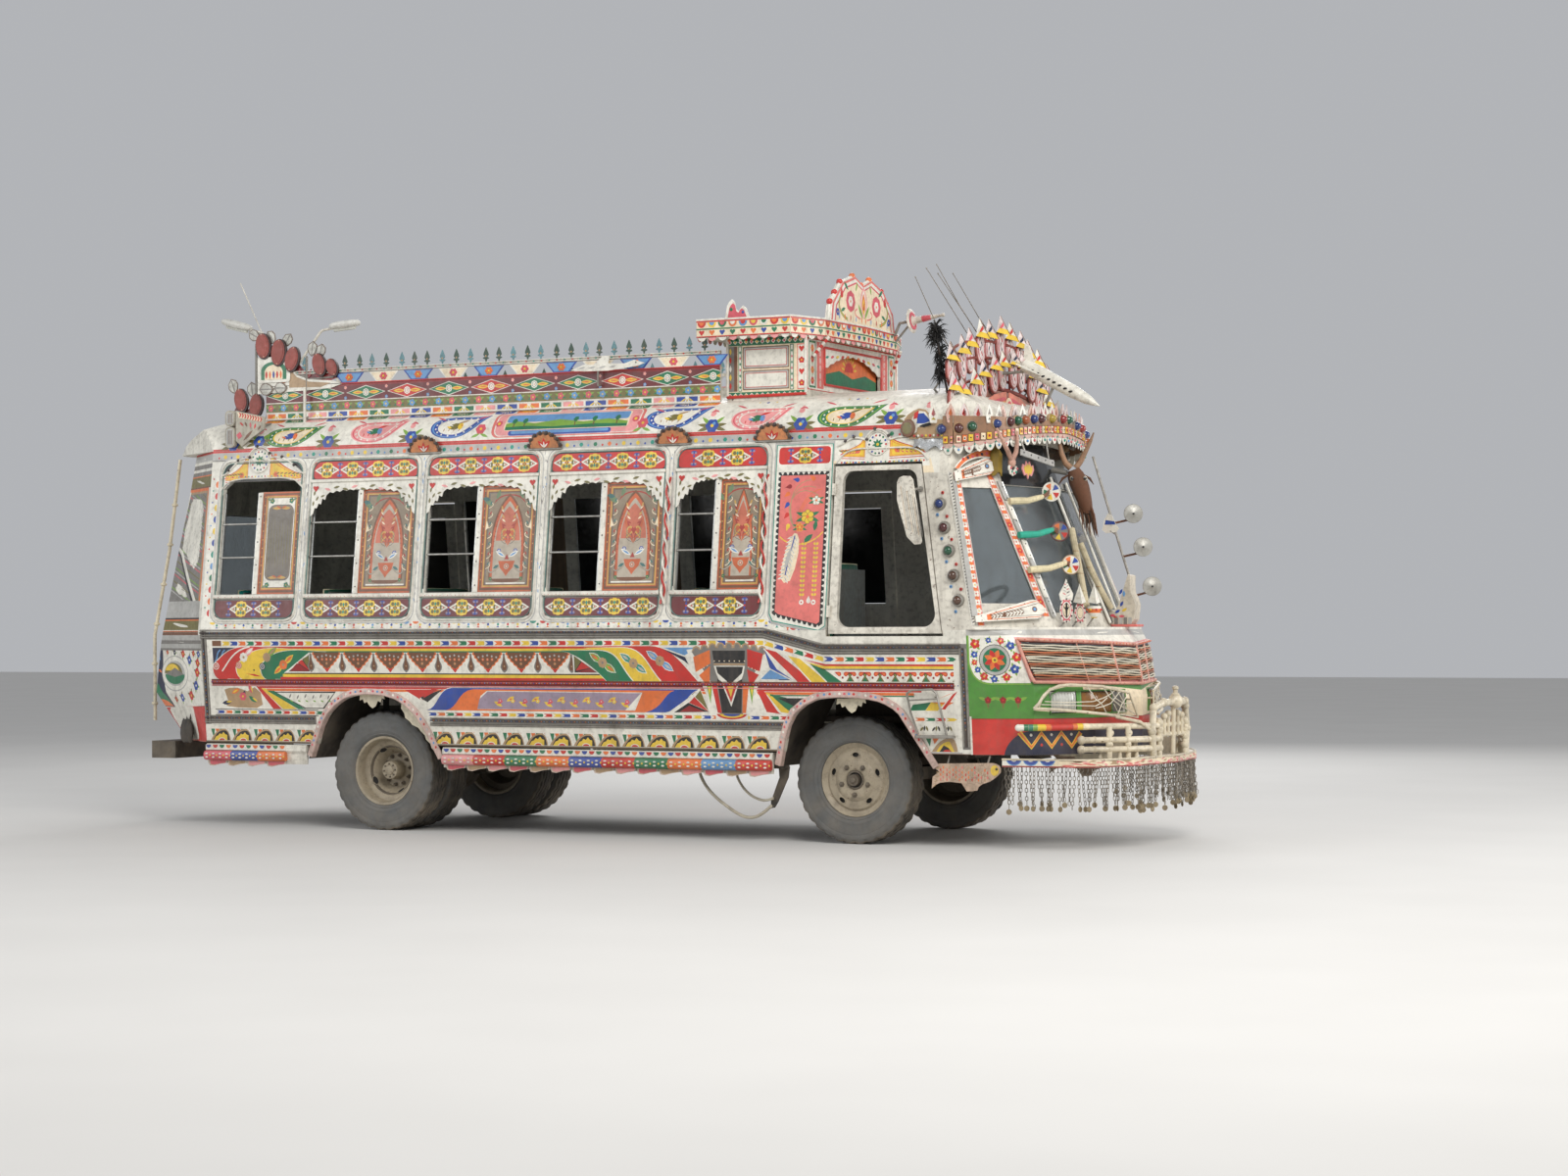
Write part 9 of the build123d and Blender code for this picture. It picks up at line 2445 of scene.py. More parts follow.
    # lamps up the door post
    P_ = Bag()
    for s in (-1, 1):
        for x, z, c_ in ((4.020, 2.080, "blue"), (4.055, 1.935, "maroon"), (4.092, 1.795, "green"), (4.128, 1.645, "brown"), (4.166, 1.495, "brown")):
            x += .035
            y = side_y(z); ctr = (x - X0, s * (y + .004), z)
            P_.lathe([(-.004, .040), (.010, .038), (.022, .033), (.024, .028), (.020, .026)], ctr, (0, s, 0), GREY_M, 16)
            gl = mat("lens_" + c_, tuple(int(v * .72) for v in PAL[c_]), rough=.08, grime=.15, dust=0, bump=0, coat=.6)
            P_.lathe([(.018, .027), (.028, .024), (.036, .016), (.039, .006), (.0395, .001)], ctr, (0, s, 0), gl, 14)
            for q, cc in ((.068, "red"), (-.066, "light_blue")):
                P_.ball((x - X0 - .015 * q / .066 * -1 * .9, s * (side_y(z + q) + .006), z + q), .0105, paint(cc), 8, (1, .5, 1)); P_.ball((x - X0 + .015 * q / .066 * .9, s * (side_y(z + q) + .008), z + q), .0055, BLACK, 6)
    P_.make("door_post_lamps", slot="white_enamel")
screen_parts()


# ------------------------------------------------------------------ visor edge: lamps, painted band, scalloped valance; crown of hooded feathers
SHELF_P = [(4.062, -.950), (4.130, -.950), (4.330, -.780), (4.450, -.430), (4.500, 0.0), (4.450, .430), (4.330, .780), (4.130, .950), (4.062, .950)]
def on_shelf(u, v, h):
    x, y, nx, ny = along(SHELF_P, u); return (x + nx * h - X0, y + ny * h, v)
def lens(name):
    return mat("lens_" + name, tuple(int(v * .72) for v in PAL[name]), rough=.08, grime=.15, dust=0, bump=0, coat=.6)
def dome(B, c, n, r, glass, m=None):
    """round lamp: ring, glass dome"""
    m = m or GREY_M
    B.lathe([(-.022, r * .8), (-.016, r * 1.05), (.0, r * 1.20), (.008, r * 1.20), (.012, r * 1.08), (.008, r)], c, n, m, 16)
    B.lathe([(.004, r), (.016, r * .96), (.030, r * .78), (.040, r * .45), (.043, r * .02)], c, n, glass, 16)
LACE = mat("feather_lace", (222, 206, 202), rough=.5, grime=.4, dust=0)
def sag(u):
    """the edge of the visor droops towards its two ends"""
    return -.100 * (abs(along(SHELF_P, u)[1]) / .95) ** 2
def visor():
    B = Bag(); L = plan_len(SHELF_P); w = paint("white"); pk = mat("visor_pink", (206, 170, 156), grime=.5)
    breaks_ = [0.0]
    for a, b in zip(SHELF_P, SHELF_P[1:]): breaks_.append(breaks_[-1] + math.hypot(b[0] - a[0], b[1] - a[1]))
    def cut(a, b, gap=.0015):
        e = [a] + [x for x in breaks_[1:-1] if a + .004 < x < b - .004] + [b]
        return [(p + (gap if k else 0), q - (gap if k < len(e) - 2 else 0)) for k, (p, q) in enumerate(zip(e, e[1:]))]
    def panel(a, b, z0, z1, h, m, th=.003):
        for p, q in cut(a, b):
            n_ = max(1, int((q - p) / .08))
            for t in range(n_):
                a2, b2 = p + (q - p) * t / n_, p + (q - p) * (t + 1) / n_
                d = Vector(on_shelf((a2 + b2) / 2, 0, h + th)) - Vector(on_shelf((a2 + b2) / 2, 0, h))
                B.prism([on_shelf(a2, z0 + sag(a2) if z0 < 2.566 else z0, h), on_shelf(b2, z0 + sag(b2) if z0 < 2.566 else z0, h), on_shelf(b2, z1 + (sag(b2) if z1 < 2.61 else 0), h), on_shelf(a2, z1 + (sag(a2) if z1 < 2.61 else 0), h)], d, m)
    panel(.001, L - .001, 2.540, 2.612, .0012, mat("visor_board", (150, 112, 84), grime=.5), .004)
    # band of small squares round the edge, with studs
    n = 58; cols = ("yellow", "pink", "cream", "orange", "yellow", "rose", "cream")
    for k in range(n):
        u = (k + .5) * L / n; hw = L / n * .42
        if any(abs(u - b) < hw for b in breaks_[1:-1]): hw *= .5
        zc = 2.566 + sag(u)
        def q(a, z, h): return on_shelf(a, z, h)
        for dz, h, m, s in ((.024, .0055, paint("brown"), 1.0), (.020, .0085, paint(cols[k % 7]), .84), (.010, .0115, paint(cols[(k + 3) % 7]), .50)):
            p = [q(u - hw * s, zc - dz, .0055), q(u + hw * s, zc - dz, .0055), q(u + hw * s, zc + dz, .0055), q(u - hw * s, zc + dz, .0055)]
            d = Vector(q(u, 2.58, h)) - Vector(q(u, 2.58, .003))
            B.prism(p, d, m)
        B.ball(q(u, zc, .012), .0065, (paint("navy"), paint("maroon"), paint("green"))[k % 3], 6)
    # scalloped valance hanging from the edge
    n = 34
    for row, (ztop, drop_, h, m) in enumerate(((2.546, .070, -.002, w), (2.546, .030, .002, pk))):
        for k in range(n):
            for a2, b2 in cut(k * L / n + .002, (k + 1) * L / n - .002):
                a, b = k * L / n + .002, (k + 1) * L / n - .002; zt = ztop + sag((a + b) / 2)
                pts = [(a2, zt), (b2, zt)] + [(b2 - (b2 - a2) * t / 8, zt - drop_ * (.45 + .55 * max(0.0, math.sin(math.pi * ((b2 - (b2 - a2) * t / 8 - a) / (b - a)))) ** .7)) for t in range(9)]
                p = [on_shelf(u, z, h) for u, z in pts]; d = Vector(on_shelf((a2 + b2) / 2, 2.5, h + .003)) - Vector(on_shelf((a2 + b2) / 2, 2.5, h))
                B.prism(p, d, m)
            if row == 0:
                B.ball(on_shelf((a + b) / 2, zt - .044, .004), .0090, paint(("teal", "light_blue", "rose", "white")[k % 4]), 6)
                B.ball(on_shelf(a, zt - .026, .004), .0060, paint(("rose", "teal")[k % 2]), 6)
    B.make("visor_band_and_valance", slot="white_enamel")
    # lamps
    D = Bag(); seq = ("blue", "maroon", "green", "blue", "maroon", "green", "orange", "blue", "maroon", "yellow", "red", "green", "blue", "red", "blue", "orange", "maroon", "green", "blue")
    us = [.004, .100, .185, .340, .465, .535, .605, .685, .770, .915, 1.06, 1.14, 1.345, 1.475, 1.72, 1.935, 2.080, 2.180]
    for k, u in enumerate(us):
        z = 2.632 + sag(u) - (.02 if u > 1.2 else 0)
        c = Vector(on_shelf(u, z, -.002)); t = Vector(on_shelf(u, z, .03)) - c
        if k == 0: t = Vector((.03, -.03, 0)).normalized() * .03; c = Vector((4.050 - X0, -.952, z))
        dome(D, c, t, .029, lens(seq[k % len(seq)]), paint("sand") if k % 2 else GREY_M)
        D.tube([c - t.normalized() * .018, c - t.normalized() * .030 + Vector((0, 0, -.02))], .012, GREY_M, 8)
        nn = t.normalized()
        for off in (0.0,) if k in (5, 6, 7) else (-.045, .045):
            sd = Vector((-nn.y, nn.x, 0)); zb = max(z + .010, 2.600); cc = Vector((c.x, c.y, zb)) - nn * .014 + sd * off
            pts, d, _ = facing(cc, (nn.x, nn.y), [(-.020, -.03), (.020, -.03), (.030, .018), (.022, .046), (.0, .088), (-.022, .046), (-.030, .018)], .006); D.prism(pts, d, (w, pk, LACE)[k % 3])
            pts, d, _ = facing(cc + nn * .0045, (nn.x, nn.y), [(-.014, .022), (.0, .008), (.014, .022), (.0, .062)], .0015); D.prism(pts, d, paint(("rose", "orange", "red")[k % 3]))
            pts, d, _ = facing(cc + nn * .0045, (nn.x, nn.y), [(-.016, -.012), (.016, -.012), (.0, .006)], .0015); D.prism(pts, d, paint(("yellow", "teal")[k % 2]))
    D.make("visor_lamps", slot="white_enamel")
    # painted scroll boards at the two rear ends of the visor
    S = Bag()
    for s in (-1, 1):
        yy = s * .940
        P3 = lambda pts: [(a - X0, yy, b) for a, b in pts]
        S.prism(P3([(3.800, 2.545), (3.806, 2.600), (3.830, 2.628), (3.868, 2.652), (3.905, 2.664), (3.945, 2.655), (3.975, 2.622), (3.990, 2.600), (4.062, 2.590), (4.062, 2.480), (3.84, 2.480)]), (0, s * .007, 0), paint("sand"))
        lay = lambda pts, m, h: S.prism([(a - X0, yy + s * h, b) for a, b in pts], (0, s * .0016, 0), m)
        lay([(3.845, 2.545), (3.860, 2.610), (3.900, 2.650), (3.945, 2.642), (3.968, 2.612), (3.990, 2.585), (3.95, 2.560), (3.90, 2.550)], paint("white"), .007)
        lay([(3.888, 2.572), (3.898, 2.632), (3.935, 2.634), (3.962, 2.606), (3.978, 2.585), (3.94, 2.572)], paint("blue"), .0086); lay([(3.868, 2.600), (3.876, 2.636), (3.905, 2.652), (3.894, 2.606)], paint("red"), .0102)
        lay([(3.852, 2.500), (3.850, 2.545), (3.872, 2.572), (3.900, 2.560), (3.888, 2.520)], paint("white"), .0102)
        lay([(3.905, 2.555), (3.930, 2.566), (3.975, 2.575), (3.985, 2.560), (3.94, 2.548)], BLACK, .0102)
        S.lathe([(-.004, .050), (.004, .056), (.012, .052), (.014, .040), (.011, .001)], (3.832 - X0, yy + s * .004, 2.545), (-.25, s, 0), paint("brown"), 20)
        S.lathe([(.0125, .038), (.0160, .034), (.0165, .001)], (3.832 - X0, yy + s * .004, 2.545), (-.25, s, 0), paint("ochre") if "ochre" in PAL else paint("olive"), 20)
        for k in range(8): S.ball((3.872 + .026 * k - X0, yy + s * .009, 2.497), .0085, paint(("red", "white", "rose", "yellow")[k % 4]), 8)
    # crumpled bright sheet under the rear part of the visor
    foil = mat("crumpled_sheet", (204, 206, 206), rough=.28, metal=.7, grime=.45, dust=0, bump=.5)
    r = random.Random(9)
    for s in (-1, 1):
        nx_, nz_ = 16, 4
        grid = [[None] * (nz_ + 1) for _ in range(nx_ + 1)]
        for i in range(nx_ + 1):
            for j in range(nz_ + 1):
                x = 3.87 + .36 * i / nx_; z = 2.480 - .060 * j / nz_ - (.010 * math.sin(5 * i) if j == nz_ else 0)
                yb = side_y(z) + .010 if x < 4.06 else max(.70, side_y(z) - (x - 4.06) * 1.15) + .020
                grid[i][j] = (x - X0, s * (yb + r.uniform(.0, .022)), z + r.uniform(-.006, .006))
        v = [p for row in grid for p in row]; q = nz_ + 1
        back = [(p[0], p[1] - s * .004, p[2]) for p in v]; m_ = len(v)
        f = []
        for i in range(nx_):
            for j in range(nz_):
                a = (i * q + j, (i + 1) * q + j, (i + 1) * q + j + 1, i * q + j + 1); f.append(a if s > 0 else a[::-1]); bq = tuple(t + m_ for t in a); f.append(bq[::-1] if s > 0 else bq)
        S.add(v + back, f, foil)
    S.make("visor_ends", slot="white_enamel")
visor()

def feather(B, x, y, z, w, h, tilt, k, hooded=True):
    """oval plate with painted strokes under a pointed hood; y, z = foot, tilt leans it sideways"""
    ct, st = math.cos(tilt), math.sin(tilt)
    def at(a, b, d=0.0): return (x + d - X0, y + a * ct + b * st, z - a * st + b * ct)
    def put(pts, d0, th, m): B.prism([at(a, b, d0) for a, b in pts], (th, 0, 0), m)
    ov = [(w / 2 * math.cos(t), h * .33 + h * .33 * math.sin(t)) for t in [2 * math.pi * i / 20 for i in range(20)]]
    sc_ = lambda f: [(a * f, (b - h * .33) * (1 - (1 - f) * .62) + h * .33) for a, b in ov]
    put(sc_(1.16), -.010, .006, mat("feather_back", (128, 50, 40), grime=.4, dust=0))
    put(ov, -.004, .007, mat("feather_rim", (196, 128, 122), grime=.35, dust=0)); put(sc_(.86), .003, .0015, LACE); put(sc_(.66), .0045, .001, paint("rose" if k % 2 else "pale_grey")); put(sc_(.58), .0055, .001, LACE)
    for i in range(4):
        b = h * (.17 + .11 * i); put(leaf((-.18 if i % 2 else .12) * w, b, w * .30, .012, 90 - (30 if i % 2 else -40)), .0065, .001, (BLACK, paint("navy"), paint("brown"), paint("red"))[(i + k) % 4])
    for sgn in (-1, 1): put(leaf(sgn * w * .36, h * .18, h * .26, .006, 90), .0065, .001, paint("rose"))
    # hood
    tip = at(0, h, -.002); L_, R_ = at(-w * .52, h * .60, .0), at(w * .52, h * .60, .0); F_ = at(0, h * .53, .066); Bk = at(0, h * .66, -.008)
    nose = at(0, h * .80, .022)
    pk = LACE if k % 3 else paint("white")
    B.add([tip, L_, F_, R_, Bk, nose], [(0, 1, 5), (1, 2, 5), (0, 5, 3), (5, 2, 3), (0, 3, 4), (0, 4, 1)], pk)
    # yellow under edge and strokes on the hood
    e = .0016
    L2, R2, F2, m1, m2 = at(-w * .52, h * .60, e), at(w * .52, h * .60, e), at(0, h * .53, .068), at(-w * .30, h * .705, .014 + e), at(w * .30, h * .705, .014 + e)
    n2 = at(0, h * .66, .046)
    B.add([L2, F2, n2, m1], [(0, 1, 2, 3), (3, 2, 1, 0)], paint("yellow")); B.add([R2, F2, n2, m2], [(0, 3, 2, 1), (1, 2, 3, 0)], paint("yellow"))
    for sgn in (-1, 1):
        q = [at(sgn * w * .34, h * .71, .016), at(sgn * w * .05, h * .84, .021), at(sgn * w * .08, h * .76, .029), at(sgn * w * .30, h * .685, .023)]
        B.add(q, [(0, 1, 2, 3), (3, 2, 1, 0)], paint(("red", "navy", "rose")[k % 3]))
    B.add([L_, F_, R_, Bk], [(0, 3, 2, 1)], paint("olive"))
    B.tube([at(0, h * .985, 0), at(0, h * .53, .0685)], .0022, paint("brown"), 5)

def crown():
    B = Bag(); k = 0; frame_ = mat("crown_frame_red", (136, 52, 42), grime=.4, dust=0)
    # red frame arches holding the feathers
    arc = lambda w_, z0, z1, n=22: [(w_ * math.sin(math.pi * (i / n - .5)), z0 + (z1 - z0) * max(0.0, math.cos(math.pi * (i / n - .5))) ** .8) for i in range(n + 1)]
    for w_, z0, z1, r_ in ((.800, 2.640, 2.845, .014), (.825, 2.84, 3.03, .010), (.838, 2.93, 3.135, .010), (.80, 2.655, 2.90, .010)):
        B.tube([(4.046 - X0, y, z) for y, z in arc(w_, z0, z1)], r_, frame_, 8)
    for i in range(-4, 5):
        y = i * .185; z0 = 2.64 + .20 * math.cos(math.pi / 2 * y / .84); z1 = 2.93 + .22 * math.cos(math.pi / 2 * y / .84)
        B.tube([(4.042 - X0, y, z0 - .03), (4.042 - X0, y, z1)], .008, frame_, 6)
    # outer ring
    for i, (y, zt) in enumerate(((-.790, 3.085), (-.640, 3.140), (-.490, 3.195), (-.335, 3.262), (-.165, 3.276), (.010, 3.314), (.190, 3.288), (.350, 3.248), (.500, 3.205), (.650, 3.155), (.790, 3.085))):
        h = .285; tilt = y * .16
        feather(B, 4.044 + .010 * (i % 2), y - math.sin(tilt) * h, zt - math.cos(tilt) * h, .138, h, tilt, k); k += 1
    # inner ring, in front of it, standing on the arch
    for i, (y, zt) in enumerate(((-.660, 2.875), (-.490, 2.945), (-.325, 3.006), (-.160, 3.058), (.010, 3.090), (.180, 3.110), (.345, 3.100), (.510, 3.046), (.665, 2.965))):
        h = .250; tilt = y * .16
        feather(B, 4.066 + .010 * (i % 2), y - math.sin(tilt) * h, zt - math.cos(tilt) * h, .130, h, tilt, k + 3); k += 1
    # ends: lower, larger feathers
    for s in (-1, 1):
        feather(B, 4.064, s * .770, 2.618, .150, .285, s * .10, k + (s > 0)); feather(B, 4.052, s * .800, 2.822, .110, .250, s * .06, k + 2 + (s > 0))
    # rose ribbon ornament inside the arch
    rib = mat("ribbon_salmon", (222, 134, 112), grime=.4, dust=0)
    for s in (-1, 1):
        a = [(-.541, 2.672), (-.45, 2.712), (-.35, 2.746), (-.221, 2.792), (-.10, 2.812), (-.024, 2.822), (-.020, 2.760), (-.03, 2.715), (-.12, 2.672), (-.223, 2.632), (-.30, 2.618), (-.463, 2.618), (-.440, 2.648), (-.48, 2.665)]
        B.prism([(4.100 - X0, -s * y, z) for y, z in a], (.006, 0, 0), rib)
        B.prism([(4.106 - X0, -s * y, z) for y, z in [(-.40, 2.700), (-.25, 2.752), (-.10, 2.782), (-.04, 2.786), (-.04, 2.768), (-.14, 2.752), (-.28, 2.712), (-.36, 2.684)]], (.0015, 0, 0), paint("rose"))
        B.prism([(4.092 - X0, -s * y, z) for y, z in [(-.680, 2.616), (-.600, 2.652), (-.500, 2.700), (-.350, 2.752), (-.156, 2.800), (-.180, 2.764), (-.300, 2.724), (-.420, 2.668), (-.500, 2.640), (-.560, 2.616)]], (.005, 0, 0), paint("white"))
        for q in range(7):
            t = q / 6; B.prism([(4.108 - X0, s * y, z) for y, z in leaf(.06 + .055 * q, 2.700 - .05 * t, .060, .022, 75 - 50 * t)], (.004, 0, 0), paint(("yellow", "orange", "cream", "red")[q % 4]))
    B.tube([(4.104 - X0, 0, 2.615), (4.060 - X0, 0, 2.80)], .008, GREY_M, 6)
    for y in (-.40, .40): B.tube([(4.100 - X0, y, 2.70), (4.052 - X0, y, 2.70)], .007, GREY_M, 6)
    B.prism([(4.110 - X0, y, z) for y, z in circ(0, 2.735, .050, 14)], (.006, 0, 0), paint("cream")); B.prism([(4.116 - X0, y, z) for y, z in circ(0, 2.735, .030, 12)], (.004, 0, 0), paint("rose")); B.prism([(4.120 - X0, y, z) for y, z in circ(0, 2.735, .014, 10)], (.004, 0, 0), paint("yellow"))
    # filled lower board
    B.prism([(4.042 - X0, y, z) for y, z in [(-.80, 2.600)] + arc(.80, 2.62, 2.83) + [(.80, 2.600)]], (.010, 0, 0), mat("crown_ground", (170, 120, 104), grime=.5, dust=0))
    for y in (-.70, -.45, -.2, .2, .45, .70): B.tube([(4.050 - X0, y, 2.60), (3.90 - X0, y, 2.80)], .008, GREY_M, 6); B.tube([(3.90 - X0, y, 2.80), (4.045 - X0, y, 2.98)], .006, GREY_M, 6)
    B.make("front_crown_feathers", slot="white_enamel", replaces=("front_crown",), smooth=20)
    # spear with black dashes at the front
    S = Bag(); w = paint("white")
    a, b = Vector((4.20 - X0, 0, 3.000)), Vector((4.72 - X0, 0, 2.710))
    d = (b - a).normalized()
    S.tube([a, a + d * .02, a + d * .12, a + d * .40, a + d * .50, a + d * .545, b], [.018, .040, .046, .042, .032, .020, .002], w, 14)
    side = Vector((0, -1, 0)); up = d.cross(side)
    for i in range(8):
        for sg in (-1, 1):
            c = a + d * (.10 + .042 * i) + side * sg * .0435 + up * .002; S.ball(c, .0125, BLACK, 6, (1.2, .35, .6))
    for sg in (-1, 1):
        q = [a + d * .06, a + d * .20, a + d * .14 + side * sg * .17 - d * .06, a + d * .06 + side * sg * .17 - d * .03]; S.prism([tuple(p) for p in q], up * .006, w)
        q = [a + d * .0, a + d * .06, a - d * .02 + side * sg * .08, a - d * .05 + side * sg * .08]; S.prism([tuple(p) for p in q], up * .005, paint("pale_grey"))
    S.prism([tuple(a + d * t + up * -h_ ) for t, h_ in ((.0, .03), (.08, .04), (.0, .12), (-.04, .12))], side * .006, w)
    S.tube([b - d * .050, b], [.0185, .002], paint("red"), 10)
    S.tube([(4.06 - X0, 0, 2.94), a + d * .10], .010, GREY_M, 8); S.tube([(4.30 - X0, -.0, 2.61), a + d * .26], .010, GREY_M, 8)
    S.prism([(4.43 - X0, y, z) for y, z in ((-.06, 2.63), (-.02, 2.72), (.03, 2.76), (.07, 2.70), (.10, 2.63))], (.005, 0, 0), paint("pale_grey"))
    S.make("front_spear_ornament", slot="white_enamel")
    # black plumes
    P_ = Bag(); bk = mat("plume_black", (20, 19, 19), rough=.9, grime=.1, dust=0, weave=120); r = random.Random(21)
    for cy, cz, rad, n in ((-.905, 3.120, .085, 190), (-.835, 2.945, .070, 190)):
        for i in range(n):
            t = r.random(); a = r.uniform(0, 2 * math.pi)
            base = Vector((4.00 - X0, cy + r.uniform(-.02, .02), cz + r.uniform(-.05, .05) * (1 if cz > 3.05 else 2)))
            out = Vector((math.cos(a) * .5, math.sin(a) * .75, r.uniform(-1.0, .6))).normalized() * rad * r.uniform(.55, 1.1)
            P_.tube([base, base + out * .6 + Vector((0, 0, .01)), base + out + Vector((0, 0, -.03 * r.random()))], [.0050, .0035, .0006], bk, 3)
    P_.tube([(4.00 - X0, -.700, 2.62), (4.00 - X0, -.745, 2.80), (4.00 - X0, -.835, 2.95), (4.00 - X0, -.905, 3.14)], .008, mat("stick_dark", (60, 44, 36)), 6)
    P_.make("black_plumes", slot="dark_plastic")
    # thin aerials behind the crown
    A_ = Bag(); am = mat("aerial_steel", (140, 130, 116), rough=.4, metal=.7, grime=.3, dust=0)
    for (y0, z0), (y1, z1) in (((-1.16, 3.443), (-.789, 3.193)), ((-.932, 3.515), (-.309, 3.185)), ((-.755, 3.501), (-.175, 3.218)), ((-.773, 3.554), (-.400, 3.330)), ((-.516, 3.527), (-.106, 3.297))):
        y0, z0 = max(y0, -1.10), z0
        f = 1 + (3.02 - z1) / (z1 - z0)                          # down to the frame of the crown
        foot = (y0 + (y1 - y0) * min(f, 1.8), z0 + (z1 - z0) * min(f, 1.8))
        A_.tube([(3.95 - X0, y0, z0), (3.95 - X0, y1, z1), (3.97 - X0, foot[0], foot[1])], [.0022, .003, .004], am, 6)
        A_.tube([(3.97 - X0, foot[0], foot[1]), (4.044 - X0, foot[0] + .02, foot[1] - .03)], .004, am, 6)
        A_.ball((3.95 - X0, y0, z0), .005, am, 6)
    A_.make("front_aerials", slot="white_enamel")
crown()


# ------------------------------------------------------------------ castle on the roof: framed walls, canopy edge, crest, fin, horn
def castle():
    A = Art()
    x0, x1, z0, z1 = 2.469, 3.026, 2.79, 3.17
    A.a("cream", rect(2.3, 3.2, 2.6, 3.2))
    A.a("green", rect(x0, x1, z0, z0 + .040)); A.a("green", rect(x0, x1, z1 - .045, z1))
    for k in range(15):
        x = x0 + .02 + .0385 * k
        for z in (z0 + .020, z1 - .022):
            A.a("white", [(x - .016, z), (x, z + .015), (x + .016, z), (x, z - .015)]); A.a("yellow" if k % 2 else "rose", [(x - .009, z), (x, z + .009), (x + .009, z), (x, z - .009)])
    A.a("grey", rect(x0, x0 + .070, z0 + .045, z1 - .048)); A.a("brown", rect(x0 + .050, x0 + .074, z0 + .045, z1 - .048))
    for k in range(5): A.a(("red", "yellow", "white")[k % 3], leaf(x0 + .024, z0 + .058 + .055 * k, .045, .016, 90))
    for a, b in ((x0 + .080, x0 + .106), (x1 - .112, x1 - .086)):
        A.a("green", rect(a, b, z0 + .045, z1 - .048)); A.a("white", rect(a + .005, b - .005, z0 + .050, z1 - .053))
        for k in range(7): A.a(("green", "rose")[k % 2], [((a + b) / 2 - .007, z0 + .070 + .037 * k), ((a + b) / 2, z0 + .082 + .037 * k), ((a + b) / 2 + .007, z0 + .070 + .037 * k), ((a + b) / 2, z0 + .058 + .037 * k)])
    for za, zb in ((z0 + .052, z0 + .176), (z0 + .186, z1 - .054)):
        a, b = x0 + .112, x1 - .118
        A.a("brown", rrect(a, b, za, zb, .006, 2)); A.a("pale_grey", rrect(a + .006, b - .006, za + .006, zb - .006, .006, 2)); A.a("red", rrect(a + .016, b - .016, za + .016, zb - .016, .006, 2)); A.a("white", rrect(a + .020, b - .020, za + .020, zb - .020, .005, 2))
    A.a("salmon", rect(x1 - .062, x1, z0 + .045, z1 - .048)); A.a("white", rect(x1 - .056, x1 - .006, z0 + .052, z1 - .055))
    for k in range(4):
        z = z0 + .085 + .072 * k
        if k % 2: A.a("red", [(x1 - .031, z - .022), (x1 - .012, z + .004), (x1 - .014, z + .016), (x1 - .024, z + .018), (x1 - .031, z + .010), (x1 - .038, z + .018), (x1 - .048, z + .016), (x1 - .050, z + .004)])
        else: A.flower(x1 - .031, z, .022, "red", "yellow", 5, 90)
    for s in (-1, 1):
        skin("painted_castle_side_" + ("right" if s < 0 else "left"), A, rect(x0 + .001, x1 - .001, 2.805, z1 - .001), [], lambda u, v, h, s=s: (u - X0, s * (.700 + h), v))
    # front wall: arched niche with a sunrise picture
    F_ = Art(); F_.a("cream", rect(-.75, .75, 2.7, 3.3)); F_.a("red", rrect(-.690, .690, 2.83, 3.165, .02, 3)); F_.a("white", rrect(-.680, .680, 2.84, 3.155, .02, 3))
    for s in (-1, 1):
        F_.a("green", rect(s * .56, s * .66, 2.85, 3.145)); F_.a("white", rect(s * .572, s * .648, 2.862, 3.133))
        for k in range(4): F_.flower(s * .61, 2.895 + .068 * k, .025, ("red", "orange")[k % 2], "yellow", 6); F_.a("light_green", leaf(s * .61, 2.92 + .068 * k, .03, .01, 90))
        F_.a("salmon", rect(s * .445, s * .545, 2.85, 3.145))
        for k in range(6): F_.a("white", leaf(s * .495, 2.86 + .048 * k, .045, .024, 90)); F_.a("rose", leaf(s * .495, 2.866 + .048 * k, .030, .010, 90))
    skin("painted_castle_front", F_, rect(-.699, .699, 2.835, 3.169), [rect(-.431, .431, 2.8845, 3.1105)], lambda u, v, h: (3.026 + h - X0, u, v))
    B = Bag(); w = paint("white")
    # scalloped arch over the niche
    for s in (-1, 1):
        pts = [(0, 3.108), (.43, 3.108), (.43, 2.99)] + [(.43 - .43 * t, 2.985 + .105 * math.sin(math.pi / 2 * t) - (.010 if int(t * 10) % 2 else 0)) for t in [k / 10 for k in range(1, 11)]]
        B.prism([(3.024 - X0, s * y, z) for y, z in pts], (.005, 0, 0), w)
        for k in range(5): B.prism([(3.0295 - X0, s * y, z) for y, z in leaf(.06 + .078 * k, 3.088 - .006 * k, .05, .018, -12)], (.0015, 0, 0), paint(("orange", "red", "yellow", "rose", "teal")[k]))
    # picture at the back of the niche
    B.box((2.992 - X0, -.425, 2.888), (2.998 - X0, .425, 3.105), paint("orange"))
    B.prism([(2.9985 - X0, y, z) for y, z in [(-.42, 2.89), (.42, 2.89), (.42, 2.955), (.25, 2.985), (.05, 2.950), (-.15, 2.990), (-.42, 2.945)]], (.0012, 0, 0), paint("green")); B.prism([(2.9985 - X0, y, z) for y, z in circ(0, 2.992, .062, 18, a0=0, a1=180)], (.0008, 0, 0), paint("red"))
    for k in range(9):
        a = 10 + 20 * k; B.prism([(2.9985 - X0, y, z) for y, z in leaf(.07 * math.cos(math.radians(a)), 2.992 + .07 * math.sin(math.radians(a)), .05, .016, a)], (.0008, 0, 0), paint("yellow"))
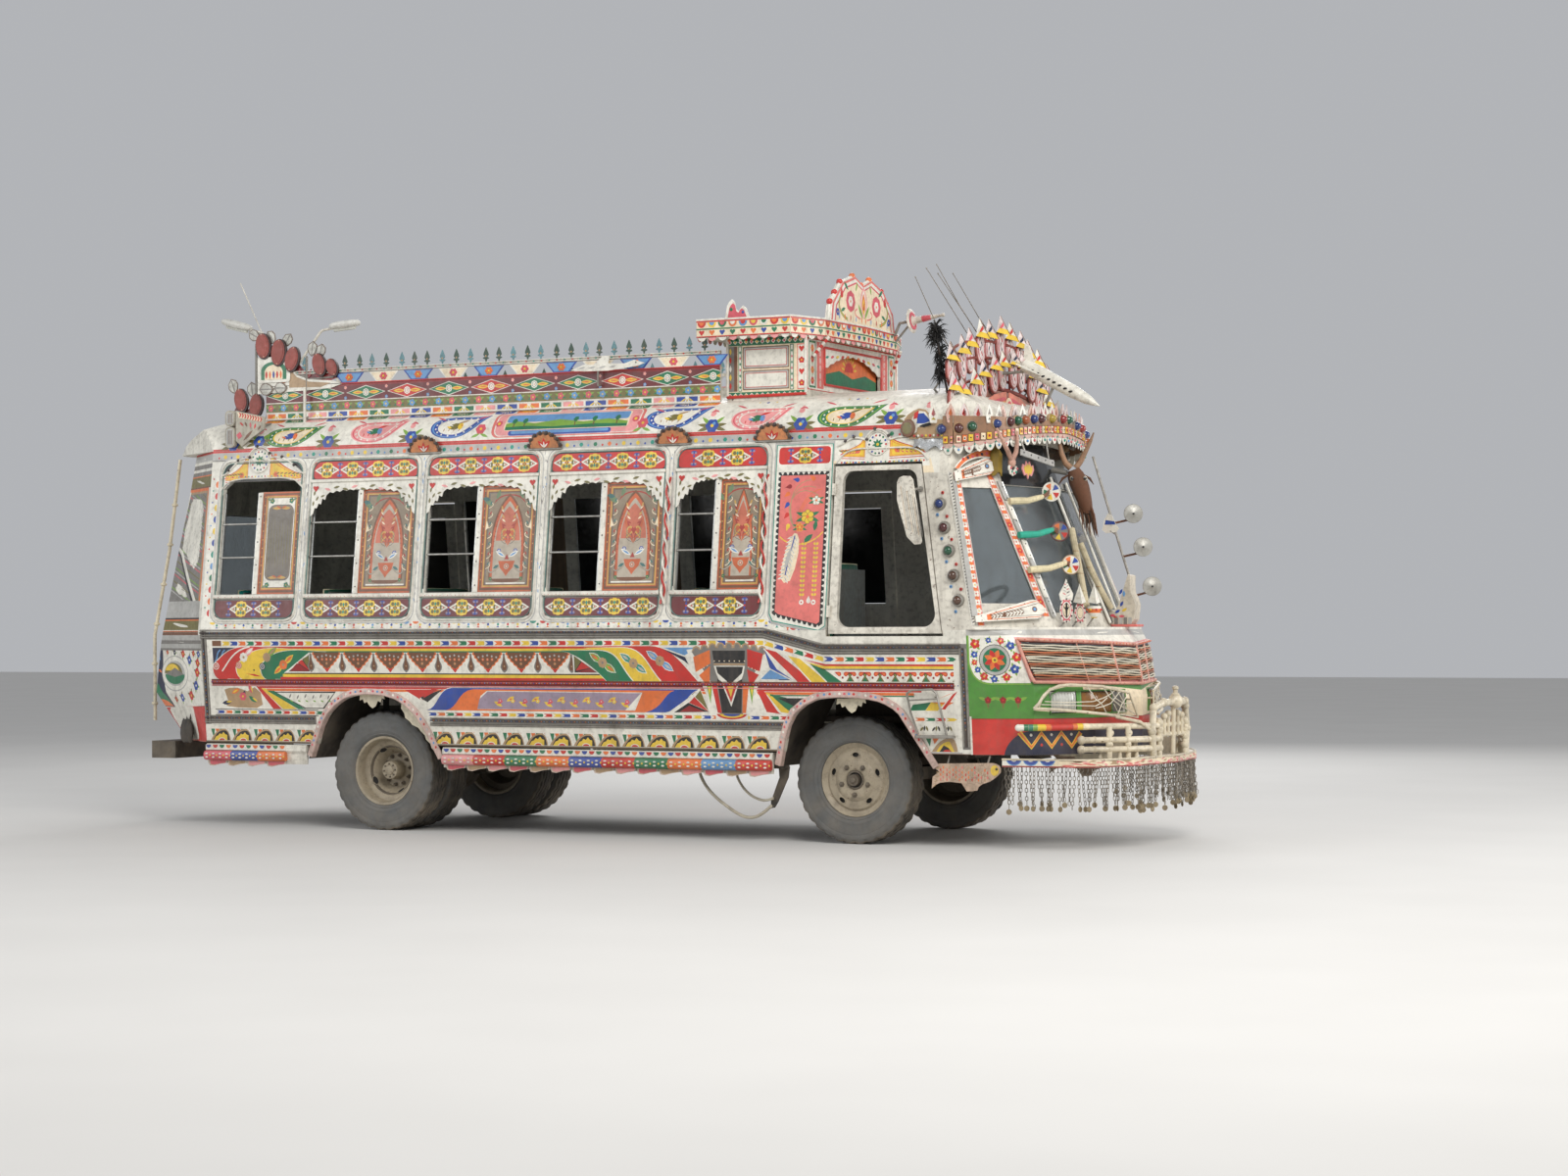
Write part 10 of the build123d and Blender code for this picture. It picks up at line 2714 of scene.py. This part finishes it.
    # niche frame, corner tubes, base bead
    for y0, z0_, y1, z1_ in ((-.437, 2.880, .437, 2.880), (-.437, 3.116, .437, 3.116), (-.437, 2.880, -.437, 3.116), (.437, 2.880, .437, 3.116)):
        B.tube([(3.030 - X0, y0, z0_), (3.030 - X0, y1, z1_)], .008, paint("red"), 8)
    for s in (-1, 1):
        for x in (2.472, 3.024): B.tube([(x - X0, s * .701, 2.80), (x - X0, s * .701, 3.17)], .010, w, 8)
        B.tube([(2.47 - X0, s * .703, 2.800), (3.03 - X0, s * .703, 2.806)], .010, paint("red"), 8)
        for k in range(14): B.ball((2.49 + .040 * k - X0, s * .712, 3.162), .010, paint(("orange", "green", "white", "red")[k % 4]), 8)
    B.make("castle_trims", slot="white_enamel")
    # canopy edge: two rows of coloured scallops and hearts
    C = Bag(); P2 = [(2.330, .850), (2.330, -.850), (2.990, -.850), (3.090, -.560), (3.124, 0.0), (3.090, .560), (2.990, .850), (2.330, .850)]
    Lc = plan_len(P2)
    def on_c(u, v, h):
        x, y, nx, ny = along(P2, u); return (x + nx * h - X0, y + ny * h, v)
    segs = [0.0]
    for a, b in zip(P2, P2[1:]): segs.append(segs[-1] + math.hypot(b[0] - a[0], b[1] - a[1]))
    cols = ("red", "yellow", "green", "orange", "light_blue", "rose", "white")
    for i, (ua, ub) in enumerate(zip(segs, segs[1:])):
        L = ub - ua; n = max(2, round(L / .072))
        def quadp(a, b, z0_, z1_, h, m, th=.0015):
            p = [on_c(u, z, h) for u, z in ((a, z0_), (b, z0_), (b, z1_), (a, z1_))]; d = Vector(on_c((a + b) / 2, z0_, h + th)) - Vector(on_c((a + b) / 2, z0_, h)); C.prism(p, d, m)
        quadp(ua + .001, ub - .001, 3.174, 3.282, .0002, paint("cream"), .0025); quadp(ua + .001, ub - .001, 3.270, 3.282, .0027, paint("red")); quadp(ua + .001, ub - .001, 3.222, 3.230, .0027, paint("green")); quadp(ua + .001, ub - .001, 3.174, 3.181, .0027, paint("red"))
        for k in range(n):
            u = ua + (k + .5) * L / n; r_ = L / n * .40
            def shp(pts, h, m, th=.0015):
                p = [on_c(a, b, h) for a, b in pts]; d = Vector(on_c(u, 3.2, h + th)) - Vector(on_c(u, 3.2, h)); C.prism(p, d, m)
            shp(circ(u, 3.268, r_, 9, a0=180, a1=360, rz=.034), .0027, paint(cols[k % 7])); shp(circ(u, 3.268, r_ * .6, 8, a0=180, a1=360, rz=.020), .0042, paint(cols[(k + 3) % 7]))
            h_ = [(u, 3.184), (u + .018, 3.205), (u + .018, 3.214), (u + .009, 3.218), (u, 3.212), (u - .009, 3.218), (u - .018, 3.214), (u - .018, 3.205)]
            shp(h_, .0027, paint(("red", "orange", "blue", "green")[k % 4]))
            # little hanging lobes under the edge
            shp([(u - r_, 3.174), (u + r_, 3.174), (u + r_ * .7, 3.156), (u, 3.148), (u - r_ * .7, 3.156)], -.004, paint(("white", "pink")[k % 2]), .004)
    for k in range(len(segs) - 1):
        C.tube([on_c(segs[k], 3.284, .001), on_c(segs[k + 1], 3.284, .001)], .007, w, 8)
    C.make("canopy_edge", slot="white_enamel")
    # crest board, both faces
    K = Art(); K.a("white", rect(-.6, .6, 3.2, 3.7)); pts = [(-.494, 3.280), (-.470, 3.400), (-.400, 3.465), (-.320, 3.540), (-.130, 3.596), (0, 3.550), (.130, 3.596), (.320, 3.540), (.400, 3.465), (.470, 3.400), (.494, 3.280)]
    for s_, c in ((1.0, "salmon"), (.955, "white"), (.90, "rose"), (.87, "cream")): K.a(c, [(y * s_, 3.28 + (z - 3.28) * (1 - (1 - s_) * 1.1)) for y, z in pts])
    for s in (-1, 1):
        K.flower(s * .200, 3.430, .070, "rose", "yellow", 8, 0); K.flower(s * .200, 3.430, .036, "white", "orange", 6)
        K.a("green", leaf(s * .235, 3.500, .080, .026, 90 - s * 55)); K.a("light_green", leaf(s * .120, 3.500, .070, .022, 90 + s * 20)); K.a("green", leaf(s * .28, 3.38, .07, .024, 90 - s * 110))
        K.a("green", thick(bez((s * .25, 3.31), (s * .36, 3.33), (s * .42, 3.40), (s * .34, 3.46), 9), .018)); K.a("yellow", thick(bez((s * .25, 3.31), (s * .36, 3.33), (s * .42, 3.40), (s * .34, 3.46), 9), .006))
        K.a("red", drop(s * .335, 3.462, .022, .05, 90)); K.flower(s * .395, 3.345, .026, "blue", "yellow", 6)
        for k in range(5): K.a(("orange", "light_blue", "red")[k % 3], leaf(s * (.03 + .085 * k), 3.30, .045, .016, 90))
        K.a("salmon", thick(bez((s * .05, 3.33), (s * .14, 3.34), (s * .16, 3.37), (s * .10, 3.39), 7), .010))
    K.a("pink", leaf(0, 3.330, .215, .110, 90, 8)); K.a("white", leaf(0, 3.342, .180, .082, 90, 8)); K.a("orange", leaf(0, 3.350, .150, .058, 90, 8)); K.a("yellow", leaf(0, 3.358, .110, .034, 90, 8)); K.a("red", drop(0, 3.400, .012, .040, 90))
    for s in (-1, 1): K.a("light_green", leaf(s * .012, 3.330, .120, .028, 90 - s * 38))
    for name, x, sg in (("front", 3.104, 1), ("back", 3.060, -1)):
        skin("painted_crest_" + name, K, [(y * .998, z - .001 if z > 3.3 else 3.286) for y, z in pts], [], lambda u, v, h, x=x, sg=sg: (x + sg * h - X0, u, v))
    # scrolls raised on the crest edge, fin, bracket and horn
    D = Bag()
    for (y0, z0_), (y1, z1_) in zip(pts, pts[1:]): D.tube([(3.082 - X0, y0, z0_), (3.082 - X0, y1, z1_)], .0105, w, 8)
    for y, z in pts[1:-1]: D.ball((3.082 - X0, y, z + .004), .022, paint("red") if abs(y) > .2 else paint("orange"), 10)
    for s in (-1, 1):
        fin = [(2.520, 3.286), (2.528, 3.330), (2.535, 3.368), (2.552, 3.395), (2.570, 3.408), (2.590, 3.390), (2.598, 3.345), (2.618, 3.330), (2.632, 3.352), (2.648, 3.366), (2.670, 3.350), (2.690, 3.300), (2.694, 3.286)]
        D.prism([(a - X0, s * .822, b) for a, b in fin], (0, s * .006, 0), w); f2 = [(2.607 + (a - 2.607) * .78, 3.286 + (b - 3.286) * .80) for a, b in fin]
        D.prism([(a - X0, s * .828, b) for a, b in f2], (0, s * .0012, 0), paint("rose")); D.ball((2.565 - X0, s * .829, 3.345), .012, paint("green"), 8, (1, .4, 1)); D.ball((2.648 - X0, s * .829, 3.325), .010, paint("blue"), 8, (1, .4, 1))
    # striped bracket under the canopy's front edge
    for s in (-1, 1):
        for k in range(7): D.tube([(3.035 + .012 * k - X0, s * (.615 - .008 * k), 3.045 + .018 * k), (3.047 + .012 * k - X0, s * (.607 - .008 * k), 3.063 + .018 * k)], .011, paint("red") if k % 2 else w, 8)
    # horn with a round plate
    hm = mat("horn_white", (214, 206, 192), rough=.35, grime=.45, dust=0)
    hx = (3.225 - X0, .50, 3.362); hd = (1, 0, .13)
    D.lathe([(-.010, .030), (-.006, .074), (.0, .082), (.006, .074), (.010, .050), (.012, .030)], hx, hd, hm, 24); D.lathe([(.0105, .060), (.0125, .056), (.0130, .044), (.0115, .040)], hx, hd, paint("rose"), 24)
    D.lathe([(.012, .030), (.020, .026), (.060, .022), (.150, .014), (.215, .009), (.222, .013), (.236, .012), (.240, .004)], hx, hd, hm, 14); D.lathe([(.080, .0215), (.082, .0225), (.140, .0165), (.142, .0155)], hx, hd, paint("rose"), 14)
    D.tube([(3.100 - X0, .50, 3.270), (3.14 - X0, .50, 3.352), hx], .011, GREY_M, 8); D.tube([(3.110 - X0, .50, 3.230), (3.21 - X0, .50, 3.340)], .008, GREY_M, 8)
    D.make("crest_and_canopy_ornaments", slot="white_enamel")
castle()


# ------------------------------------------------------------------ rear of the rack: carved discs and leaves, birds, lamp heads, roll, ladder clamps
def rear_roof():
    B = Bag(); red, rim_, leafm = mat("disc_red_brown", (138, 56, 44), grime=.4, dust=0), mat("disc_rim", (196, 150, 128), grime=.4, dust=0), mat("leaf_grey", (178, 176, 166), rough=.4, metal=.2, grime=.45, dust=0)
    def tilted(cx, cz, rx, rz, turn, n=20):
        return circ(cx, cz, rx, n, rz=rz, turn=turn)
    def put(pts, y, th, m, s=-1): B.prism([(a - X0, s * y, b) for a, b in pts], (0, s * th, 0), m)
    def disc(x, z, y, rx, rz, turn, s=-1):
        edge = mat("disc_edge", (52, 26, 24), grime=.3, dust=0)
        put(tilted(x + .006, z - .004, rx, rz, turn), y - .004, .018, edge, s); put(tilted(x, z, rx * .90, rz * .92, turn), y + .014, .003, red, s)
        put(tilted(x - rx * .06, z + rz * .04, rx * .74, rz * .80, turn), y + .017, .0015, mat("disc_red_2", (150, 66, 54), grime=.35, dust=0), s)
        for a in (90, 270):
            q = math.radians(a + turn); B.ball((x + rz * .84 * math.cos(q) - X0, s * (y + .017), z + rz * .84 * math.sin(q)), .0065, rim_, 6, (1, .5, 1))
    def petal(x, z, y, turn, k=1.0, s=-1):
        ct, st = math.cos(math.radians(turn)), math.sin(math.radians(turn))
        f = lambda q, e: [(x + (a * ct - b * st) * k * e, z + (a * st + b * ct) * k * e) for a, b in q]
        sh = [(0, -.056), (.026, -.034), (.040, .0), (.034, .030), (.0, .052), (-.036, .024), (-.040, -.010), (-.022, -.040)]
        put(f(sh, 1), y, .005, mat("petal_edge", (120, 104, 92), grime=.4, dust=0), s); put(f(sh, .84), y + .005, .0015, leafm, s); put([(x + (a * ct - b * st) * k, z + (a * st + b * ct) * k) for a, b in [(-.003, -.045), (.003, -.045), (.004, .040), (-.004, .040)]], y + .0065, .001, paint("grey"), s)
    def blade(x, z, y, l, w_, turn, m=leafm, s=-1):
        p = leaf(x, z, l, w_, turn, 8); put(p, y, .005, m, s); q = leaf(x + .06 * l * math.cos(math.radians(turn)), z + .06 * l * math.sin(math.radians(turn)), l * .86, w_ * .70, turn, 8); put(q, y + .005, .001, paint("pale_grey"), s)
        put(leaf(x + .1 * l * math.cos(math.radians(turn)), z + .1 * l * math.sin(math.radians(turn)), l * .75, .007, turn), y + .006, .001, paint("rose"), s)
    for x, z, rx, rz, t in ((-1.075, 3.285, .062, .092, 8), (-.946, 3.235, .062, .095, -6), (-.834, 3.185, .058, .090, -14), (-.611, 3.139, .055, .082, 16), (-.505, 3.115, .045, .066, 24)):
        disc(x, z, .768, rx, rz, t)
    for x, z, t in ((-1.160, 3.362, 62), (-1.019, 3.343, 35), (-.881, 3.318, -35), (-.675, 3.251, -8), (-.606, 3.231, -14), (-1.110, 3.272, 18)):
        petal(x, z, .758, t)
    # carved red backing of the upper ornaments, worn white bird below it
    back = [(-1.12, 3.19), (-1.05, 3.30), (-.95, 3.26), (-.84, 3.20), (-.74, 3.10), (-.66, 3.085), (-.62, 3.16), (-.52, 3.13), (-.46, 3.06), (-.60, 3.015), (-.80, 3.045), (-.92, 3.14), (-1.02, 3.18)]
    put(back, .752, .006, paint("maroon")); put([(x_, z_ - .012) for x_, z_ in back[5:10]], .758, .002, paint("dark_red"))
    for k in range(5): put(leaf(-.86 + .075 * k, 3.06 - .006 * k, .070, .028, 100 - 16 * k), .760, .003, paint("dark_red"))
    put([(-1.125, 2.955), (-1.125, 3.205), (-1.08, 3.215), (-.99, 3.185), (-.93, 3.150), (-.86, 3.145), (-.80, 3.075), (-.70, 3.040), (-.50, 3.025), (-.43, 3.000), (-.52, 2.975), (-.75, 2.965)], .763, .006, paint("white"))
    put([(-.86, 3.120), (-.80, 3.060), (-.70, 3.025), (-.52, 3.010), (-.60, 2.985), (-.86, 2.990)], .769, .0015, paint("sand")); put([(-.95, 3.09), (-.90, 3.11), (-.86, 3.06), (-.90, 3.02), (-.96, 3.04)], .769, .0025, mat("rust_patch", (150, 96, 62), grime=.6, dust=0))
    # white panel with a green arch among them
    put(rrect(-1.12, -.85, 3.03, 3.205, .02, 3), .772, .004, paint("white")); put([(-1.09, 3.05)] + bez((-1.09, 3.12), (-1.07, 3.19), (-.90, 3.19), (-.88, 3.12), 9) + [(-.88, 3.05)], .776, .001, paint("green")); put([(-1.06, 3.05)] + bez((-1.06, 3.11), (-1.04, 3.165), (-.93, 3.165), (-.91, 3.11), 9) + [(-.91, 3.05)], .777, .001, paint("cream"))
    for k in range(5): put(leaf(-1.045 + .030 * k, 3.055, .055, .018, 90), .778, .001, paint(("red", "orange", "blue")[k % 3]))
    # spine that holds the upper ornaments
    B.tube([(-1.14 - X0, -.763, 2.96), (-1.14 - X0, -.763, 3.30)], .009, GREY_M, 8); B.tube([(-.72 - X0, -.763, 2.96), (-.72 - X0, -.763, 3.20)], .009, GREY_M, 8)
    for a, b in (((-1.14, 3.12), (-.72, 3.06)), ((-1.14, 3.26), (-.80, 3.16)), ((-.72, 3.04), (-.50, 3.05))): B.tube([(a[0] - X0, -.762, a[1]), (b[0] - X0, -.762, b[1])], .007, GREY_M, 8)
    petal(-1.050, 2.985, .772, 90, 1.1); petal(-.930, 2.990, .772, 88, 1.0)
    # lower discs on both rear roof corners
    for s in (-1, 1):
        for x, z, t in ((-1.302, 2.925, 10), (-1.175, 2.885, -8)):
            disc(x, z, .712, .056, .085, t, s)
        for x, z, t in ((-1.374, 3.024, 20), (-1.215, 2.995, 8)):
            petal(x, z, .706, t, 1.05, s)
        put([(-1.37, 2.72), (-1.375, 2.84), (-1.34, 2.90), (-1.28, 2.85), (-1.22, 2.87), (-1.15, 2.82), (-1.12, 2.72)], .702, .005, paint("maroon"), s)
        B.tube([(-1.33 - X0, s * .710, 2.72), (-1.31 - X0, s * .710, 2.98)], .007, GREY_M, 8); B.tube([(-1.17 - X0, s * .710, 2.72), (-1.17 - X0, s * .710, 2.94)], .007, GREY_M, 8)
    B.make("rear_wing_ornaments", slot="painted_red", replaces=("rear_roof_wings",))
    # rolled cloth with chevrons on the rear roof edge, white birds on the rail
    R = Bag(); cl = mat("scroll_end_grey", (182, 176, 160), rough=.6, grime=.5, dust=0)
    for s in (-1, 1):
        yb = .930
        put2 = lambda pts, y, th, m: R.prism([(a_ + .037 - X0, s * y, b_ + .026) for a_, b_ in pts], (0, s * th, 0), m)
        put2([(-1.215, 2.806), (-.978, 2.756), (-.982, 2.672), (-1.085, 2.616), (-1.165, 2.560), (-1.215, 2.60)], yb, .016, cl)
        put2([(-1.200, 2.796), (-.992, 2.752), (-.994, 2.722), (-1.19, 2.755)], yb + .016, .002, paint("cream"))
        for k in range(9):                                          # red chevrons
            x = -1.185 + .0215 * k; z = 2.776 - .0045 * k; put2([(x, z + .016), (x + .010, z + .014), (x + .018, z), (x + .010, z - .016), (x, z - .018), (x + .008, z)], yb + .018, .002, paint("red"))
        for k in range(5):
            x = -1.15 + .030 * k; z = 2.700 - .008 * k; put2(leaf(x, z, .040, .014, 140 - 22 * k), yb + .016, .002, paint(("red", "brown", "rose")[k % 3]))
        put2(leaf(-1.15, 2.60, .10, .020, 42), yb + .016, .002, paint("brown")); put2([(-1.21, 2.64), (-1.18, 2.66), (-1.16, 2.63), (-1.19, 2.61)], yb + .016, .002, paint("rose"))
        # two carved scroll ends
        for z0_, h_ in ((2.700, .108), (2.555, .140)):
            put2(rrect(-1.300, -1.222, z0_, z0_ + h_, .030, 4), yb - .012, .034, cl)
            put2(rrect(-1.290, -1.232, z0_ + .012, z0_ + h_ - .012, .024, 4), yb + .022, .002, paint("pale_grey"))
            for q in range(4): put2(rect(-1.276 + .010 * q, -1.272 + .010 * q, z0_ + .022, z0_ + h_ - .022), yb + .024, .0012, paint("brown") if q % 2 else paint("grey"))
        for x in (-1.22, -.99): R.tube([(x - X0, s * .945, 2.72), (x - X0, s * .80, 2.745)], .009, GREY_M, 6)
    bird = lambda x0_, z0_, k_: [(x0_, z0_), (x0_ + .10 * k_, z0_ + .035), (x0_ + .17 * k_, z0_ + .030), (x0_ + .24 * k_, z0_ + .085), (x0_ + .29 * k_, z0_ + .080), (x0_ + .28 * k_, z0_ + .035), (x0_ + .40 * k_, z0_ + .030), (x0_ + .47 * k_, z0_ + .050), (x0_ + .55 * k_, z0_ + .028), (x0_ + .50 * k_, z0_ + .012), (x0_ + .40 * k_, z0_), (x0_ + .28 * k_, z0_ - .012), (x0_ + .10 * k_, z0_ - .010)]
    for x0_, z0_, pole in ((1.38, 3.010, 1.58),):
        pts = bird(x0_, z0_, 1.0); R.prism([(p[0] - X0, -.800, p[1]) for p in pts], (0, -.006, 0), paint("white"))
        for k in range(4): R.prism([(p[0] - X0, -.806, p[1]) for p in leaf(x0_ + .06 + .075 * k, z0_ + .008, .055, .012, 10)], (0, -.001, 0), paint("pale_grey"))
        R.ball((x0_ + .485 - X0, -.807, z0_ + .034), .005, BLACK, 6); R.tube([(pole - X0, -.797, z0_ - .10), (pole - X0, -.797, z0_ + .02)], .007, GREY_M, 8); R.tube([(pole - X0, -.797, z0_ - .10), (pole - X0, -.762, z0_ - .10)], .007, GREY_M, 8)
    # lamp heads on the two arms
    for p0, p1 in (((-1.190, 3.413), (-1.436, 3.474)), ((-.539, 3.395), (-.298, 3.411))):
        c = (Vector((p0[0], 0, p0[1])) + Vector((p1[0], 0, p1[1]))) / 2; dd = (Vector((p1[0], 0, p1[1])) - Vector((p0[0], 0, p0[1]))); l = dd.length; dd.normalize()
        lm = mat("lamp_head_white", (214, 212, 204), grime=.35, dust=0)
        rows = []
        for t, rr in ((0, .012), (.06, .026), (.2, .034), (.5, .037), (.8, .034), (.95, .026), (1, .010)):
            q = Vector((p0[0] - X0, -.750, p0[1])) + dd * l * t
            rows.append([q + Vector((0, rr * 1.15 * math.cos(2 * math.pi * k / 14), 0)) + dd.cross(Vector((0, 1, 0))) * rr * .75 * math.sin(2 * math.pi * k / 14) for k in range(14)])
        R.loft(rows, lm)
        R.tube([Vector((p0[0] - X0, -.750, p0[1])) + dd * l * .15 + Vector((0, 0, -.030)), Vector((p0[0] - X0, -.750, p0[1])) + dd * l * .85 + Vector((0, 0, -.030))], .012, mat("lamp_diffuser", (206, 206, 196), rough=.2, grime=.2, dust=0), 8)
    R.tube([(-.712 - X0, -.800, 2.74), (-.712 - X0, -.800, 2.985)], .010, paint("white"), 8); R.tube([(-.712 - X0, -.800, 2.76), (-.712 - X0, -.760, 2.785)], .007, GREY_M, 6)
    R.make("rack_birds_roll_lamps", slot="white_enamel")
    # ladder: clamps on the rails; rubber bag on the corner
    L = Bag(); lc = mat("ladder_cream", (220, 208, 180), grime=.45, chips=.4)
    rail = [(-2.138, .600, .760), (-2.138, .600, 1.300), (-2.040, .560, 1.900), (-1.960, .540, 2.540)]
    def at(z):
        for (x0_, y0, z0_), (x1_, y1, z1_) in zip(rail, rail[1:]):
            if z <= z1_: t = (z - z0_) / (z1_ - z0_); return x0_ + (x1_ - x0_) * t, y0 + (y1 - y0) * t
        return rail[-1][0], rail[-1][1]
    z = .82
    while z < 2.5:
        x, y = at(z)
        for s in (-1, 1): L.lathe([(-.010, .018), (-.006, .022), (.006, .022), (.010, .018)], (x - X0, s * y, z), (0, 0, 1), lc, 12)
        z += .28
    L.make("ladder_clamps", slot="cream_tube")
    G = Bag(); rb = mat("rubber_bag", (28, 27, 26), rough=.7, grime=.4, dust=.4)
    c = Vector(on_corner(.36, .640, .030))
    rows = []
    for t, w_, d_ in ((-.080, .10, .012), (-.066, .145, .026), (-.02, .158, .034), (.03, .150, .030), (.065, .120, .020), (.078, .095, .010)):
        rows.append([c + Vector(((w_ * math.cos(a)) * -.66 + d_ * math.sin(a) * -.5, w_ * math.cos(a) * .5 - d_ * math.sin(a) * .8, t + .006 * math.cos(3 * a))) for a in [2 * math.pi * k / 18 for k in range(18)]])
    G.loft(rows, rb)
    for k in range(3): G.tube([c + Vector((-.66 * .1 * (k - 1), .5 * .1 * (k - 1), .070)), c + Vector((-.66 * .1 * (k - 1) + .01, .5 * .1 * (k - 1), .130))], .006, rb, 6)
    G.make("rubber_bag", slot="black_rubber")
rear_roof()


# ------------------------------------------------------------------ mirror board on the driver's door, worn and eight-sided
def mirror_board():
    for side, body in ((-1, "driver_door"),):
        B = Bag(); w = mat("mirror_board_white", (214, 208, 194), grime=.65, chips=.5)
        pts = [(3.842, 2.205), (3.856, 2.236), (3.884, 2.246), (3.926, 2.244), (3.944, 2.222), (4.000, 1.850), (3.990, 1.834), (3.955, 1.832), (3.905, 1.880), (3.842, 2.10)]
        B.prism([(a - X0, side * 1.128, b) for a, b in pts], (0, side * .016, 0), w)
        k0 = [(3.925 + (a - 3.925) * .86, 2.045 + (b - 2.045) * .92) for a, b in pts]
        B.prism([(a - X0, side * 1.144, b) for a, b in k0], (0, side * .003, 0), w)
        for k in range(9):                                       # worn lines in the board
            x = 3.868 + .013 * k; B.tube([(x - X0, side * 1.1475, 2.185 - .010 * k), (x + .040 - X0, side * 1.1475, 1.925 - .006 * k)], .0016, paint("grey") if k % 3 else paint("sand"), 4)
        for a, b in ((3.87, 2.215), (3.93, 2.215), (3.975, 1.86), (3.935, 1.885)): B.ball((a - X0, side * 1.1455, b), .0055, GREY_M, 6, (1, .5, 1))
        # mirror glass on the inner face with a dark rim
        g = mat("mirror_glass", (172, 178, 182), rough=.05, metal=.9, grime=.15, dust=0, bump=0)
        B.prism([(a - X0, side * 1.128, b) for a, b in k0], (0, -side * .005, 0), paint("black")); B.prism([(3.925 + (a - 3.925) * .93 - X0, side * 1.123, 2.045 + (b - 2.045) * .95) for a, b in k0], (0, -side * .002, 0), g)
        # two bent arms back to the door
        for z in (2.16, 1.92):
            B.tube([(3.93 - X0, side * 1.124, z), (3.94 - X0, side * 1.060, z + .010), (3.925 - X0, side * (side_y(z) + .012), z + .012)], .008, GREY_M, 8)
            B.lathe([(-.003, .018), (.003, .018), (.005, .010)], (3.925 - X0, side * (side_y(z) + .012), z + .012), (0, side, 0), GREY_M, 12)
        B.make("mirror_board", body=body, slot="white_enamel", replaces=("driver_mirror",))
mirror_board()


# ------------------------------------------------------------------ finishes of the carried-over nodes
FIN = {
    "painted_body": mat("body_enamel", PAL["white"], grime=.4, dust=.3),
    "painted_roof": mat("roof_enamel", PAL["white"], grime=.45, dust=.2),
    "painted_red": mat("red_enamel", PAL["red"], grime=.4),
    "white_enamel": mat("white_enamel", (216, 210, 196), grime=.5, chips=.5),
    "cream_tube": mat("cream_tube", (216, 204, 178), rough=.38, grime=.45, chips=.5, coat=.2),
    "chassis_black": mat("chassis_black", (52, 48, 44), rough=.7, grime=.6, dust=.7),
    "cast_metal": mat("cast_metal", (78, 72, 66), rough=.6, metal=.6, grime=.6, dust=.6),
    "rim_paint": mat("rim_paint", (176, 158, 126), rough=.55, grime=.55, chips=.5, dust=.5),
    "tyre_rubber": mat("tyre_rubber", (60, 60, 60), rough=.8, grime=.2, dust=.30, scale=6),
    "black_rubber": mat("black_rubber", (34, 32, 31), rough=.75, grime=.5, dust=.5),
    "pane": mat("pane", (150, 158, 160), rough=.10, var=.05, grime=.22, dust=0, bump=0, alpha=.82),
    "lamp_glass": mat("lamp_glass", (206, 198, 176), rough=.12, var=.05, grime=.15, dust=.1, bump=.02, alpha=.6),
    "seat_vinyl": mat("seat_vinyl", (36, 150, 138), rough=.45, grime=.3),
    "floor_plate": mat("floor_plate", (70, 62, 54), rough=.75, grime=.6, dust=0),
    "dark_plastic": mat("dark_plastic", (44, 42, 42), rough=.5, grime=.4, dust=.1),
    "spring_steel": mat("spring_steel", (70, 60, 52), rough=.65, metal=.5, grime=.6, dust=.6),
}
NODE_FIN = {
    "nose_shell": mat("nose_enamel", PAL["white"], grime=.35),
    "lower_side_panels": mat("panel_inside", (206, 198, 182), grime=.5),
    "windscreen_frame": mat("windscreen_frame_paint", (214, 208, 194), grime=.45, chips=.5),
    "rear_wall": mat("rear_wall_paint", PAL["white"], grime=.4),
    "roof_rack": mat("rack_sheet", (196, 190, 176), grime=.5, chips=.5),
    "castle_canopy": mat("canopy_sheet", PAL["white"], grime=.4),
    "window_shutters": mat("shutter_board", (122, 98, 70), grime=.4, weave=6),
    "window_bars": mat("bar_steel", (168, 166, 160), rough=.35, metal=.7, grime=.4, dust=0),
    "seat_frames": mat("seat_frame_paint", (92, 96, 92), rough=.5, grime=.5),
    "steering_wheel": mat("steering_bakelite", (38, 36, 35), rough=.35, grime=.3, dust=0),
    "rear_ladder": mat("ladder_cream", (220, 208, 180), grime=.45, chips=.4),
    "front_visor": mat("visor_sheet", (196, 186, 168), grime=.45),
    "front_crown": mat("crown_sheet", (196, 160, 150), grime=.4),
}
def finish_cad():
    slot_of = {row["node"]: row.get("material_slots", [None])[0] if isinstance(row.get("material_slots"), list) else row.get("material_slot") for row in frame["record"]["subparts"]}
    for name, o in frame["nodes"].items():
        m = NODE_FIN.get(name) or FIN.get(slot_of.get(name)) or FIN["painted_body"]
        for k in range(len(o.material_slots)):
            o.material_slots[k].material = m
        if not o.material_slots:
            o.data.materials.append(m)
finish_cad()
